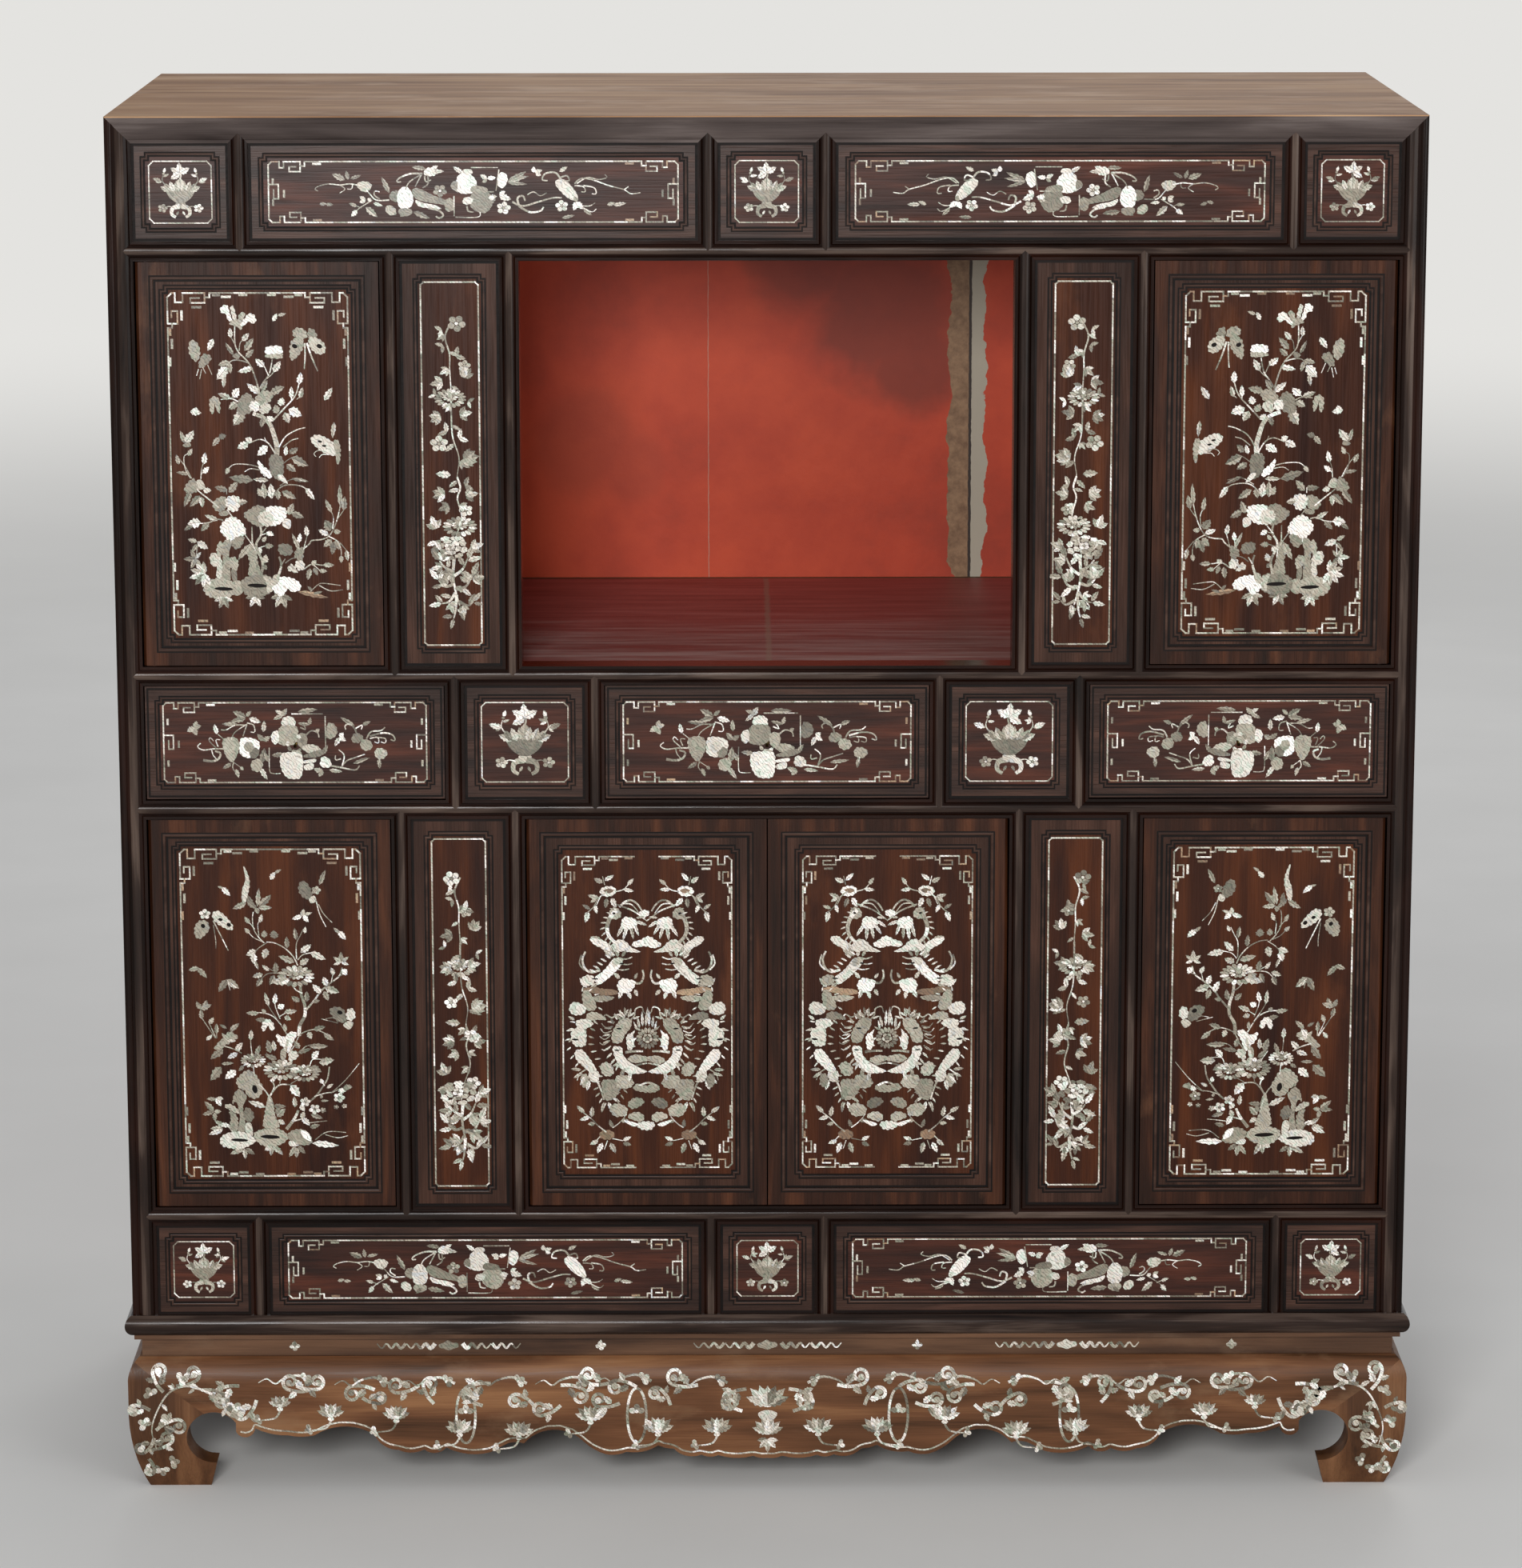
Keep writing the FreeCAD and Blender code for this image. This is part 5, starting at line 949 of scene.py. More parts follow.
VESSELS = Sketch(
    size=(242, 71),
    ruffle=0.8,
    stems=(
        (1.1, (118, 10), (147, 10)), (1.1, (149, 12), (149, 42)),
        (1.0, (97, 40), (97, 60), (100, 63), (107, 63)), (1.2, (76, 20), (66, 20), (58, 24), (53, 24)),
        (1.1, (77, 19), (66, 26), (62, 33)), (1.2, (77, 19), (73, 30)),
        (1.2, (77, 18), (83, 20), (84, 26), (80, 26)),
        (1.4, (57, 41), (46, 41), (36, 42), (31, 39), (34, 36)),
        (1.1, (48, 40), (42, 34), (43, 31), (46, 34)), (1.1, (50, 39), (48, 33), (52, 33)),
        (2.4, (36, 51), (44, 52), (50, 50), (52, 45), (47, 43)), (1.1, (44, 41), (45, 46), (48, 50)),
        (0.9, (50, 28), (56, 33)), (1.2, (64, 53), (63, 58), (66, 62)), (0.9, (64, 53), (71, 58)),
        (1.6, (178, 29), (176, 23), (171, 19), (167, 21), (168, 24)), (1.3, (177, 23), (183, 20), (182, 24)),
        (1.5, (187, 32), (191, 26), (200, 25), (204, 22)),
        (1.7, (190, 30), (202, 27), (211, 29), (213, 34), (209, 33)),
        (1.2, (190, 32), (197, 31), (198, 36), (194, 35)), (1.2, (196, 31), (204, 32), (204, 36), (200, 35)),
        (1.4, (163, 58), (168, 52), (176, 49), (185, 46)), (1.6, (152, 56), (164, 58), (176, 60), (180, 56)),
        (1.3, (164, 56), (166, 47), (161, 42)), (1.3, (163, 50), (158, 51), (158, 47)),
        (0.9, (199, 49), (198, 54)), (1.3, (126, 22), (131, 24), (129, 20)),
        (1.5, (130, 30), (136, 25), (142, 27), (143, 31)),
    ),
    leaves=(
        (49, 28, 48, 19, 4.2, 2), (76, 13, 64, 8, 6, 0), (76, 14, 62, 16, 5, 0), (79, 14, 90, 17, 5.4, 2),
        (76, 12, 82, 8, 4, 0), (68, 19, 54, 18, 4, 0), (62, 54, 54, 59, 4, 0), (66, 59, 68, 67, 4, 1),
        (70, 57, 73, 60, 3.4, 0), (92, 26, 93, 16, 4.4, 1), (90, 54, 92, 40, 6, 0), (97, 53, 93, 44, 4, 0),
        (88, 58, 96, 68, 4.4, 1), (92, 34, 86, 28, 5, 0), (92, 34, 98, 30, 5, 0), (110, 11, 102, 16, 4, 1),
        (110, 10, 103, 7, 4, 1), (109, 12, 114, 5, 5, 1), (124, 8, 142, 8, 5, 0), (134, 20, 124, 17, 3.4, 0),
        (134, 20, 136, 13, 4, 0), (110, 46, 99, 46, 4.6, 0), (120, 43, 127, 47, 5, 0),
        (176, 21, 163, 13, 4, 0), (183, 20, 191, 17, 4, 0), (174, 54, 190, 51, 3.4, 0),
        (152, 60, 164, 62, 3.6, 1), (146, 62, 138, 58, 5, 1), (146, 60, 142, 66, 5, 0),
        (162, 31, 158, 39, 4.4, 2), (162, 31, 166, 27, 5, 2), (162, 31, 168, 34, 4.4, 2),
        (198, 50, 198, 59, 3.6, 0), (29, 22, 22, 26, 6, 1), (29, 22, 30, 16, 5, 0), (28, 22, 35, 21, 5, 1),
        (28, 23, 31, 29, 5, 1), (146, 46, 152, 38, 4, 0), (140, 26, 144, 24, 4, 0),
    ),
    shapes=(
        (0, (54, 34), (58, 31), (66, 31), (70, 37), (68, 45), (63, 53), (58, 49), (55, 42)),
        (2, (70, 38), (71, 32), (78, 31), (87, 34), (88, 41), (84, 48), (76, 49), (70, 45)),
        (0, (79, 43), (84, 40), (88, 43), (85, 49), (80, 49)),
        (1, (74, 41), (75, 36), (80, 35), (83, 40), (79, 44)),
        (0, (80, 58), (81, 52), (88, 50), (91, 55), (88, 61), (83, 61)),
        (2, (109, 20), (110, 14), (116, 12), (121, 15), (121, 21), (115, 23)), (0, (105, 30), (107, 22),
         (113, 20), (122, 21), (124, 27), (122, 35), (117, 38), (110, 38), (106, 36)),
        (2, (99, 32), (100, 27), (105, 25), (106, 34), (102, 37)),
        (0, (123, 36), (124, 28), (131, 28), (132, 36), (127, 40)),
        (2, (108, 46), (117, 44), (126, 45), (128, 54), (126, 66), (120, 68), (112, 66), (107, 56)),
        (1, (127, 40), (134, 37), (142, 39), (144, 43), (134, 45)),
        (0, (128, 48), (136, 44), (146, 42), (147, 46), (138, 49)),
        (2, (128, 52), (139, 50), (139, 53), (129, 54)), (2, (129, 56), (137, 54), (137, 59), (130, 60)),
        (0, (150, 24), (152, 18), (158, 20), (160, 27), (155, 32), (150, 31)),
        (2, (144, 52), (146, 48), (152, 50), (154, 56), (149, 58), (144, 56)),
        (0, (173, 34), (175, 28), (181, 28), (184, 32), (179, 36)),
        (0, (181, 39), (183, 33), (190, 34), (192, 40), (186, 43)),
        (1, (194, 46), (196, 41), (202, 41), (206, 45), (202, 50), (197, 50)),
    ),
)

LONG_VESSELS = Sketch(
    size=(380, 60),
    ruffle=0.6,
    stems=(
        (1.2, (86, 24), (76, 22), (66, 23), (56, 22), (47, 24), (43, 27), (46, 29)),
        (1.0, (66, 23), (71, 27), (66, 31)), (1.0, (78, 23), (77, 27), (73, 27)),
        (1.3, (112, 38), (100, 38), (94, 32), (91, 28)), (1.4, (103, 37), (98, 33), (99, 29), (103, 30)),
        (1.1, (96, 38), (90, 42), (84, 46), (80, 50)), (0.9, (86, 46), (80, 43)),
        (1.8, (143, 12), (132, 12), (122, 16), (119, 20), (123, 20)), (1.4, (143, 12), (131, 20), (127, 28)),
        (1.3, (142, 13), (136, 25)), (1.4, (145, 14), (146, 20), (151, 18)),
        (1.6, (148, 14), (148, 22), (143, 26)), (2.0, (148, 46), (157, 48), (162, 53), (158, 56), (155, 54)),
        (1.1, (188, 6), (213, 6)), (1.1, (214, 8), (211, 29)), (1.1, (209, 30), (199, 30)),
        (1.1, (172, 34), (172, 54)), (1.1, (173, 55), (194, 55), (196, 50)),
        (1.6, (184, 44), (185, 49), (190, 50)), (1.8, (226, 40), (236, 44), (250, 40), (264, 36), (272, 36)),
        (2.0, (232, 43), (231, 36), (236, 34), (238, 39)), (2.0, (232, 44), (242, 50), (252, 49), (255, 45)),
        (1.0, (240, 33), (246, 30), (252, 34), (258, 31)),
        (1.8, (271, 17), (266, 11), (257, 12), (254, 18), (259, 19)),
        (1.6, (271, 16), (277, 14), (279, 19), (274, 19)),
        (1.3, (284, 22), (290, 17), (300, 18), (316, 24), (330, 28), (336, 32), (345, 31)),
        (1.1, (330, 28), (334, 25)), (1.2, (286, 22), (296, 16), (306, 18), (314, 16), (312, 13)),
        (1.2, (284, 24), (292, 25), (294, 30), (290, 30)), (1.3, (292, 24), (302, 26), (304, 32), (300, 32)),
        (1.0, (290, 44), (298, 44), (303, 41)), (1.0, (292, 46), (300, 50), (304, 47)),
        (1.2, (176, 30), (170, 26)),
    ),
    leaves=(
        (71, 18, 59, 12, 5.4, 0), (74, 18, 72, 9, 4, 0), (76, 17, 86, 13, 3, 0), (90, 38, 84, 35, 4, 1),
        (90, 38, 84, 40, 4.4, 2), (92, 39, 95, 36, 4, 2), (97, 41, 106, 43, 3.4, 2),
        (82, 44, 74, 42, 3.4, 1), (82, 48, 76, 54, 4.6, 2), (90, 45, 101, 54, 5.4, 1),
        (112, 31, 105, 15, 4.4, 0), (146, 7, 133, 6, 4, 0), (150, 10, 163, 11, 4, 1),
        (150, 9, 158, 5, 4.4, 2), (134, 50, 150, 54, 5, 0), (180, 11, 171, 6, 4, 2),
        (222, 20, 239, 9, 4.4, 0), (222, 20, 242, 17, 3.4, 1), (222, 21, 240, 24, 3, 0),
        (246, 11, 246, 5, 4.4, 2), (247, 11, 254, 8, 4.4, 1), (248, 12, 253, 14, 4, 2),
        (270, 10, 278, 6, 4, 1), (286, 40, 282, 48, 5.4, 2), (286, 40, 292, 47, 5.4, 2),
        (286, 40, 284, 34, 4.4, 1), (272, 56, 284, 54, 3, 0), (314, 43, 322, 41, 3.6, 1),
        (320, 43, 332, 43, 3.6, 1), (47, 42, 54, 41, 3.4, 0), (53, 42, 60, 43, 3.4, 0),
        (203, 17, 196, 14, 4.4, 2), (203, 17, 211, 15, 4.4, 2), (203, 18, 198, 20, 3.4, 1),
        (128, 50, 122, 55, 4, 0), (204, 36, 212, 35, 5, 2), (214, 34, 225, 38, 6, 2),
        (214, 33, 220, 30, 4.4, 2), (292, 47, 300, 53, 3.4, 0),
    ),
    shapes=(
        (1, (82, 23), (85, 20), (92, 20), (96, 24), (91, 30), (85, 28)),
        (0, (112, 36), (114, 30), (120, 29), (122, 35), (118, 40)),
        (1, (108, 47), (111, 43), (117, 46), (118, 52), (113, 53), (110, 51)),
        (2, (119, 36), (122, 27), (128, 25), (133, 31), (134, 40), (130, 46), (122, 46)),
        (0, (120, 48), (126, 46), (133, 48), (131, 53), (123, 54)), (0, (133, 30), (136, 26), (143, 28),
         (152, 33), (164, 38), (170, 44), (158, 42), (146, 40), (137, 37)),
        (2, (136, 38), (144, 41), (154, 43), (160, 47), (148, 46), (139, 44)),
        (2, (144, 11), (148, 6), (156, 8), (154, 14), (147, 14)),
        (0, (163, 40), (168, 36), (172, 40), (171, 48), (165, 49)),
        (2, (174, 22), (176, 14), (182, 11), (188, 13), (193, 20), (192, 29), (184, 32), (176, 30)),
        (2, (180, 12), (181, 8), (188, 8), (189, 12)), (0, (169, 25), (171, 20), (175, 20), (175, 28)),
        (2, (213, 16), (215, 11), (220, 12), (222, 18), (218, 26), (213, 24)),
        (0, (186, 38), (190, 31), (204, 31), (208, 38), (206, 46), (200, 51), (192, 49), (187, 44)),
        (2, (180, 38), (184, 35), (190, 37), (187, 42), (181, 42)),
        (0, (188, 30), (190, 24), (202, 26), (202, 31)),
        (2, (266, 22), (270, 17), (277, 20), (285, 30), (287, 38), (281, 38), (273, 32)),
    ),
    blooms=((BLOSSOM, 159, 29, 13), (BLOSSOM, 218, 46, 13), (BLOSSOM, 272, 44, 12), (BLOSSOM, 207, 38, 7)),
)


DRAGONS = Sketch(
    size=(157, 287),
    ruffle=1.0,
    slim=0.9,
    fins=(
        (8, 5.5, 1, -1, (49.2, 49), (42.5, 57), (39.6, 66), (42.5, 74), (48.3, 80)),
        (7, 6.5, 2, -1, (53.1, 88), (43.5, 94), (35.8, 101), (27.2, 109)),
        (7, 6.0, 1, 1, (28.1, 150), (24.3, 160), (23.3, 174), (30.1, 188), (35.8, 200)),
        (6, 5.5, 2, -1, (11.8, 152), (7, 162), (7, 174), (11.8, 186), (18.5, 196)),
        (9, 7.5, 1, -1, (48.3, 152), (43.5, 164), (44.4, 178), (51.1, 190), (60.7, 198)),
        (5, 7.0, 2, 1, (50.2, 150), (55.9, 146), (62.7, 147), (67.5, 152)),
        (6, 6.0, 1, -1, (36.8, 202), (32.9, 212), (35.8, 222), (43.5, 230)),
        (5, 5.5, 0, 1, (51.1, 204), (55.9, 213), (51.1, 222), (45.4, 227)),
        (5, 5.0, 2, 1, (17.6, 124), (26.2, 124), (32.9, 134), (31, 144)),
    ),
    stems=(
        (4.2, (50.2, 49), (44.4, 56), (41.6, 65), (43.5, 73), (49.2, 79)),
        (1.2, (41.6, 32), (33.9, 38), (29.1, 46), (22.4, 52)), (1.0, (35.8, 36), (32, 44)),
        (1.0, (49.2, 32), (56.9, 30), (62.7, 24)), (0.9, (39.6, 26), (37.7, 18)),
        (1.2, (39.6, 254), (32, 248), (26.2, 242), (18.5, 236)), (1.0, (33.9, 258), (28.1, 264)),
        (1.0, (45.4, 250), (51.1, 246), (56.9, 240)), (0.9, (45.4, 260), (55, 262)),
        (0.9, (40.6, 262), (37.7, 270)), (2.0, (53.1, 46), (58.8, 41), (64.6, 40), (70.3, 44), (74.2, 50)),
        (1.6, (51.1, 44), (56.9, 46), (66.5, 50), (76.1, 57), (79, 59)),
        (1.3, (56.9, 43), (64.6, 44), (71.3, 52)),
        (2.4, (34.8, 104), (26.2, 106), (20.5, 102), (18.5, 94), (21.4, 87)),
        (1.6, (20.5, 104), (15.7, 98), (17.6, 90)), (1.5, (53.1, 93), (58.8, 94), (64.6, 92)),
        (1.4, (51.1, 97), (58.8, 99), (64.6, 98)), (1.3, (48.3, 102), (55, 104), (61.7, 103)),
        (2.2, (66.5, 116), (72.2, 116), (75.1, 110), (74.2, 104)),
        (1.6, (56.9, 148), (51.1, 145), (45.4, 148), (39.6, 145), (36.8, 150)),
        (1.4, (62.7, 150), (66.5, 146), (67.5, 140), (73.2, 138), (75.1, 143), (78, 145)),
        (1.1, (46.4, 156), (39.6, 157), (35.8, 153)), (1.1, (45.4, 160), (38.7, 162), (34.8, 158)),
        (1.1, (44.4, 164), (38.7, 168), (33.9, 165)), (1.1, (43.5, 169), (37.7, 173), (33.9, 171)),
        (1.1, (44.4, 174), (38.7, 178), (35.8, 177)), (2.4, (57.9, 180), (65.5, 179), (74.2, 179)),
        (1.8, (64.6, 193), (72.2, 191), (78, 190)), (2.0, (28.1, 200), (33.9, 212), (37.7, 224)),
        (1.2, (20.5, 196), (14.7, 200), (12.8, 206)),
    ),
    leaves=(
        (33.9, 38, 24.3, 34, 4, 1), (30.1, 44, 32.9, 52, 4, 2), (26.2, 48, 18.5, 44, 3.6, 0),
        (24.3, 50, 20.5, 60, 5, 2), (37.7, 24, 30.1, 19, 4.4, 1), (39.6, 22, 47.3, 16, 4, 2),
        (60.7, 26, 66.5, 20, 4, 1), (56.9, 30, 66.5, 31, 3.6, 2), (45.4, 38, 51.1, 46, 5, 2),
        (41.6, 38, 39.6, 47, 4.4, 0), (32, 38, 26.2, 42, 3.6, 1), (29.1, 246, 22.4, 247, 4, 1),
        (24.3, 240, 14.7, 242, 4, 2), (26.2, 240, 26.2, 230, 4.4, 1), (19.5, 236, 11.8, 230, 4, 1),
        (32, 262, 24.3, 266, 4.6, 1), (35.8, 264, 32, 274, 5, 2), (43.5, 264, 47.3, 274, 5, 1),
        (55, 262, 62.7, 258, 4, 2), (55, 264, 62.7, 267, 4.4, 0), (53.1, 244, 60.7, 243, 4, 0),
        (56.9, 240, 56.9, 231, 4, 1), (45.4, 250, 43.5, 242, 4, 0), (56.9, 62, 51.1, 74, 3.4, 2),
        (59.8, 64, 57.9, 77, 3.4, 2), (63.6, 64, 65.5, 76, 3, 1), (66.5, 62, 72.2, 72, 3, 2),
        (68.4, 59, 78, 64, 3, 2), (68.4, 56, 77, 56, 2.4, 1), (45.4, 92, 37.7, 84, 4, 1),
        (47.3, 92, 43.5, 82, 3.6, 0), (51.1, 92, 51.1, 83, 3.4, 1), (55, 92, 58.8, 85, 3, 0),
        (66.5, 112, 70.3, 107, 3, 1), (53.1, 112, 47.3, 106, 4, 1), (55, 122, 51.1, 130, 4, 2),
        (60.7, 124, 62.7, 131, 4, 2), (66.5, 122, 70.3, 128, 4, 1), (57.9, 148, 51.1, 141, 2.6, 1),
        (58.8, 147, 56.9, 138, 2.4, 0), (60.7, 148, 62.7, 139, 2.4, 1), (55, 150, 47.3, 144, 2.4, 0),
        (61.7, 166, 66.5, 159, 2.6, 2), (62.7, 170, 68.4, 166, 2.4, 2), (61.7, 174, 67.5, 174, 2.4, 2),
        (47.3, 154, 43.5, 148, 2.4, 0), (53.1, 190, 45.4, 192, 3, 1), (56.9, 195, 53.1, 204, 3.4, 0),
        (62.7, 198, 60.7, 207, 3.4, 2), (16.6, 196, 7, 196, 3, 1), (17.6, 199, 9, 203, 3, 1),
        (20.5, 202, 14.7, 210, 3, 2), (24.3, 206, 20.5, 215, 4, 2), (22.4, 120, 14.7, 112, 4, 2),
        (32, 116, 24.3, 122, 3.6, 1), (45.4, 216, 53.1, 218, 3, 0), (45.4, 222, 53.1, 226, 3, 1),
        (41.6, 226, 45.4, 236, 3.4, 2), (37.7, 226, 35.8, 236, 3, 1), (35.8, 76, 26.2, 73, 4, 1),
        (47.3, 84, 45.4, 90, 3, 1), (10.9, 150, 5.1, 146, 3, 1), (9.9, 158, 4.2, 160, 3, 1),
        (9.9, 166, 5.1, 171, 3, 1), (72.2, 160, 66.5, 156, 2, 1),
    ),
    shapes=(
        (2, (34.8, 30), (39.6, 27), (47.3, 27), (51.1, 31), (47.3, 36), (39.6, 37), (34.8, 34)),
        (BROWN, (37.7, 31), (43.5, 29), (48.3, 31), (43.5, 34)),
        (BROWN, (32, 257), (35.8, 252), (43.5, 252), (48.3, 256), (44.4, 261), (35.8, 261)),
        (1, (43.5, 56), (43.5, 50), (48.3, 46), (54, 49), (55, 55), (49.2, 58)),
        (2, (54, 60), (56.9, 55), (62.7, 55), (68.4, 57), (70.3, 62), (66.5, 66), (58.8, 67), (55, 65)),
        (2, (24.3, 74), (30.1, 74), (39.6, 77), (47.3, 84), (43.5, 89), (35.8, 84), (28.1, 80)),
        (2, (43.5, 84), (46.4, 78), (53.1, 75), (59.8, 78), (64.6, 83), (74.2, 88), (62.7, 88), (55, 87),
         (48.3, 88)), (2, (28.1, 112), (35.8, 106), (41.6, 100), (47.3, 93), (55, 92), (56.9, 97),
         (49.2, 106), (41.6, 113), (32, 119)),
        (1, (45.4, 95), (51.1, 92), (56.9, 94), (53.1, 99), (47.3, 101)),
        (1, (16.6, 112), (22.4, 108), (30.1, 110), (29.1, 117), (22.4, 119), (16.6, 117)), (2, (50.2, 116),
         (55, 111), (61.7, 112), (68.4, 114), (66.5, 121), (60.7, 126), (54, 125), (50.2, 121)),
        (BROWN, (14.7, 122), (26.2, 119), (37.7, 121), (49.2, 122), (53.1, 126), (39.6, 128), (26.2, 125)),
        (0, (26.2, 129), (35.8, 127), (49.2, 129), (41.6, 133), (30.1, 133)),
        (1, (17.6, 124), (22.4, 121), (28.1, 128), (32, 138), (29.1, 142), (20.5, 141), (17.6, 132)),
        (2, (5.1, 138), (9, 133), (16.6, 134), (22.4, 139), (19.5, 145), (10.9, 146), (6.1, 143)),
        (0, (20.5, 146), (26.2, 142), (34.8, 144), (41.6, 150), (32, 150), (24.3, 151)),
        (1, (10.9, 152), (15.7, 149), (24.3, 149), (29.1, 154), (22.4, 158), (14.7, 160)),
        (1, (7, 160), (12.8, 156), (21.4, 158), (22.4, 168), (20.5, 175), (10.9, 175), (7, 168)),
        (2, (9.9, 178), (16.6, 176), (22.4, 182), (28.1, 190), (32, 198), (26.2, 200), (17.6, 193),
         (10.9, 186)), (2, (22.4, 200), (28.1, 196), (33.9, 199), (32.9, 206), (26.2, 208)),
        (0, (15.7, 202), (20.5, 199), (24.3, 205), (21.4, 213), (16.6, 211)), (1, (50.2, 152), (56.9, 147),
         (64.6, 149), (63.6, 157), (57.9, 164), (54, 172), (45.4, 172), (44.4, 163)), (2, (44.4, 174),
         (54, 174), (55, 181), (60.7, 188), (70.3, 194), (79.9, 199), (68.4, 201), (56.9, 199), (49.2, 190)),
        (2, (58.8, 164), (63.6, 162), (66.5, 168), (65.5, 176), (60.7, 179), (58.8, 172)),
        (1, (33.9, 192), (39.6, 188), (46.4, 193), (47.3, 200), (41.6, 203), (35.8, 200)),
        (0, (34.8, 206), (43.5, 204), (51.1, 206), (54, 213), (49.2, 222), (39.6, 226), (35.8, 217)),
        (1, (47.3, 203), (55, 200), (62.7, 203), (66.5, 209), (60.7, 214), (51.1, 213)),
        (1, (41.6, 232), (47.3, 227), (55, 228), (60.7, 233), (56.9, 239), (47.3, 240)),
        (0, (58.8, 228), (64.6, 222), (72.2, 222), (76.1, 226), (70.3, 231), (62.7, 233)),
        (1, (62.7, 236), (70.3, 235), (76.1, 240), (72.2, 245), (64.6, 243), (58.8, 240)),
        (2, (55, 243), (62.7, 244), (70.3, 247), (64.6, 249)),
    ),
    slots=(
        (11, 168, 6, 2), (48, 52, 3, 2), (55, 98, 4, 1.6), (30, 112, 6, 1.4), (52, 158, 5, 1.6),
        (50, 178, 5, 1.4),
    ),
)

PEARL_AND_CLOUDS = Sketch(
    size=(157, 287),
    stems=((2.0, (70, 211), (78, 208), (87, 211)),),
    leaves=(
        (74, 157, 73, 146, 2.2, 1), (77, 156, 77, 141, 2.2, 2), (80, 156, 80, 138, 2.4, 1),
        (83, 156, 83, 142, 2.2, 2), (86, 158, 87, 147, 2.2, 1), (72, 159, 69, 151, 2, 2),
        (88, 159, 91, 151, 2, 2),
    ),
    shapes=(
        (2, (76, 52), (79, 49), (84, 50), (86, 53), (81, 56)),
        (2, (65, 81), (70, 77), (77, 73), (84, 76), (92, 79), (90, 83), (80, 82), (72, 84)),
        (0, (62, 187), (70, 183), (79, 184), (90, 182), (97, 186), (90, 190), (78, 188), (68, 191)),
        (1, (67, 213), (73, 209), (80, 211), (88, 209), (92, 214), (82, 217), (72, 217)),
        (2, (72, 246), (80, 244), (88, 246), (86, 251), (76, 252)),
    ),
)

# Climber of the narrow panels, from the corner of a line 55 wide and 337 high: points of its stem, its
# leaves (place, turn, number and length), its lowest shoots (a leaf's length and the shoot's points) and
# its blooms
CLIMBER_LINE = (55, 337)
CLIMBER_STEM = (
    (29, 37), (23, 50), (27, 66), (27, 80), (28, 100), (28, 118), (29, 142), (35, 162), (33, 180), (36, 190),
    (33, 200), (37, 218), (31, 236), (27, 255),
)
CLIMBER_LEAVES = (
    (20, 44, 200, 2, 10), (21, 58, 215, 2, 10), (33, 68, 30, 2, 12), (41, 88, 70, 4, 12),
    (20, 92, 190, 3, 12), (13, 104, 150, 2, 9), (44, 110, -20, 2, 9), (18, 124, 190, 4, 12),
    (36, 122, 10, 3, 12), (24, 138, 150, 2, 12), (35, 144, 30, 2, 12), (39, 163, 10, 5, 15),
    (27, 178, 175, 1, 14), (40, 188, 20, 2, 12), (21, 196, 180, 4, 13), (41, 197, 10, 3, 12),
    (25, 207, 200, 3, 11), (12, 228, 110, 3, 13), (12, 240, 250, 2, 12), (46, 246, 20, 3, 12),
)
CLIMBER_SHOOTS = (
    (13, (29, 256), (28, 272), (30, 286), (34, 300)), (12, (28, 268), (20, 264), (15, 258)),
    (13, (29, 272), (37, 266), (42, 256)), (13, (30, 284), (40, 282), (46, 272)),
    (12, (28, 280), (20, 282), (14, 276)), (11, (30, 288), (24, 296), (17, 298)),
    (9, (31, 290), (30, 304), (28, 312)), (10, (33, 296), (42, 300), (47, 296)),
)
UPPER_CLIMBER = (
    (BLOSSOM, 34, 38, 17), (BLOSSOM, 41, 77, 12), (MUM, 27, 107, 30), (BLOSSOM, 16, 149, 17),
    (BLOSSOM, 41, 211, 13), (MUM, 35, 226, 32), (PEONY, 25, 246, 33),
)
LOWER_CLIMBER = (
    (BLOSSOM, 20, 38, 16), (BLOSSOM, 34, 70, 12), (MUM, 27, 124, 30), (BLOSSOM, 18, 158, 13),
    (BLOSSOM, 38, 190, 14), (PEONY, 24, 246, 35), (BLOSSOM, 40, 236, 14),
)


@dataclass
class GardenDoor(Panel):
    """A door panel with a flowering tree among garden stones, inside a line with key frets."""

    garden: Sketch = UPPER_GARDEN

    def draw(self) -> None:
        """Draws the line with its frets and the garden."""
        self.fret_line(1.45, 1.0)
        self.sketch(self.garden)


@dataclass
class DragonDoor(Panel):
    """A door panel with an oval of dragons and clouds that turn to a flaming pearl."""

    def draw(self) -> None:
        """Draws the line with its frets, both halves of the oval, the pearl and the middle clouds."""
        self.fret_line(1.3, 0.9, 13.0)
        self.sketch(DRAGONS)
        self.origin = Spot(self.origin.x, self.origin.y, flip=-self.origin.flip)
        self.sketch(DRAGONS)
        self.sketch(PEARL_AND_CLOUDS)
        pearl = self.corner().at(self.across / 2, -167 / 287 * self.up)
        self.ring(pearl, 5.4, 10.6, 16, 1.0, tone=0)
        self.ring(pearl, 2.4, 4.8, 5, 1.0, 20, tone=1)
        self.disc(pearl, 3.8, tone=0)


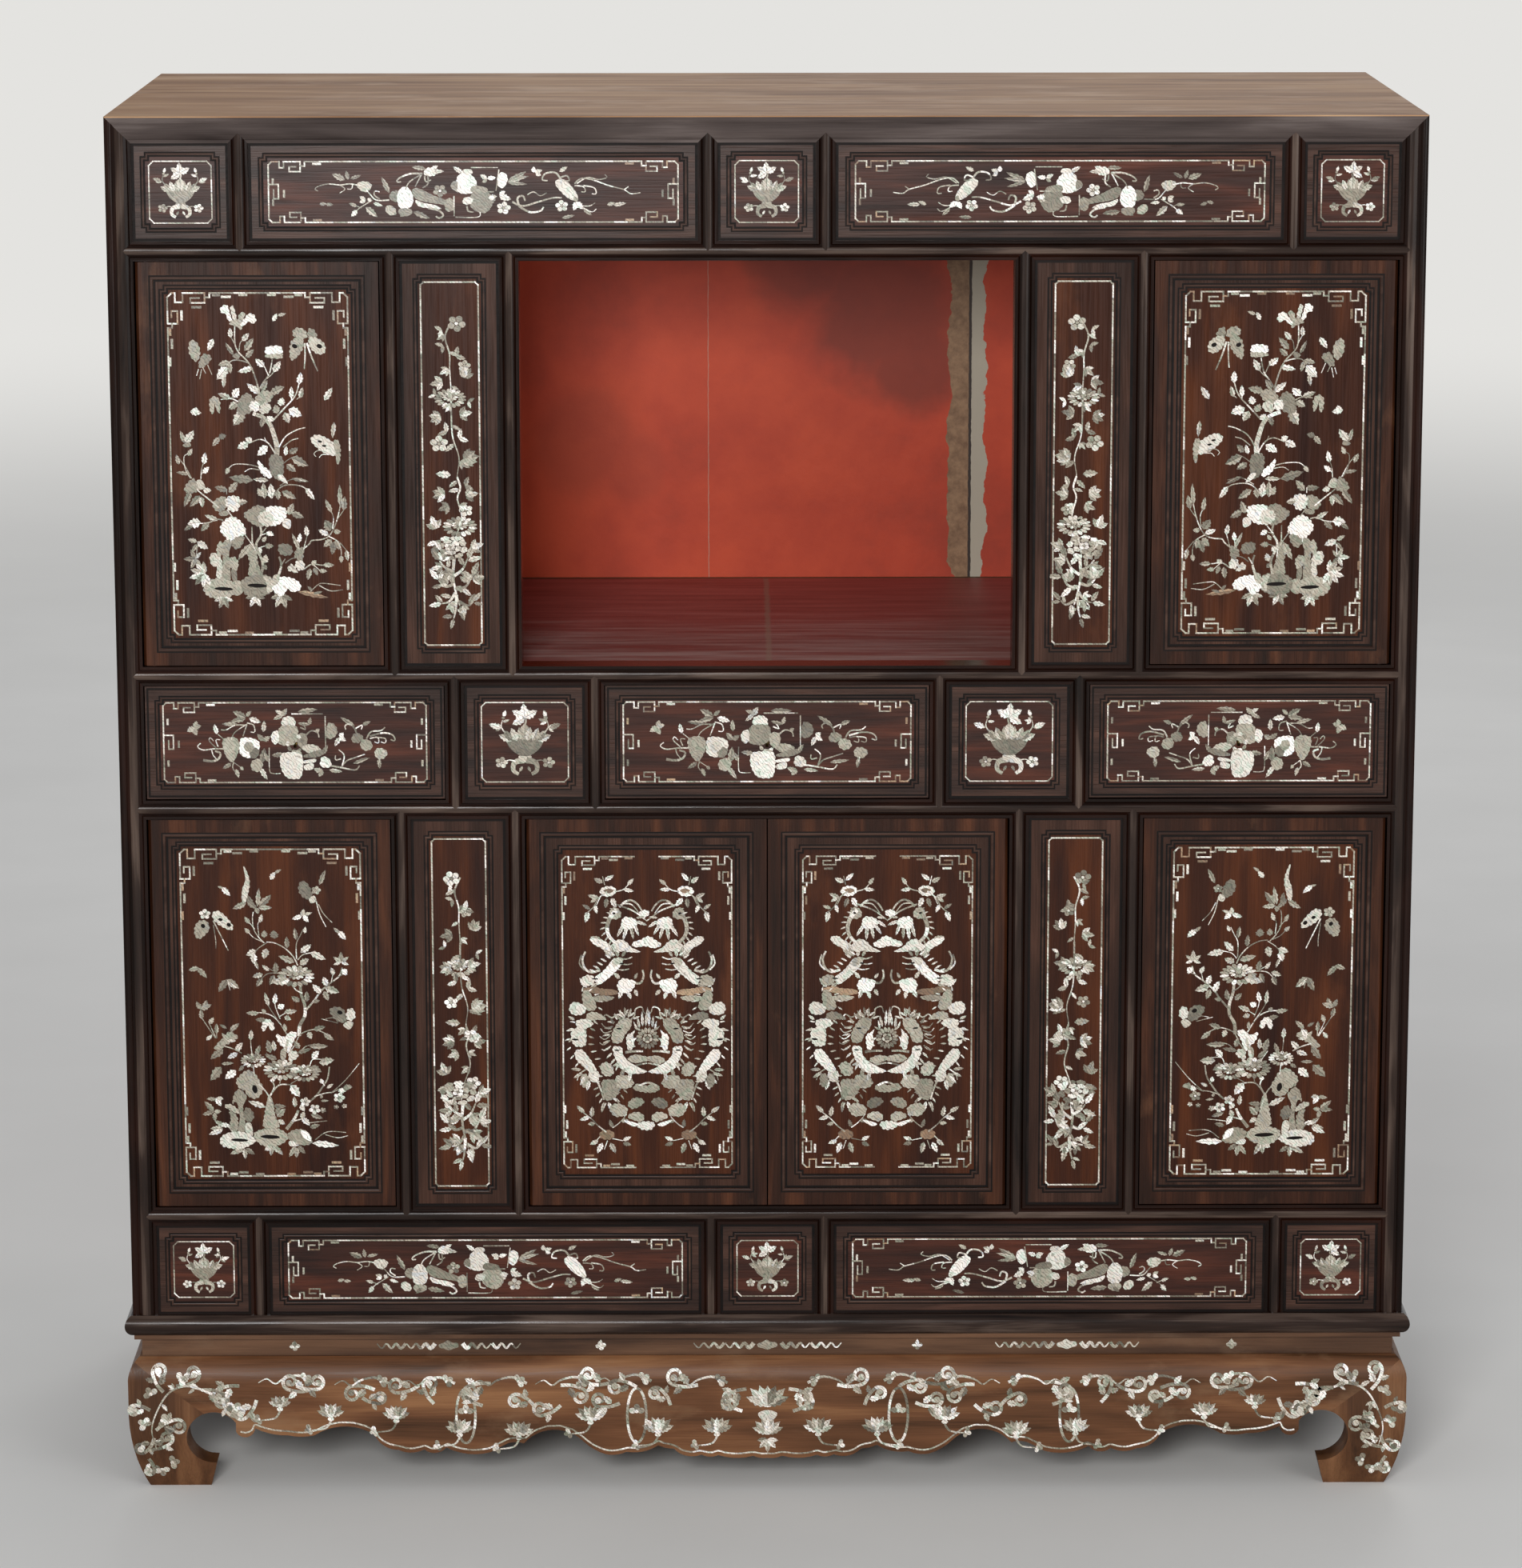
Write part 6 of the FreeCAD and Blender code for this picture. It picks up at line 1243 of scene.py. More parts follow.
@dataclass
class ClimberPanel(Panel):
    """A narrow upright panel with a flowering climber inside a plain line."""

    lower: bool = False

    def draw(self) -> None:
        """Draws the line and the climber."""
        self.outline(self.across, self.up, 1.4, 2.6)
        top = self.corner()
        across, up = self.across / CLIMBER_LINE[0], self.up / CLIMBER_LINE[1]
        stem = [(x * across, -y * up) for x, y in CLIMBER_STEM]
        for first in (0, 4, 8):
            self.branch(top, stem[first:first + 6], 1.7, 5, 9.5)
        blooms = LOWER_CLIMBER if self.lower else UPPER_CLIMBER
        for kind, x, y, width in blooms:
            getattr(self, kind.value)(top.at(x * across, -y * up), width)
        for x, y, turn, count, length in CLIMBER_LEAVES:
            self.fan(top.at(x * across, -y * up, turn), count, 85 if count > 1 else 0, length, length * 0.48)
        for leaf, *path in CLIMBER_SHOOTS:
            self.branch(top, [(x * across, -y * up) for x, y in path], 3.0, 3, leaf, Tip.LEAF)


@dataclass
class VesselPanel(Panel):
    """A long panel with vessels, fruit and tendrils."""

    plan: Sketch = VESSELS

    def draw(self) -> None:
        """Draws the line with its hooks and the vessels, and the round flower on a drawer."""
        self.hook_line(1.3)
        self.sketch(self.plan)
        if self.plan is VESSELS:
            self.ring(self.origin.at(0, -1), 5.6, 8.6, 9, 1.1)


@dataclass
class LotusSquare(Panel):
    """A small square panel with a lotus bowl over a scrolled foot."""

    def draw(self) -> None:
        """Draws the line and the lotus."""
        self.outline(self.across, self.up, 1.1, 4.0)
        spot = self.origin.at(0, -1, 0, min(self.across, self.up) / 62)
        bowl = smooth([(-15, 6), (-8, 4), (0, 3), (8, 4), (15, 6), (12, -3), (5, -9), (0, -10), (-5, -9),
                       (-12, -3)], 3, True)
        self.chip(spot, bowl, 0)
        for side in (1, -1):
            half = Spot(spot.x, spot.y, 0, spot.size, side)
            for x, turn in ((13, 25), (12, 48), (9, 66), (5, 78)):
                self.leaf(half.at(x - 3, 2, turn), 11, 5.4, tone=(0, 1)[x % 2])
            self.branch(half, [(15, 8), (18, 13), (17, 18)], 1.1, 2, 7, Tip.BUD)
            self.leaf(half.at(19, 12, 20), 9, 4.4)
            self.ribbon(half, [(1, -13), (8, -15), (9, -21), (5, -24)], 5.0, 2.6, bit=30)
            self.leaf(half.at(2, -18, -60), 5, 2.4)
            self.branch(half, [(7, -14), (12, -13), (15, -14)], 1.2, 0, 7)
            self.blossom(half.at(18, -15), 10)
        self.leaf(spot.at(0, 2, 90), 14, 9, tone=1)
        self.chip(spot, smooth([(-5, -10), (0, -9), (5, -10), (4, -14), (0, -15), (-4, -14)], 2, True), 1)
        self.ribbon(spot, [(0, 14), (1, 18), (0, 21)], 1.4)
        for turn in (150, 95, 30, 210):
            self.leaf(spot.at(0, 20, turn), 11, 6.2, tone=2)


# Stand

# Lower edge of the apron from its middle: the middle and the end of each arc, as shares of half the
# case's width and of the apron's height
APRON_EDGE_SHARES = (
    ((0.0117, 0.243), (0.023, 0.258)), ((0.0507, 0.242), (0.0782, 0.265)),
    ((0.0905, 0.251), (0.1045, 0.269)), ((0.124, 0.256), (0.1483, 0.314)),
    ((0.162, 0.3215), (0.1728, 0.340)), ((0.1935, 0.297), (0.2233, 0.291)),
    ((0.2405, 0.269), (0.2558, 0.2725)), ((0.2765, 0.317), (0.291, 0.370)),
    ((0.3395, 0.461), (0.3853, 0.357)), ((0.3962, 0.3665), (0.4103, 0.359)),
    ((0.4275, 0.3185), (0.4388, 0.290)), ((0.4755, 0.2785), (0.5083, 0.3277)),
    ((0.5245, 0.286), (0.543, 0.313)), ((0.5635, 0.288), (0.5838, 0.310)),
    ((0.6035, 0.333), (0.6215, 0.4277)), ((0.6715, 0.490), (0.7162, 0.4223)),
    ((0.7382, 0.411), (0.7575, 0.4223)), ((0.7865, 0.437), (0.810, 0.477)),
    ((0.827, 0.4085), (0.840, 0.450)),
)


@dataclass
class StandInlay(Ornament):
    """Scrolling lotus vine on the front of the stand: apron and two feet."""

    origin: Spot = Spot(0.0, 0.0)
    apron_top: float = 130.0
    half_width: float = 600.0

    def edge(self) -> list[Point]:
        """Lower edge of the right half of the apron, from its middle to the scroll."""
        point = (0.0, 0.243 * self.apron_top)
        run = [point]
        for (mid_across, mid_up), (end_across, end_up) in APRON_EDGE_SHARES:
            middle = (mid_across * self.half_width, mid_up * self.apron_top)
            end = (end_across * self.half_width, end_up * self.apron_top)
            run += arc_through(point, middle, end, 5)[1:]
            point = end
        return run

    def draw(self) -> None:
        """Draws the lines, the vine, the lotuses and the feet's scrolls."""
        edge = resample(self.edge(), 2.0)
        for side in (1, -1):
            half = Spot(0.0, 0.0, flip=side)
            self.ribbon(half, [(x, z + 4.4) for x, z in edge[:-3:3]], 1.5, bit=14.0)
            self.vine(half)
            self.foot(half)
        self.lotus(self.origin.at(0, 84), 42)
        self.chip(self.origin, smooth([(-9, 76), (0, 79), (9, 76), (6, 70), (0, 67), (-6, 70)], 3, True), 2)
        self.lotus(self.origin.at(0, 56), 30)
        self.fan(self.origin.at(0, 50, 270), 5, 160, 13, 6)

    def scroll(self, spot: Spot, reach: float, hand: int = 1) -> None:
        """A broad leaf scroll that thins into its curl, with a lobe at its root."""
        self.curl(spot, reach, 3.4, 1.15, hand)
        self.leaf(spot.at(reach * 0.3, hand * 1.0, hand * 55), reach * 0.42, reach * 0.24)
        self.leaf(spot.at(reach * 0.5, -hand * 2.0, -hand * 40), reach * 0.36, reach * 0.2)

    def lobes(self, spot: Spot, size: float) -> None:
        """A knot of three round lobes."""
        for turn in (-80, 0, 80):
            self.disc(spot.at(0, 0, turn).at(size * 0.34, 0), size * 0.56, 0.85)
        self.disc(spot, size * 0.3, tone=2)

    def vine(self, half: Spot) -> None:
        """Draws one half of the vine."""
        for x, z, across in ((48, 58, 30), (104, 58, 31), (168, 70, 30), (236, 55, 29), (292, 58, 28),
                             (352, 72, 27), (414, 74, 27), (462, 84, 22)):
            self.lotus(half.at(x, z), across)
            self.disc(half.at(x, z - 3), 6, 0.7, tone=2)
            self.ribbon(half, [(x, z - 5), (x + 5, z - 12), (x + 18, z - 14)], 2.0, 1.2)
            self.lobes(half.at(x + 20, z - 13, -20), 9)
        for x, z, turn, reach, hand in (
                (20, 100, -20, 28, -1), (24, 78, 30, 24, 1), (66, 104, 0, 30, 1), (92, 84, 60, 24, -1),
                (124, 102, 20, 26, -1), (140, 86, -10, 26, 1), (150, 106, 0, 28, 1), (196, 104, 190, 28, 1),
                (196, 84, -30, 26, 1), (220, 82, 40, 26, -1), (262, 106, -10, 30, -1), (270, 84, 30, 24, 1),
                (316, 86, 60, 26, 1), (330, 104, -20, 28, 1), (372, 100, 10, 28, -1), (384, 92, 200, 22, -1),
                (432, 100, 0, 28, 1), (446, 104, 190, 26, -1), (484, 90, -60, 26, 1),
                (500, 104, -10, 28, -1)):
            self.scroll(half.at(x, z, turn), reach, hand)
        for x, z in ((60, 112), (132, 114), (190, 112), (250, 112), (318, 112), (380, 112), (452, 114)):
            self.ribbon(half, [(x - 22, z - 6), (x - 8, z), (x + 6, z - 3), (x + 14, z - 8), (x + 22, z - 3),
                               (x + 30, z - 7)], 2.8, 0.8, bit=12)
            self.lobes(half.at(x - 14, z - 4, 150), 11)
        for x in (124, 286):
            self.ribbon(half, [(x + 9 * math.sin(math.tau * k / 16), 74 + 27 * math.cos(math.tau * k / 16))
                               for k in range(17)], 2.4, bit=10)
            self.lobes(half.at(x, 78, 90), 12)

    def foot(self, half: Spot) -> None:
        """Draws the scrolls on one foot and where the apron meets it."""
        self.branch(half, [(526, 96), (548, 104), (566, 98), (578, 80), (584, 60), (580, 40)], 2.4, 5, 9)
        for x, z, turn, reach, hand in (
                (572, 98, 60, 26, 1), (560, 104, 165, 26, -1), (585, 80, 20, 20, -1), (580, 60, 150, 28, 1),
                (582, 52, 300, 22, 1), (584, 40, 160, 24, -1), (588, 30, 250, 18, 1), (536, 100, 190, 28, 1),
                (516, 92, 250, 22, -1)):
            self.scroll(half.at(x, z, turn), reach, hand)
        for x, z, turn in ((584, 96, 60), (556, 110, 160), (574, 70, 200), (576, 18, 260), (506, 84, 250),
                           (590, 66, 30), (566, 26, 170)):
            self.lobes(half.at(x, z, turn), 12)


@dataclass
class WaistInlay(Ornament):
    """Cloud ribbons and small flowers along the waist of the stand."""

    origin: Spot = Spot(0.0, 0.0)
    level: float = 139.0

    def draw(self) -> None:
        """Draws three strips of cloud and the flowers between them."""
        for x, length in ((-302, 136), (0, 140), (284, 136)):
            spot = self.origin.at(x, self.level)
            for side in (1, -1):
                half = Spot(spot.x, spot.y, flip=side)
                for first, last, width in ((13, 40, 4.2), (41, length / 2, 3.0)):
                    count = 6
                    run = [(first + (last - first) * k / count, 2.4 * (-1) ** k) for k in range(count + 1)]
                    self.ribbon(half, run, width, 1.0, bit=9)
            self.cloud(spot.at(0, -1.0), 24)
        for x in (-448, -158, 142, 440):
            self.blossom(self.origin.at(x, self.level), 10, 4)
            self.fan(self.origin.at(x, self.level - 1, 90), 3, 150, 7, 3.6)


# Finishes


def linear(colour: str) -> tuple[float, float, float, float]:
    """Turns an sRGB hex colour such as #8A6A4E into linear red, green, blue and alpha."""
    shares = [int(colour[k:k + 2], 16) / 255 for k in (1, 3, 5)]
    return (*(s / 12.92 if s <= 0.04045 else ((s + 0.055) / 1.055) ** 2.4 for s in shares), 1.0)


def node(tree: bpy.types.NodeTree, kind: str, settings: dict | None = None,
         inputs: dict | None = None) -> bpy.types.Node:
    """Adds one shader node.

    Args:
        tree: the tree that it goes into.
        kind: its type, after the word ShaderNode.
        settings: its properties; stops are the positions and sRGB colours of a colour ramp.
        inputs: values or output sockets for its inputs, by name or number.
    Returns:
        The new node.
    """
    new = tree.nodes.new(f"ShaderNode{kind}")
    for key, value in (settings or {}).items():
        if key == "stops":
            band = new.color_ramp.elements
            for _ in value[len(band):]:
                band.new(0.5)
            for element, (place, colour) in zip(band, value):
                element.position, element.color = place, linear(colour)
        else:
            setattr(new, key, value)
    for key, value in (inputs or {}).items():
        if isinstance(value, bpy.types.NodeSocket):
            tree.links.new(value, new.inputs[key])
        else:
            new.inputs[key].default_value = value
    return new


@dataclass(frozen=True)
class Finish:
    """A finish that can be put on pieces."""

    name: str

    def material(self) -> bpy.types.Material:
        """The finish's material, made when it is first needed."""
        found = bpy.data.materials.get(self.name)
        if found is None:
            found = bpy.data.materials.new(self.name)
            found.use_nodes = True
            tree = found.node_tree
            tree.nodes.clear()
            surface = self.surface(tree)
            node(tree, "OutputMaterial", inputs={"Surface": surface.outputs[0]})
        return found

    def surface(self, tree: bpy.types.NodeTree) -> bpy.types.Node:
        """Adds the finish's shader to the tree and returns it."""
        raise NotImplementedError


class Along(Enum):
    """The way the grain runs."""

    X = 0
    Y = 1
    Z = 2


@dataclass(frozen=True)
class Wood(Finish):
    """A wood under wax, oil or nothing: long fibres, soft figure, pores and wear.

    colours are its dark, middle and light tones. figure is the width of a band of the figure and
    fibre that of one fibre, both in millimetres; worn is the tone that wear brings out, over the
    share worn_share of the surface. Where an edge is set, the surface beyond that place in
    millimetres has the tones of rim instead, such as the border round a sunk field.
    """

    colours: tuple[str, str, str] = ("#2A1A14", "#54301E", "#6A3A1E")
    along: Along = Along.Z
    figure: float = 18.0
    fibre: float = 1.3
    roughness: float = 0.38
    worn: str = "#7A5238"
    worn_share: float = 0.3
    bump: float = 0.12
    gloss: float = 0.2
    rim: tuple[str, str, str] = ("#1E110C", "#311E16", "#4A3025")
    rim_axis: Along = Along.Y
    edge: float | None = None

    def surface(self, tree: bpy.types.NodeTree) -> bpy.types.Node:
        """Fibres and figure stretched along the grain drive colour, gloss and relief."""
        place = node(tree, "TexCoord").outputs["Object"]

        def stretched(across: float, length: float) -> bpy.types.NodeSocket:
            """Object coordinates scaled so that one unit is so many millimetres across and along."""
            scale = [1 / (across * MM)] * 3
            scale[self.along.value] = 1 / (length * MM)
            return node(tree, "Mapping", inputs={"Vector": place, "Scale": scale}).outputs[0]

        figure = node(tree, "TexNoise",
                      inputs={"Vector": stretched(self.figure, self.figure * 9), "Scale": 1.0, "Detail": 3.0,
                              "Roughness": 0.5, "Distortion": 0.6}).outputs[0]
        fibre = node(tree, "TexNoise",
                     inputs={"Vector": stretched(self.fibre, self.fibre * 40), "Scale": 1.0, "Detail": 3.0,
                             "Roughness": 0.55}).outputs[0]
        both = node(tree, "Mix", {"data_type": "FLOAT"},
                    {"Factor": 0.2, 2: figure, 3: fibre}).outputs[0]
        places = (0.3, 0.5, 0.72)
        colour = node(tree, "ValToRGB", {"stops": tuple(zip(places, self.colours))},
                      {"Fac": both}).outputs[0]
        if self.edge is not None:
            axis = node(tree, "SeparateXYZ", inputs={"Vector": place}).outputs[self.rim_axis.value]
            beyond = node(tree, "Math", {"operation": "LESS_THAN"},
                          {0: axis, 1: self.edge * MM}).outputs[0]
            rim = node(tree, "ValToRGB", {"stops": tuple(zip(places, self.rim))},
                       {"Fac": both}).outputs[0]
            colour = node(tree, "Mix", {"data_type": "RGBA"},
                          {"Factor": beyond, 6: colour, 7: rim}).outputs[2]
        patch = node(tree, "TexNoise",
                     inputs={"Vector": stretched(60.0, 130.0), "Scale": 1.0, "Detail": 6.0,
                             "Roughness": 0.65}).outputs[0]
        worn = node(tree, "MapRange",
                    inputs={"Value": patch, "From Min": 0.72 - self.worn_share * 0.5,
                            "From Max": 0.9 - self.worn_share * 0.3, "To Max": 0.75}).outputs[0]
        if self.edge is not None:
            worn = node(tree, "Math", {"operation": "MULTIPLY_ADD"},
                        {0: beyond, 1: -1.0, 2: worn}).outputs[0]
        mixed = node(tree, "Mix", {"data_type": "RGBA", "clamp_factor": True},
                     {"Factor": worn, 6: colour, 7: linear(self.worn)}).outputs[2]
        rough = node(tree, "MapRange",
                     inputs={"Value": fibre, "From Min": 0.3, "From Max": 0.75,
                             "To Min": self.roughness - 0.06, "To Max": self.roughness + 0.12}).outputs[0]
        relief = node(tree, "Bump",
                      inputs={"Strength": 0.5, "Distance": self.bump * MM, "Height": fibre}).outputs[0]
        return node(tree, "BsdfPrincipled",
                    inputs={"Base Color": mixed, "Roughness": rough, "Normal": relief, "IOR": 1.5,
                            "Specular IOR Level": self.gloss})


@dataclass(frozen=True)
class Pearl(Finish):
    """Mother-of-pearl, sawn and polished flat: each chip has its own tone and a faint play of colour."""

    dark: str = "#8C8A7C"
    middle: str = "#BDB8AA"
    light: str = "#E4E1D6"

    def surface(self, tree: bpy.types.NodeTree) -> bpy.types.Node:
        """A tone for each chip, growth bands inside it and engraved hair lines."""
        place = node(tree, "TexCoord").outputs["Object"]
        island = node(tree, "NewGeometry").outputs["Random Per Island"]
        bands = node(tree, "TexNoise",
                     inputs={"Vector": place, "Scale": 1 / (7 * MM), "Detail": 4.0,
                             "Distortion": 1.2}).outputs[0]
        blend = node(tree, "Mix", {"data_type": "FLOAT"},
                     {"Factor": 0.5, 2: island, 3: bands}).outputs[0]
        colour = node(tree, "ValToRGB",
                      {"stops": ((0.22, self.dark), (0.5, self.middle), (0.78, self.light))},
                      {"Fac": blend}).outputs[0]
        sheen = node(tree, "TexNoise", inputs={"Vector": place, "Scale": 1 / (11 * MM), "Detail": 2.0,
                                               "Distortion": 2.0}).outputs[0]
        play = node(tree, "ValToRGB",
                    {"stops": ((0.34, "#B9D6C8"), (0.46, "#FFFFFF"), (0.56, "#F6E3DC"), (0.68, "#C9D3E6"))},
                    {"Fac": sheen}).outputs[0]
        tinted = node(tree, "Mix", {"data_type": "RGBA", "blend_type": "MULTIPLY"},
                      {"Factor": 0.6, 6: colour, 7: play}).outputs[2]
        lines = node(tree, "TexWave", {"bands_direction": "DIAGONAL"},
                     {"Vector": place, "Scale": 1 / (6 * MM), "Distortion": 9.0, "Detail": 2.0}).outputs[0]
        cuts = node(tree, "ValToRGB", {"stops": ((0.03, "#8E8A7E"), (0.2, "#FFFFFF"))},
                    {"Fac": lines}).outputs[0]
        tinted = node(tree, "Mix", {"data_type": "RGBA", "blend_type": "MULTIPLY"},
                      {"Factor": 0.75, 6: tinted, 7: cuts}).outputs[2]
        relief = node(tree, "Bump",
                      inputs={"Strength": 0.35, "Distance": 0.08 * MM, "Height": lines}).outputs[0]
        return node(tree, "BsdfPrincipled",
                    inputs={"Base Color": tinted, "Roughness": 0.28, "Normal": relief, "IOR": 1.6,
                            "Coat Weight": 0.3, "Coat Roughness": 0.15})


@dataclass(frozen=True)
class Lacquer(Finish):
    """Old red lacquer on boards: dark stains, an opened joint and one strip torn down to the wood.

    Each stain is its middle across and up and its reach in millimetres, and its strength.
    """

    reds: tuple[str, str, str] = ("#BE4423", "#B03A1D", "#9A321A")
    stain: str = "#5E2214"
    bare: tuple[str, str, str] = ("#6E5038", "#8F6F52", "#A69C8B")
    gap: str = "#2E211A"
    stains: tuple[tuple[float, float, float, float], ...] = ((120, 1064, 84, 0.66), (48, 1118, 66, 0.6),
                                                             (150, 1012, 54, 0.66), (-182, 935, 52, 0.25),
                                                             (-130, 905, 36, 0.2))
    strip: tuple[float, float] = (204.0, 18.0)
    crack: float = -56.0

    def surface(self, tree: bpy.types.NodeTree) -> bpy.types.Node:
        """Stains and the torn strip are placed from the middle of the boards."""
        place = node(tree, "TexCoord").outputs["Object"]
        across = node(tree, "SeparateXYZ", inputs={"Vector": place}).outputs[0]
        cloudy = node(tree, "TexNoise",
                      inputs={"Vector": place, "Scale": 1 / (130 * MM), "Detail": 6.0,
                              "Roughness": 0.66}).outputs[0]
        fine = node(tree, "TexNoise",
                    inputs={"Vector": place, "Scale": 1 / (9 * MM), "Detail": 6.0,
                            "Roughness": 0.7}).outputs[0]
        colour = node(tree, "ValToRGB", {"stops": tuple(zip((0.36, 0.54, 0.72), self.reds))},
                      {"Fac": cloudy}).outputs[0]

        def over(below: bpy.types.NodeSocket, mask: bpy.types.NodeSocket, tone: str) -> bpy.types.NodeSocket:
            """Lays a tone over a colour where the mask says."""
            return node(tree, "Mix", {"data_type": "RGBA"},
                        {"Factor": mask, 6: below, 7: linear(tone)}).outputs[2]

        wide = node(tree, "TexNoise",
                    inputs={"Vector": place, "Scale": 1 / (34 * MM), "Detail": 7.0,
                            "Roughness": 0.6}).outputs[0]
        edge = node(tree, "Mix", {"data_type": "FLOAT"}, {"Factor": 0.4, 2: cloudy, 3: wide}).outputs[0]
        stained: bpy.types.NodeSocket | float = 0.0
        for x, z, reach, strength in self.stains:
            far = node(tree, "VectorMath", {"operation": "DISTANCE"},
                       {0: place, 1: (x * MM, 0.24, z * MM)}).outputs["Value"]
            ragged = node(tree, "Math", {"operation": "MULTIPLY_ADD"},
                          {0: edge, 1: reach * MM * 1.6, 2: far}).outputs[0]
            mask = node(tree, "MapRange", {"interpolation_type": "SMOOTHSTEP"},
                        {"Value": ragged, "From Min": reach * MM * 1.4, "From Max": reach * MM * 2.0,
                         "To Min": strength, "To Max": 0.0}).outputs[0]
            stained = node(tree, "Math", {"operation": "MAXIMUM"}, {0: stained, 1: mask}).outputs[0]
        colour = over(colour, stained, self.stain)

        def near(middle: float, half: float, ragged: float,
                 noise: bpy.types.NodeSocket) -> bpy.types.NodeSocket:
            """A mask for an upright strip with ragged sides, all in millimetres."""
            moved = node(tree, "Math", {"operation": "MULTIPLY_ADD"},
                         {0: noise, 1: ragged * MM, 2: across}).outputs[0]
            aside = node(tree, "Math", {"operation": "SUBTRACT"},
                         {0: moved, 1: (middle + ragged / 2) * MM}).outputs[0]
            away = node(tree, "Math", {"operation": "ABSOLUTE"}, {0: aside}).outputs[0]
            return node(tree, "Math", {"operation": "LESS_THAN"}, {0: away, 1: half * MM}).outputs[0]

        right = node(tree, "Math", {"operation": "GREATER_THAN"},
                     {0: across, 1: (self.strip[0] + 3) * MM}).outputs[0]
        wood = node(tree, "ValToRGB", {"stops": ((0.35, self.bare[0]), (0.62, self.bare[1]))},
                    {"Fac": fine}).outputs[0]
        bare = over(wood, right, self.bare[2])
        colour = node(tree, "Mix", {"data_type": "RGBA"},
                      {"Factor": near(*self.strip, 26.0, wide), 6: colour, 7: bare}).outputs[2]
        colour = over(colour, near(self.strip[0] + 3, 1.4, 3.0, fine), self.gap)
        broken = node(tree, "Math", {"operation": "MULTIPLY", "use_clamp": True},
                      {0: near(self.crack, 0.4, 2.0, fine), 1: wide}).outputs[0]
        colour = over(colour, broken, self.bare[2])
        relief = node(tree, "Bump",
                      inputs={"Strength": 0.6, "Distance": 0.3 * MM, "Height": fine}).outputs[0]
        return node(tree, "BsdfPrincipled",
                    inputs={"Base Color": colour, "Roughness": 0.5, "Normal": relief,
                            "Specular IOR Level": 0.25})


@dataclass(frozen=True)
class BayFloor(Finish):
    """Stained boards, red where the lacquer ran at the back and rubbed grey towards the front."""

    back: tuple[str, str] = ("#8C403C", "#AC5C56")
    front: tuple[str, str] = ("#58423E", "#A08C86")
    seam: str = "#93806F"

    def surface(self, tree: bpy.types.NodeTree) -> bpy.types.Node:
        """Long streaks mix the two ends; one pale seam crosses the boards in the middle."""
        place = node(tree, "TexCoord").outputs["Object"]
        parts = node(tree, "SeparateXYZ", inputs={"Vector": place}).outputs
        streaks = node(tree, "TexNoise",
                       inputs={"Vector": node(tree, "Mapping", inputs={
                           "Vector": place, "Scale": (1 / (160 * MM), 1 / (14 * MM), 1.0)}).outputs[0],
                               "Scale": 1.0, "Detail": 7.0, "Roughness": 0.65}).outputs[0]
        forward = node(tree, "MapRange",
                       inputs={"Value": parts[1], "From Min": 0.1, "From Max": -0.14}).outputs[0]
        share = node(tree, "Math", {"operation": "MULTIPLY_ADD", "use_clamp": True},
                     {0: streaks, 1: 1.6, 2: node(tree, "Math", {"operation": "SUBTRACT"},
                                                  {0: forward, 1: 1.2}).outputs[0]}).outputs[0]
        tones = [node(tree, "ValToRGB", {"stops": tuple(zip((0.36, 0.64), pair))},
                      {"Fac": streaks}).outputs[0] for pair in (self.back, self.front)]
        colour = node(tree, "Mix", {"data_type": "RGBA"},
                      {"Factor": share, 6: tones[0], 7: tones[1]}).outputs[2]
        wander = node(tree, "Math", {"operation": "MULTIPLY_ADD"},
                      {0: streaks, 1: 0.006, 2: parts[0]}).outputs[0]
        aside = node(tree, "Math", {"operation": "ABSOLUTE"},
                     {0: node(tree, "Math", {"operation": "SUBTRACT"},
                              {0: wander, 1: 0.005}).outputs[0]}).outputs[0]
        seam = node(tree, "MapRange", inputs={
            "Value": aside, "From Min": 0.0015, "From Max": 0.0035, "To Min": 0.6, "To Max": 0.0}).outputs[0]
        colour = node(tree, "Mix", {"data_type": "RGBA"},
                      {"Factor": seam, 6: colour, 7: linear(self.seam)}).outputs[2]
        relief = node(tree, "Bump",
                      inputs={"Strength": 0.5, "Distance": 0.3 * MM, "Height": streaks}).outputs[0]
        return node(tree, "BsdfPrincipled",
                    inputs={"Base Color": colour, "Roughness": 0.5, "Normal": relief,
                            "Specular IOR Level": 0.3})


@dataclass(frozen=True)
class Brass(Finish):
    """Dull cast brass: browned in patches and finely pitted."""

    colours: tuple[str, str] = ("#6E5A30", "#B09352")

    def surface(self, tree: bpy.types.NodeTree) -> bpy.types.Node:
        """Tarnish drives colour and gloss together."""
        place = node(tree, "TexCoord").outputs["Object"]
        stain = node(tree, "TexNoise",
                     inputs={"Vector": place, "Scale": 1 / (6 * MM), "Detail": 6.0,
                             "Roughness": 0.65}).outputs[0]
        colour = node(tree, "ValToRGB", {"stops": ((0.36, self.colours[0]), (0.62, self.colours[1]))},
                      {"Fac": stain}).outputs[0]
        rough = node(tree, "MapRange",
                     inputs={"Value": stain, "To Min": 0.55, "To Max": 0.3}).outputs[0]
        pits = node(tree, "Bump", inputs={"Strength": 0.4, "Distance": 0.1 * MM, "Height": stain})
        return node(tree, "BsdfPrincipled",
                    inputs={"Base Color": colour, "Metallic": 1.0, "Roughness": rough,
                            "Normal": pits.outputs[0]})


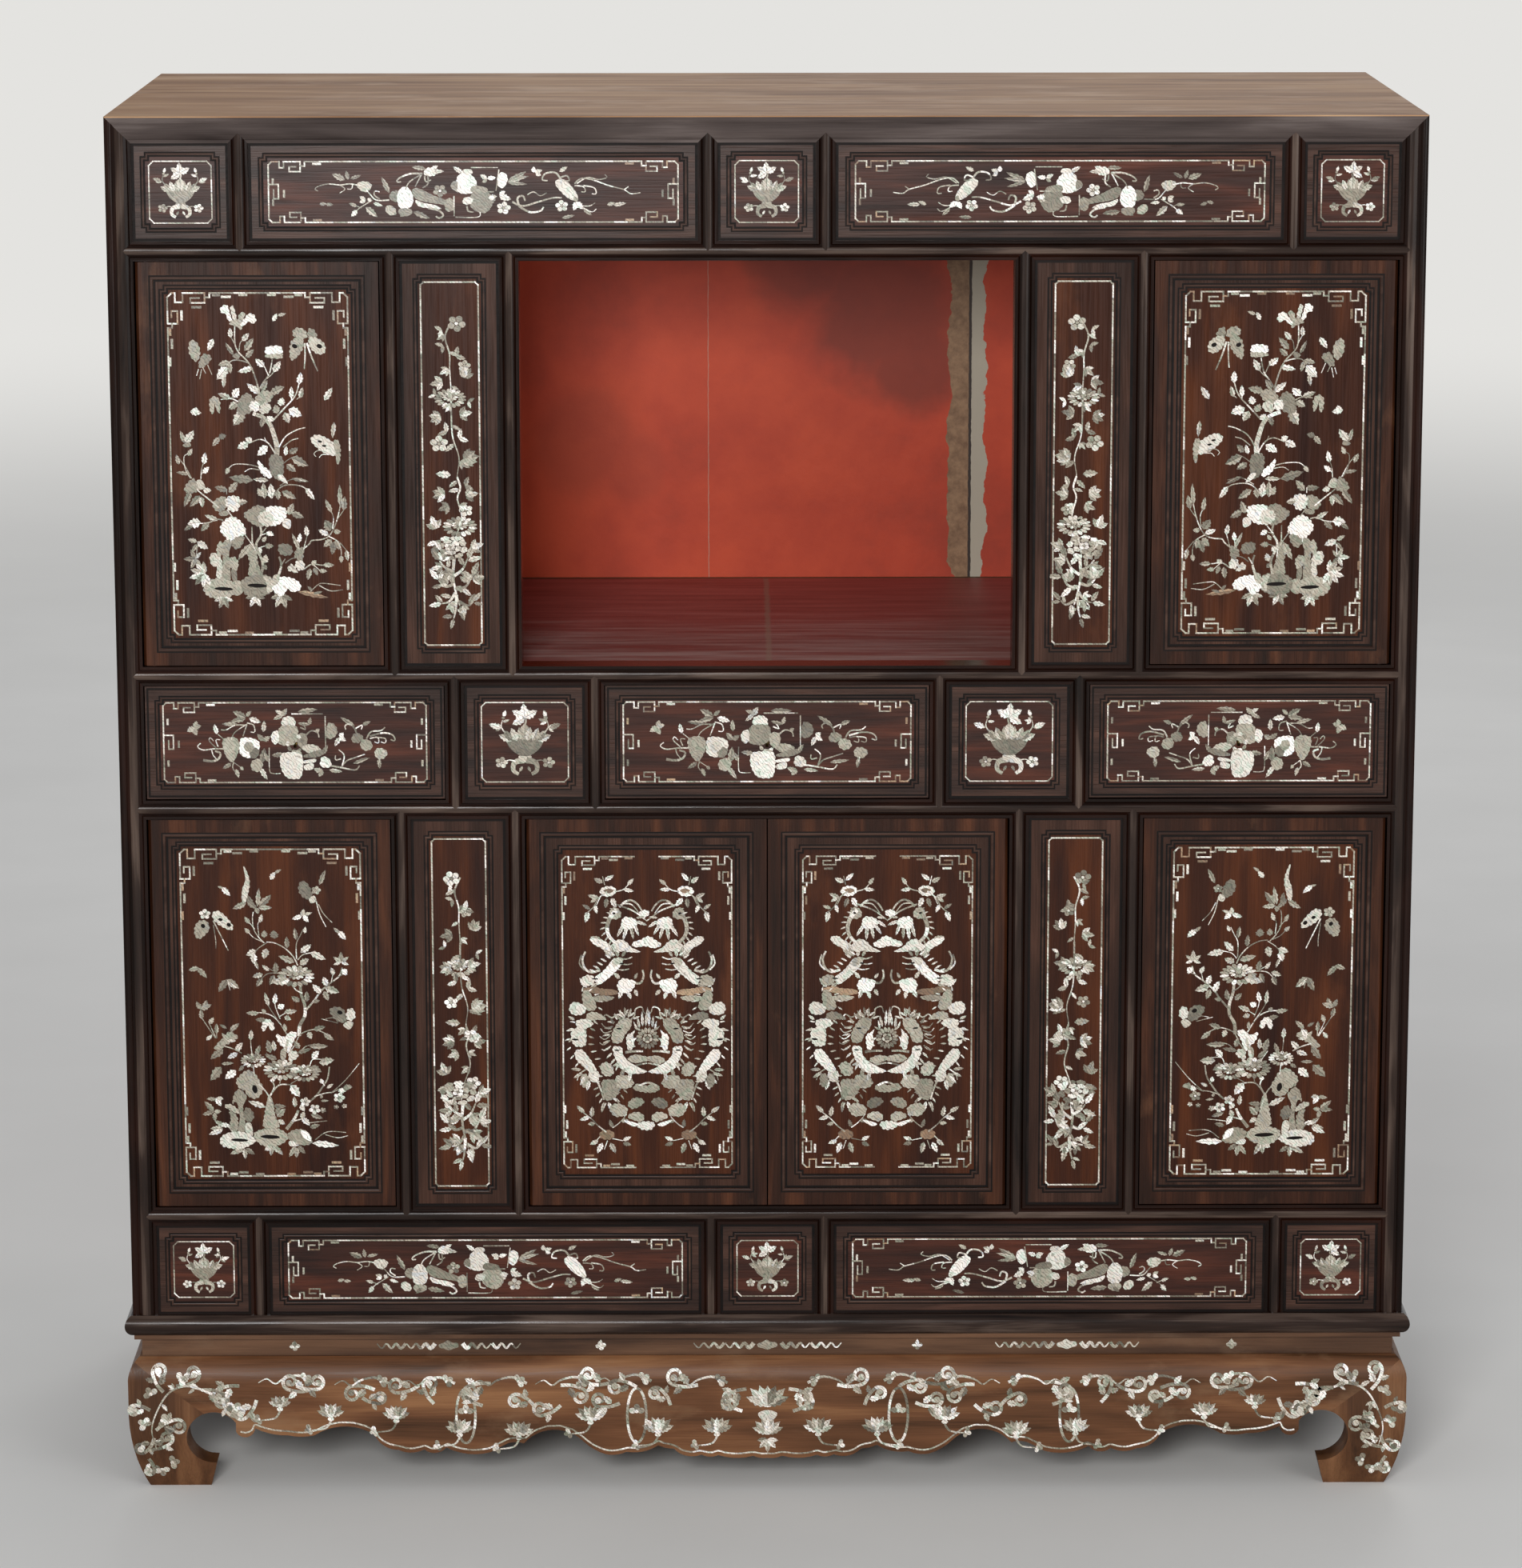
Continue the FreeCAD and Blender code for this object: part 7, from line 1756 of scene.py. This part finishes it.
@dataclass(frozen=True)
class Ground(Finish):
    """Plain pale floor that keeps the cabinet's shadow and fades into the surround far from it."""

    colour: str = "#D9D8D5"
    far: str = "#E4E3E0"

    def surface(self, tree: bpy.types.NodeTree) -> bpy.types.Node:
        """A soft mottle near the cabinet; the camera sees the far floor as the plain surround."""
        place = node(tree, "TexCoord").outputs["Object"]
        mottle = node(tree, "TexNoise",
                      inputs={"Vector": place, "Scale": 3.0, "Detail": 3.0}).outputs[0]
        colour = node(tree, "ValToRGB", {"stops": ((0.3, self.colour), (0.7, "#DEDDDA"))},
                      {"Fac": mottle}).outputs[0]
        near = node(tree, "BsdfPrincipled",
                    inputs={"Base Color": colour, "Roughness": 0.7, "Specular IOR Level": 0.2})
        away = node(tree, "VectorMath", {"operation": "LENGTH"}, {0: place}).outputs["Value"]
        rays = node(tree, "LightPath").outputs
        fade = node(tree, "MapRange", {"interpolation_type": "SMOOTHSTEP"},
                    {"Value": away, "From Min": 3.0, "From Max": 9.0}).outputs[0]
        seen = node(tree, "Math", {"operation": "MAXIMUM"},
                    {0: rays["Is Camera Ray"], 1: rays["Is Glossy Ray"]}).outputs[0]
        share = node(tree, "Math", {"operation": "MULTIPLY"}, {0: fade, 1: seen}).outputs[0]
        far = node(tree, "Emission", inputs={"Color": linear(self.far), "Strength": 1.0})
        return node(tree, "MixShader", inputs={0: share, 1: near.outputs[0], 2: far.outputs[0]})


FRAME_TONES = ("#090402", "#160905", "#25110A")
PLAIN_TONES = ("#4A3424", "#624934", "#7A5E45")
# Frame rails and posts: the crest of each bead, in front of y = -259.35 mm, takes the lighter rim tones,
# partly wear and partly painted highlight.
FRAME_WORN_HIGHLIT_CRESTS = dict(roughness=0.18, gloss=0.12, worn="#241712", worn_share=0.2, edge=-259.35,
             rim=("#15100E", "#2C211C", "#5A4B42"))
DARK_RAILS = Wood("waxed_blackwood_rails", FRAME_TONES, Along.X, **FRAME_WORN_HIGHLIT_CRESTS)
DARK_POSTS = Wood("waxed_blackwood_posts", FRAME_TONES, Along.Z, **FRAME_WORN_HIGHLIT_CRESTS)
FIELD_TALL = ("#230E07", "#341709", "#4E260F")
FIELD_LONG = ("#200F0A", "#351910", "#54291A")
TALL = dict(along=Along.Z, figure=22, roughness=0.26, gloss=0.15, worn="#58301A", worn_share=0.3)
LONG = dict(along=Along.X, figure=14, roughness=0.28, gloss=0.22, worn="#4C2C22", worn_share=0.2)
DOOR_PANELS = Wood("polished_rosewood_door_panels", FIELD_TALL, edge=-254.65, **TALL)
NARROW_PANELS = Wood("polished_rosewood_narrow_panels", FIELD_TALL, edge=-256.05, **TALL)
LEVEL_PANELS = Wood("polished_rosewood_level_panels", FIELD_LONG, edge=-256.05, **LONG)
DRAWER_FRONTS = Wood("polished_rosewood_drawer_fronts", FIELD_LONG, edge=-255.45, **LONG)
LINE_WOOD = Wood("polished_rosewood_carved_lines", ("#21140F", "#33211A", "#4A352B"), Along.X, roughness=0.32,
                 gloss=0.14, worn="#5A463B")
# Dark strips in the grooves, the joints round the panels and the cut slots in the pearl: dark wax, and
# painted shade where these hollows fall dark.
GROOVE_FILL_WAX_AND_SHADE = Wood("dark_wax_and_painted_shade_in_grooves", ("#090605", "#100A08", "#1A110E"), Along.X, roughness=0.5, gloss=0.1,
                  worn="#1E1410")
DOOR_WOOD = Wood("rubbed_rosewood_door_frame", ("#1A0D07", "#2C160C", "#4C2A18"), Along.Z, roughness=0.28,
                 gloss=0.15, worn="#6A4630", worn_share=0.24)
STAND_WOOD = Wood("rubbed_stand_wood", ("#38210F", "#5F3C24", "#835B3B"), Along.X, figure=26, roughness=0.42,
                  worn="#7E6046", worn_share=0.34)
# The waist's tones are darker than the rest of the stand's: painted shade, as if it lay in the shadow of the
# base moulding above it; its worn patches are real wear.
SHADED_WAIST_WOOD = Wood("rubbed_stand_waist_with_painted_shade", ("#2E1D13", "#4A3222", "#664833"), Along.X, figure=26, roughness=0.46,
                  worn="#6A523F", worn_share=0.3)
FEET_WOOD = Wood("rubbed_stand_feet", ("#331E10", "#553620", "#775236"), Along.Z, figure=24, roughness=0.42,
                 worn="#765A42", worn_share=0.34)
PLAIN_LONG = Wood("planed_softwood_level", PLAIN_TONES, Along.X, figure=30, roughness=0.62, worn="#6E5641")
PLAIN_TALL = Wood("planed_softwood_upright", PLAIN_TONES, Along.Z, figure=30, roughness=0.62, worn="#6E5641")
PLAIN_DEEP = Wood("planed_softwood_deep", PLAIN_TONES, Along.Y, figure=30, roughness=0.62, worn="#6E5641")
SIDE_WOOD = Wood("dark_stained_sides", ("#160F0B", "#281B15", "#3A2A20"), Along.Z, figure=34, roughness=0.42,
                 worn="#43332A")
TOP_WOOD = Wood("worn_faded_top", ("#7E5C42", "#A27C5C", "#BC9874"), Along.X, figure=30, roughness=0.6,
                gloss=0.05, worn="#C4A68C", worn_share=0.42, rim=("#2C2523", "#4A413E", "#6E6460"),
                rim_axis=Along.Z, edge=1299.0)
DRAWER_WOOD = Wood("bare_drawer_softwood", ("#8A6C4C", "#A98A66", "#BFA27E"), Along.Y, figure=24,
                   roughness=0.65, worn="#8E7459")
BAY_FLOOR = BayFloor("worn_stained_floor")
RED_LACQUER = Lacquer("old_red_lacquer")
OLD_BRASS = Brass("dull_cast_brass")
PEARL = (
    Pearl("grey_mother_of_pearl", "#5E5849", "#878170", "#AEA998"),
    Pearl("silver_mother_of_pearl", "#8A8573", "#B5B0A0", "#DAD7CC"),
    Pearl("white_mother_of_pearl", "#C6C2B6", "#E2DFD6", "#FAF8F3"),
    Pearl("brown_shell", "#5A4430", "#86694C", "#B39675"),
    GROOVE_FILL_WAX_AND_SHADE,
)

NODE_FINISHES: dict[str, Finish] = {
    "front_posts": DARK_POSTS, "top_frame": TOP_WOOD, "upper_rail": DARK_RAILS, "drawer_top_rail": DARK_RAILS,
    "drawer_bottom_rail": DARK_RAILS, "plinth_rail": DARK_RAILS, "base_frame": DARK_RAILS,
    "frieze_muntins": DARK_POSTS, "upper_muntins": DARK_POSTS, "drawer_muntins": DARK_POSTS,
    "lower_muntins": DARK_POSTS, "plinth_muntins": DARK_POSTS,
    "frieze_panels": LEVEL_PANELS, "plinth_panels": LEVEL_PANELS, "drawer_row_panels": LEVEL_PANELS,
    "upper_narrow_panels": NARROW_PANELS, "lower_narrow_panels": NARROW_PANELS,
    "stand_waist": SHADED_WAIST_WOOD, "stand_front_apron": STAND_WOOD, "stand_back_apron": STAND_WOOD,
    "stand_side_aprons": STAND_WOOD, "stand_front_feet": FEET_WOOD, "stand_back_feet": FEET_WOOD,
    "back_posts": PLAIN_TALL, "back_rails": PLAIN_LONG, "side_rails": SIDE_WOOD, "bottom_boards": PLAIN_LONG,
    "cupboard_floor": PLAIN_LONG, "niche_floor": BAY_FLOOR, "partitions": PLAIN_TALL,
    "drawer_runners": PLAIN_DEEP, "lower_back_boards": PLAIN_TALL, "side_panels": SIDE_WOOD,
    "top_boards": TOP_WOOD, "upper_back_boards": RED_LACQUER,
}


def dress_nodes() -> None:
    """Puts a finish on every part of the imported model."""
    for name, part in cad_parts.items():
        if name in NODE_FINISHES:
            finish = NODE_FINISHES[name]
        elif name.endswith("door_frame"):
            finish = DOOR_WOOD
        elif name.endswith("door_panel"):
            finish = DOOR_PANELS
        elif name.endswith("drawer_front"):
            finish = DRAWER_FRONTS
        elif name.endswith("drawer_box"):
            finish = DRAWER_WOOD
        else:
            finish = OLD_BRASS
        part.data.materials.clear()
        part.data.materials.append(finish.material())
        log.info("%s: %s", name, finish.name)


# Front of the case


@dataclass(frozen=True)
class Rectangle:
    """A rectangle on the front of the case, in millimetres."""

    low: Point
    high: Point

    def inset(self, across: float, up: float) -> "Rectangle":
        """The rectangle drawn in by so much from its sides and from its top and bottom."""
        return Rectangle((self.low[0] + across, self.low[1] + up), (self.high[0] - across, self.high[1] - up))


@dataclass(frozen=True)
class FrontLayout:
    """Openings of the front, from the same sizes that the joinery has."""

    inside_half: float = 576.0
    member: float = 18.0
    door_member: float = 16.0
    side_gap: float = 1.2
    end_gap: float = 0.8
    front_gap: float = 0.9
    door_overlap: float = 0.6
    end_square: float = 88.0
    middle_square: float = 89.0
    upper_door: float = 223.5
    upper_narrow: float = 90.5
    lower_door: float = 227.0
    lower_narrow: float = 88.0
    drawer: float = 278.0
    drawer_square: float = 111.5
    square_border: float = 12.0
    long_border: float = 13.0
    narrow_border: float = 16.0
    garden_border: float = 9.0
    dragon_border: float = 13.0
    drawer_border: float = 13.0

    def row(self, end: float, inner: float | None, middle: float | None) -> list[Point]:
        """The five openings of a row from left to right.

        Args:
            end: width of an outer opening.
            inner, middle: widths of the next two; the one given as None takes the room that is left.
        Returns:
            Their left and right sides.
        """
        room = self.inside_half - end - self.member
        if inner is None:
            half_middle = middle / 2
        else:
            half_middle = room - inner - self.member
        right = [(half_middle + self.member, room), (self.inside_half - end, self.inside_half)]
        left = [(-high, -low) for low, high in reversed(right)]
        return [*left, (-half_middle, half_middle), *right]


LAYOUT = FrontLayout()
FRIEZE_Z, UPPER_Z, DRAWER_Z = (1187.0, 1276.0), (794.5, 1169.0), (668.5, 776.5)
LOWER_Z, PLINTH_Z = (277.5, 650.5), (172.0, 259.5)


def rectangle(sides: Point, heights: Point) -> Rectangle:
    """The opening between two sides and two heights."""
    return Rectangle((sides[0], heights[0]), (sides[1], heights[1]))


def door_sight(sides: Point, heights: Point) -> Rectangle:
    """The panel that shows inside a door's frame."""
    return rectangle(sides, heights).inset(LAYOUT.door_member + LAYOUT.side_gap,
                                           LAYOUT.door_member + LAYOUT.end_gap)


@dataclass(frozen=True)
class PanelPlace:
    """One panel: where it is, how deep its faces lie and what moves it.

    border is the width of the raised edge round the sunk field, and edge and depth are the places of
    the raised and the sunk face.
    """

    name: str
    sight: Rectangle
    border: float
    edge: float
    depth: float
    body: str = "cabinet"


DOOR_FACE = -257.0
FIXED_EDGE, FIXED_DEPTH = -256.4, -255.7
DOOR_EDGE, DOOR_DEPTH = -255.0, -254.3
DRAWER_EDGE, DRAWER_DEPTH = -255.8, -255.1
# Tones of the carved lines: the wood of the bead, and the dark of the grooves and joints, which is dark wax
# and painted shade.
WOOD, WAX_AND_SHADE_TONE = 0, 1


@dataclass(frozen=True)
class Line:
    """The section of a carved line.

    inner and outer are how far its sides lie outside the rectangle that it follows, and low and high
    how far it reaches into the face and out of it.
    """

    inner: float
    outer: float
    low: float
    high: float
    tone: int


# A bead between two dark grooves round each sunk field, a smaller one on each door's frame, and the
# dark joint round each panel; the dark of the grooves and joints is dark wax and painted shade
FIELD_LINES = (Line(-0.4, 1.2, -0.85, 0.12, WAX_AND_SHADE_TONE), Line(1.2, 2.9, -0.85, 0.75, WOOD),
               Line(2.9, 4.3, -0.2, 0.12, WAX_AND_SHADE_TONE))
DOOR_FRAME_LINES = Line(0.4, 2.6, -1.0, 0.6, WOOD), Line(2.6, 4.0, -0.2, 0.1, WAX_AND_SHADE_TONE)
DOOR_PANEL_JOINT = Line(-2.2, 0.4, -0.2, 0.1, WAX_AND_SHADE_TONE)
CASE_JOINT = Line(-2.6, -0.1, -0.2, 0.1, WAX_AND_SHADE_TONE)
DRAWER_LINE = Line(-3.4, -1.6, -0.2, 0.1, WAX_AND_SHADE_TONE)


@dataclass
class CarvedLines:
    """The thin lines of one body's panels: a bead and dark grooves round each field and frame, their dark
    being dark wax and painted shade.
    """

    name: str
    body: str
    places: list[PanelPlace]
    notch: float = 4.0
    vertices: list[tuple[float, float, float]] = field(default_factory=list)
    faces: list[list[int]] = field(default_factory=list)
    tones: list[int] = field(default_factory=list)

    def build(self) -> bpy.types.Object:
        """Makes the closed rings of every panel.

        Returns:
            The new object.
        """
        for place in self.places:
            inner = place.sight.inset(place.border, place.border)
            for line in FIELD_LINES:
                self.ring(inner, place.edge, line, self.notch)
            self.corners(inner, place.edge)
            if place.name.endswith("door"):
                self.ring(place.sight, place.edge, DOOR_PANEL_JOINT)
                for line in DOOR_FRAME_LINES:
                    self.ring(place.sight, DOOR_FACE, line)
            else:
                joint = CASE_JOINT if place.body == "cabinet" else DRAWER_LINE
                self.ring(place.sight, place.edge, joint)
        return make_piece(self.name, self.vertices, self.faces, self.body,
                          (LINE_WOOD, GROOVE_FILL_WAX_AND_SHADE), self.tones)

    def ring(self, shape: Rectangle, face: float, line: Line, notch: float = 0.0) -> None:
        """Adds one closed ring with a soft top.

        Args:
            shape: the rectangle that it follows.
            face: the place of the face that it stands on.
            line: its section.
            notch: size of its stepped corners, 0 for plain ones.
        """
        inner, outer, low, high, tone = line.inner, line.outer, line.low, line.high, line.tone
        x, z = [(shape.high[axis] - shape.low[axis]) / 2 for axis in (0, 1)]
        cx, cz = [(shape.high[axis] + shape.low[axis]) / 2 for axis in (0, 1)]
        soft = (outer - inner) * 0.25
        section = ((inner, low), (inner, high - soft * 0.4 * (1 - tone)), (inner + soft, high),
                   (outer - soft, high), (outer, high - soft * 0.4 * (1 - tone)), (outer, low))
        first, sides = len(self.vertices), len(section)
        loops = [self.notched(x + out, z + out, notch) for out, _ in section]
        count = len(loops[0])
        for k in range(count):
            for loop, (_, up) in zip(loops, section):
                self.vertices.append(((cx + loop[k][0]) * MM, (face - up) * MM, (cz + loop[k][1]) * MM))
        for k in range(count):
            after = (k + 1) % count
            for s in range(sides):
                t = (s + 1) % sides
                self.faces.append([first + k * sides + s, first + k * sides + t,
                                   first + after * sides + t, first + after * sides + s])
                self.tones.append(tone)

    def corners(self, shape: Rectangle, face: float) -> None:
        """Fills the corners of the field outside the stepped line, level with the border."""
        n, up, low = self.notch - 0.2, 0.04, -0.85
        for x, right in ((shape.low[0], 1), (shape.high[0], -1)):
            for z, above in ((shape.low[1], 1), (shape.high[1], -1)):
                first = len(self.vertices)
                flat = [(x, z), (x + right * n, z), (x + right * n, z + above * n), (x, z + above * n)]
                self.vertices += [(a * MM, (face - out) * MM, c * MM) for out in (up, low) for a, c in flat]
                quads = [[0, 1, 2, 3], [7, 6, 5, 4], [0, 4, 5, 1], [1, 5, 6, 2], [2, 6, 7, 3], [3, 7, 4, 0]]
                if right * above < 0:
                    quads = [quad[::-1] for quad in quads]
                self.faces += [[first + k for k in quad] for quad in quads]
                self.tones += [WOOD] * len(quads)

    def notched(self, x: float, z: float, n: float) -> list[Point]:
        """The corners of a rectangle with a square notch in each."""
        if n == 0.0:
            return [(x, z), (x, -z), (-x, -z), (-x, z)]
        return [(x - n, z), (x - n, z - n), (x, z - n), (x, -z + n), (x - n, -z + n), (x - n, -z),
                (-x + n, -z), (-x + n, -z + n), (-x, -z + n), (-x, z - n), (-x + n, z - n), (-x + n, z)]


def level(depth: float) -> Callable[[float, float], float]:
    """The face of a flat panel."""
    return lambda x, z: depth


def all_panels() -> dict[str, PanelPlace]:
    """Every inlaid panel of the front by name."""
    found: list[PanelPlace] = []

    def fixed(name: str, sides: Point, heights: Point, border: float) -> None:
        """Adds a panel held in the frame."""
        found.append(PanelPlace(name, rectangle(sides, heights), border, FIXED_EDGE, FIXED_DEPTH))

    def door(name: str, sides: Point, heights: Point, border: float) -> None:
        """Adds a door's panel, which the door carries."""
        found.append(PanelPlace(name, door_sight(sides, heights), border, DOOR_EDGE, DOOR_DEPTH, name))

    for row, heights in (("frieze", FRIEZE_Z), ("plinth", PLINTH_Z)):
        bays = LAYOUT.row(LAYOUT.end_square, None, LAYOUT.middle_square)
        for name, sides in zip(("left_square", "left_long", "middle_square", "right_long", "right_square"),
                               bays):
            border = LAYOUT.long_border if name.endswith("long") else LAYOUT.square_border
            fixed(f"{row}_{name}", sides, heights, border)
    upper = LAYOUT.row(LAYOUT.upper_door, LAYOUT.upper_narrow, None)
    lower = LAYOUT.row(LAYOUT.lower_door, LAYOUT.lower_narrow, None)
    for row, bays, heights in (("upper", upper, UPPER_Z), ("lower", lower, LOWER_Z)):
        for side, narrow, end in (("left", 1, 0), ("right", 3, 4)):
            fixed(f"{row}_{side}_narrow", bays[narrow], heights, LAYOUT.narrow_border)
            door(f"{row}_{side}_door", bays[end], heights, LAYOUT.garden_border)
    half, overlap = lower[2][1], LAYOUT.door_overlap
    for side, sides in (("left", (-half, overlap)), ("right", (-overlap, half))):
        door(f"centre_{side}_door", sides, LOWER_Z, LAYOUT.dragon_border)
    drawers = LAYOUT.row(LAYOUT.drawer, LAYOUT.drawer_square, None)
    for name, bay in (("left", 0), ("centre", 2), ("right", 4)):
        front = rectangle(drawers[bay], DRAWER_Z).inset(LAYOUT.front_gap, LAYOUT.front_gap)
        found.append(PanelPlace(f"{name}_drawer", front, LAYOUT.drawer_border, DRAWER_EDGE, DRAWER_DEPTH,
                                f"{name}_drawer"))
    for side, bay in (("left", 1), ("right", 3)):
        fixed(f"drawer_{side}_square", drawers[bay], DRAWER_Z, LAYOUT.drawer_border)
    return {place.name: place for place in found}


@dataclass
class Front:
    """All the inlay and carved lines on the front of the case."""

    panels: dict[str, PanelPlace]

    def build(self) -> None:
        """Builds the inlay of each panel and the carved lines of each body."""
        for number, place in enumerate(self.panels.values()):
            inlay = self.inlay(place, number)
            inlay.draw()
            inlay.build()
        for body in sorted({place.body for place in self.panels.values()}):
            places = [place for place in self.panels.values() if place.body == body]
            CarvedLines(f"{body}_carved_lines", body, places).build()

    def inlay(self, place: PanelPlace, number: int) -> Panel:
        """The drawing that belongs on a panel.

        Args:
            place: the panel.
            number: its number, which seeds the drawing.
        Returns:
            The drawing, not yet drawn.
        """
        name = place.name

        def area(across: float, up: float) -> dict:
            """What every kind of panel needs, with its line inset by so much."""
            line = place.sight.inset(across, up)
            return dict(name=f"{name}_inlay", body=place.body, face=level(place.depth), seed=number,
                        low=line.low, high=line.high, mirrored="right" in name)

        if name.startswith("centre") and name.endswith("door"):
            return DragonDoor(**area(16.6, 20.0))
        if name.endswith("door"):
            return GardenDoor(**area(12.5, 12.5), garden=UPPER_GARDEN if "upper" in name else LOWER_GARDEN)
        if name.endswith("narrow"):
            return ClimberPanel(**area(19.0, 19.5), lower="lower" in name)
        if name.endswith("drawer"):
            return VesselPanel(**area(16.5, 15.5), plan=VESSELS)
        if name.endswith("long"):
            return VesselPanel(**area(18.0, 17.0 if "frieze" in name else 15.5), plan=LONG_VESSELS)
        return LotusSquare(**area(15.7, 16.5))


@dataclass(frozen=True)
class StandFace:
    """The swelling front face of the stand, whose section the apron and the feet share."""

    front: float = -260.0
    top: Point = (-5.0, 130.0)
    shoulder: Point = (3.2, 119.0)
    belly: Point = (5.4, 106.0)
    ankle: Point = (5.4, 74.0)
    low: Point = (-1.2, 29.0)
    toe: Point = (-12.0, 0.0)

    def offset(self, curve: Sequence[Point], z: float) -> float:
        """How far a curve of (offset, height) points stands out at a height."""
        for (a, low), (b, high) in zip(curve, curve[1:]):
            if min(low, high) <= z <= max(low, high):
                return a + (b - a) * (z - low) / (high - low)
        return curve[-1][0]

    def depth(self, x: float, z: float) -> float:
        """The face's place at a point of the front."""
        if z >= self.belly[1]:
            out = self.offset(arc_through(self.top, self.shoulder, self.belly, 12), z)
        elif z <= self.ankle[1] and abs(x) > 520:
            out = self.offset(arc_through(self.ankle, self.low, self.toe, 12), z)
        else:
            out = self.belly[0]
        return self.front - out


@dataclass
class Studio:
    """Camera, lamps and plain ground."""

    eye: tuple[float, float, float] = (-0.0288, -5.269, 1.7128)
    pitch: float = -11.612
    yaw: float = -0.264
    roll: float = -0.051
    lens: float = 126.71

    def build(self) -> None:
        """Adds the camera, the lamps, the world and the ground."""
        data = bpy.data.cameras.new("camera")
        data.lens = self.lens
        data.clip_end = 60.0
        camera = bpy.data.objects.new("camera", data)
        turn = (Matrix.Rotation(math.radians(self.yaw), 4, "Z")
                @ Matrix.Rotation(math.radians(90 + self.pitch), 4, "X")
                @ Matrix.Rotation(math.radians(self.roll), 4, "Z"))
        camera.matrix_world = Matrix.Translation(self.eye) @ turn
        bpy.context.scene.collection.objects.link(camera)
        bpy.context.scene.camera = camera
        self.lamp("key_lamp", (-0.7, -5.0, 2.0), 1.2, 170.0)
        self.lamp("fill_lamp", (2.6, -3.8, 1.5), 2.2, 50.0)
        self.lamp("back_lamp", (0.5, 4.0, 3.2), 3.0, 60.0)
        self.world()
        self.ground()
        bpy.context.scene.view_settings.view_transform = "Standard"

    def lamp(self, name: str, place: tuple[float, float, float], size: float, power: float) -> None:
        """Adds one soft lamp that faces the middle of the cabinet."""
        data = bpy.data.lights.new(name, "AREA")
        data.size = size
        data.energy = power
        lamp = bpy.data.objects.new(name, data)
        lamp.location = place
        lamp.rotation_euler = (Vector(place) - Vector((0.0, 0.0, 0.65))).to_track_quat("Z", "Y").to_euler()
        bpy.context.scene.collection.objects.link(lamp)

    def world(self) -> None:
        """A plain pale surround; the camera and mirror-like surfaces see it as the backdrop."""
        world = bpy.data.worlds.new("studio")
        bpy.context.scene.world = world
        world.use_nodes = True
        tree = world.node_tree
        tree.nodes.clear()
        rays = node(tree, "LightPath").outputs
        lit = node(tree, "Background", inputs={"Color": linear("#F2F4F8"), "Strength": 0.42})
        seen = node(tree, "Background", inputs={"Color": linear("#E4E3E0"), "Strength": 1.0})
        mixed = node(tree, "MixShader",
                     inputs={0: rays["Is Camera Ray"], 1: lit.outputs[0], 2: seen.outputs[0]})
        node(tree, "OutputWorld", inputs={"Surface": mixed.outputs[0]})

    def ground(self) -> None:
        """A wide floor at the cabinet's feet."""
        mesh = bpy.data.meshes.new("ground")
        reach = 60.0
        mesh.from_pydata([(-reach, -reach, 0), (reach, -reach, 0), (reach, reach, 0), (-reach, reach, 0)], [],
                         [(0, 1, 2, 3)])
        mesh.materials.append(Ground("pale_studio_floor").material())
        floor = bpy.data.objects.new("ground", mesh)
        bpy.context.scene.collection.objects.link(floor)


def main() -> None:
    """Builds the studio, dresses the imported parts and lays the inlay."""
    logging.basicConfig(level=logging.INFO, format="%(message)s")
    Studio().build()
    dress_nodes()
    Front(all_panels()).build()
    stand = StandFace()
    for inlay in (StandInlay("stand_vine_inlay", "cabinet", stand.depth, 51, "stand_wood"),
                  WaistInlay("stand_waist_inlay", "cabinet", level(-252.5), 52, "stand_wood")):
        inlay.draw()
        inlay.build()


if __name__ == "__main__":
    main()
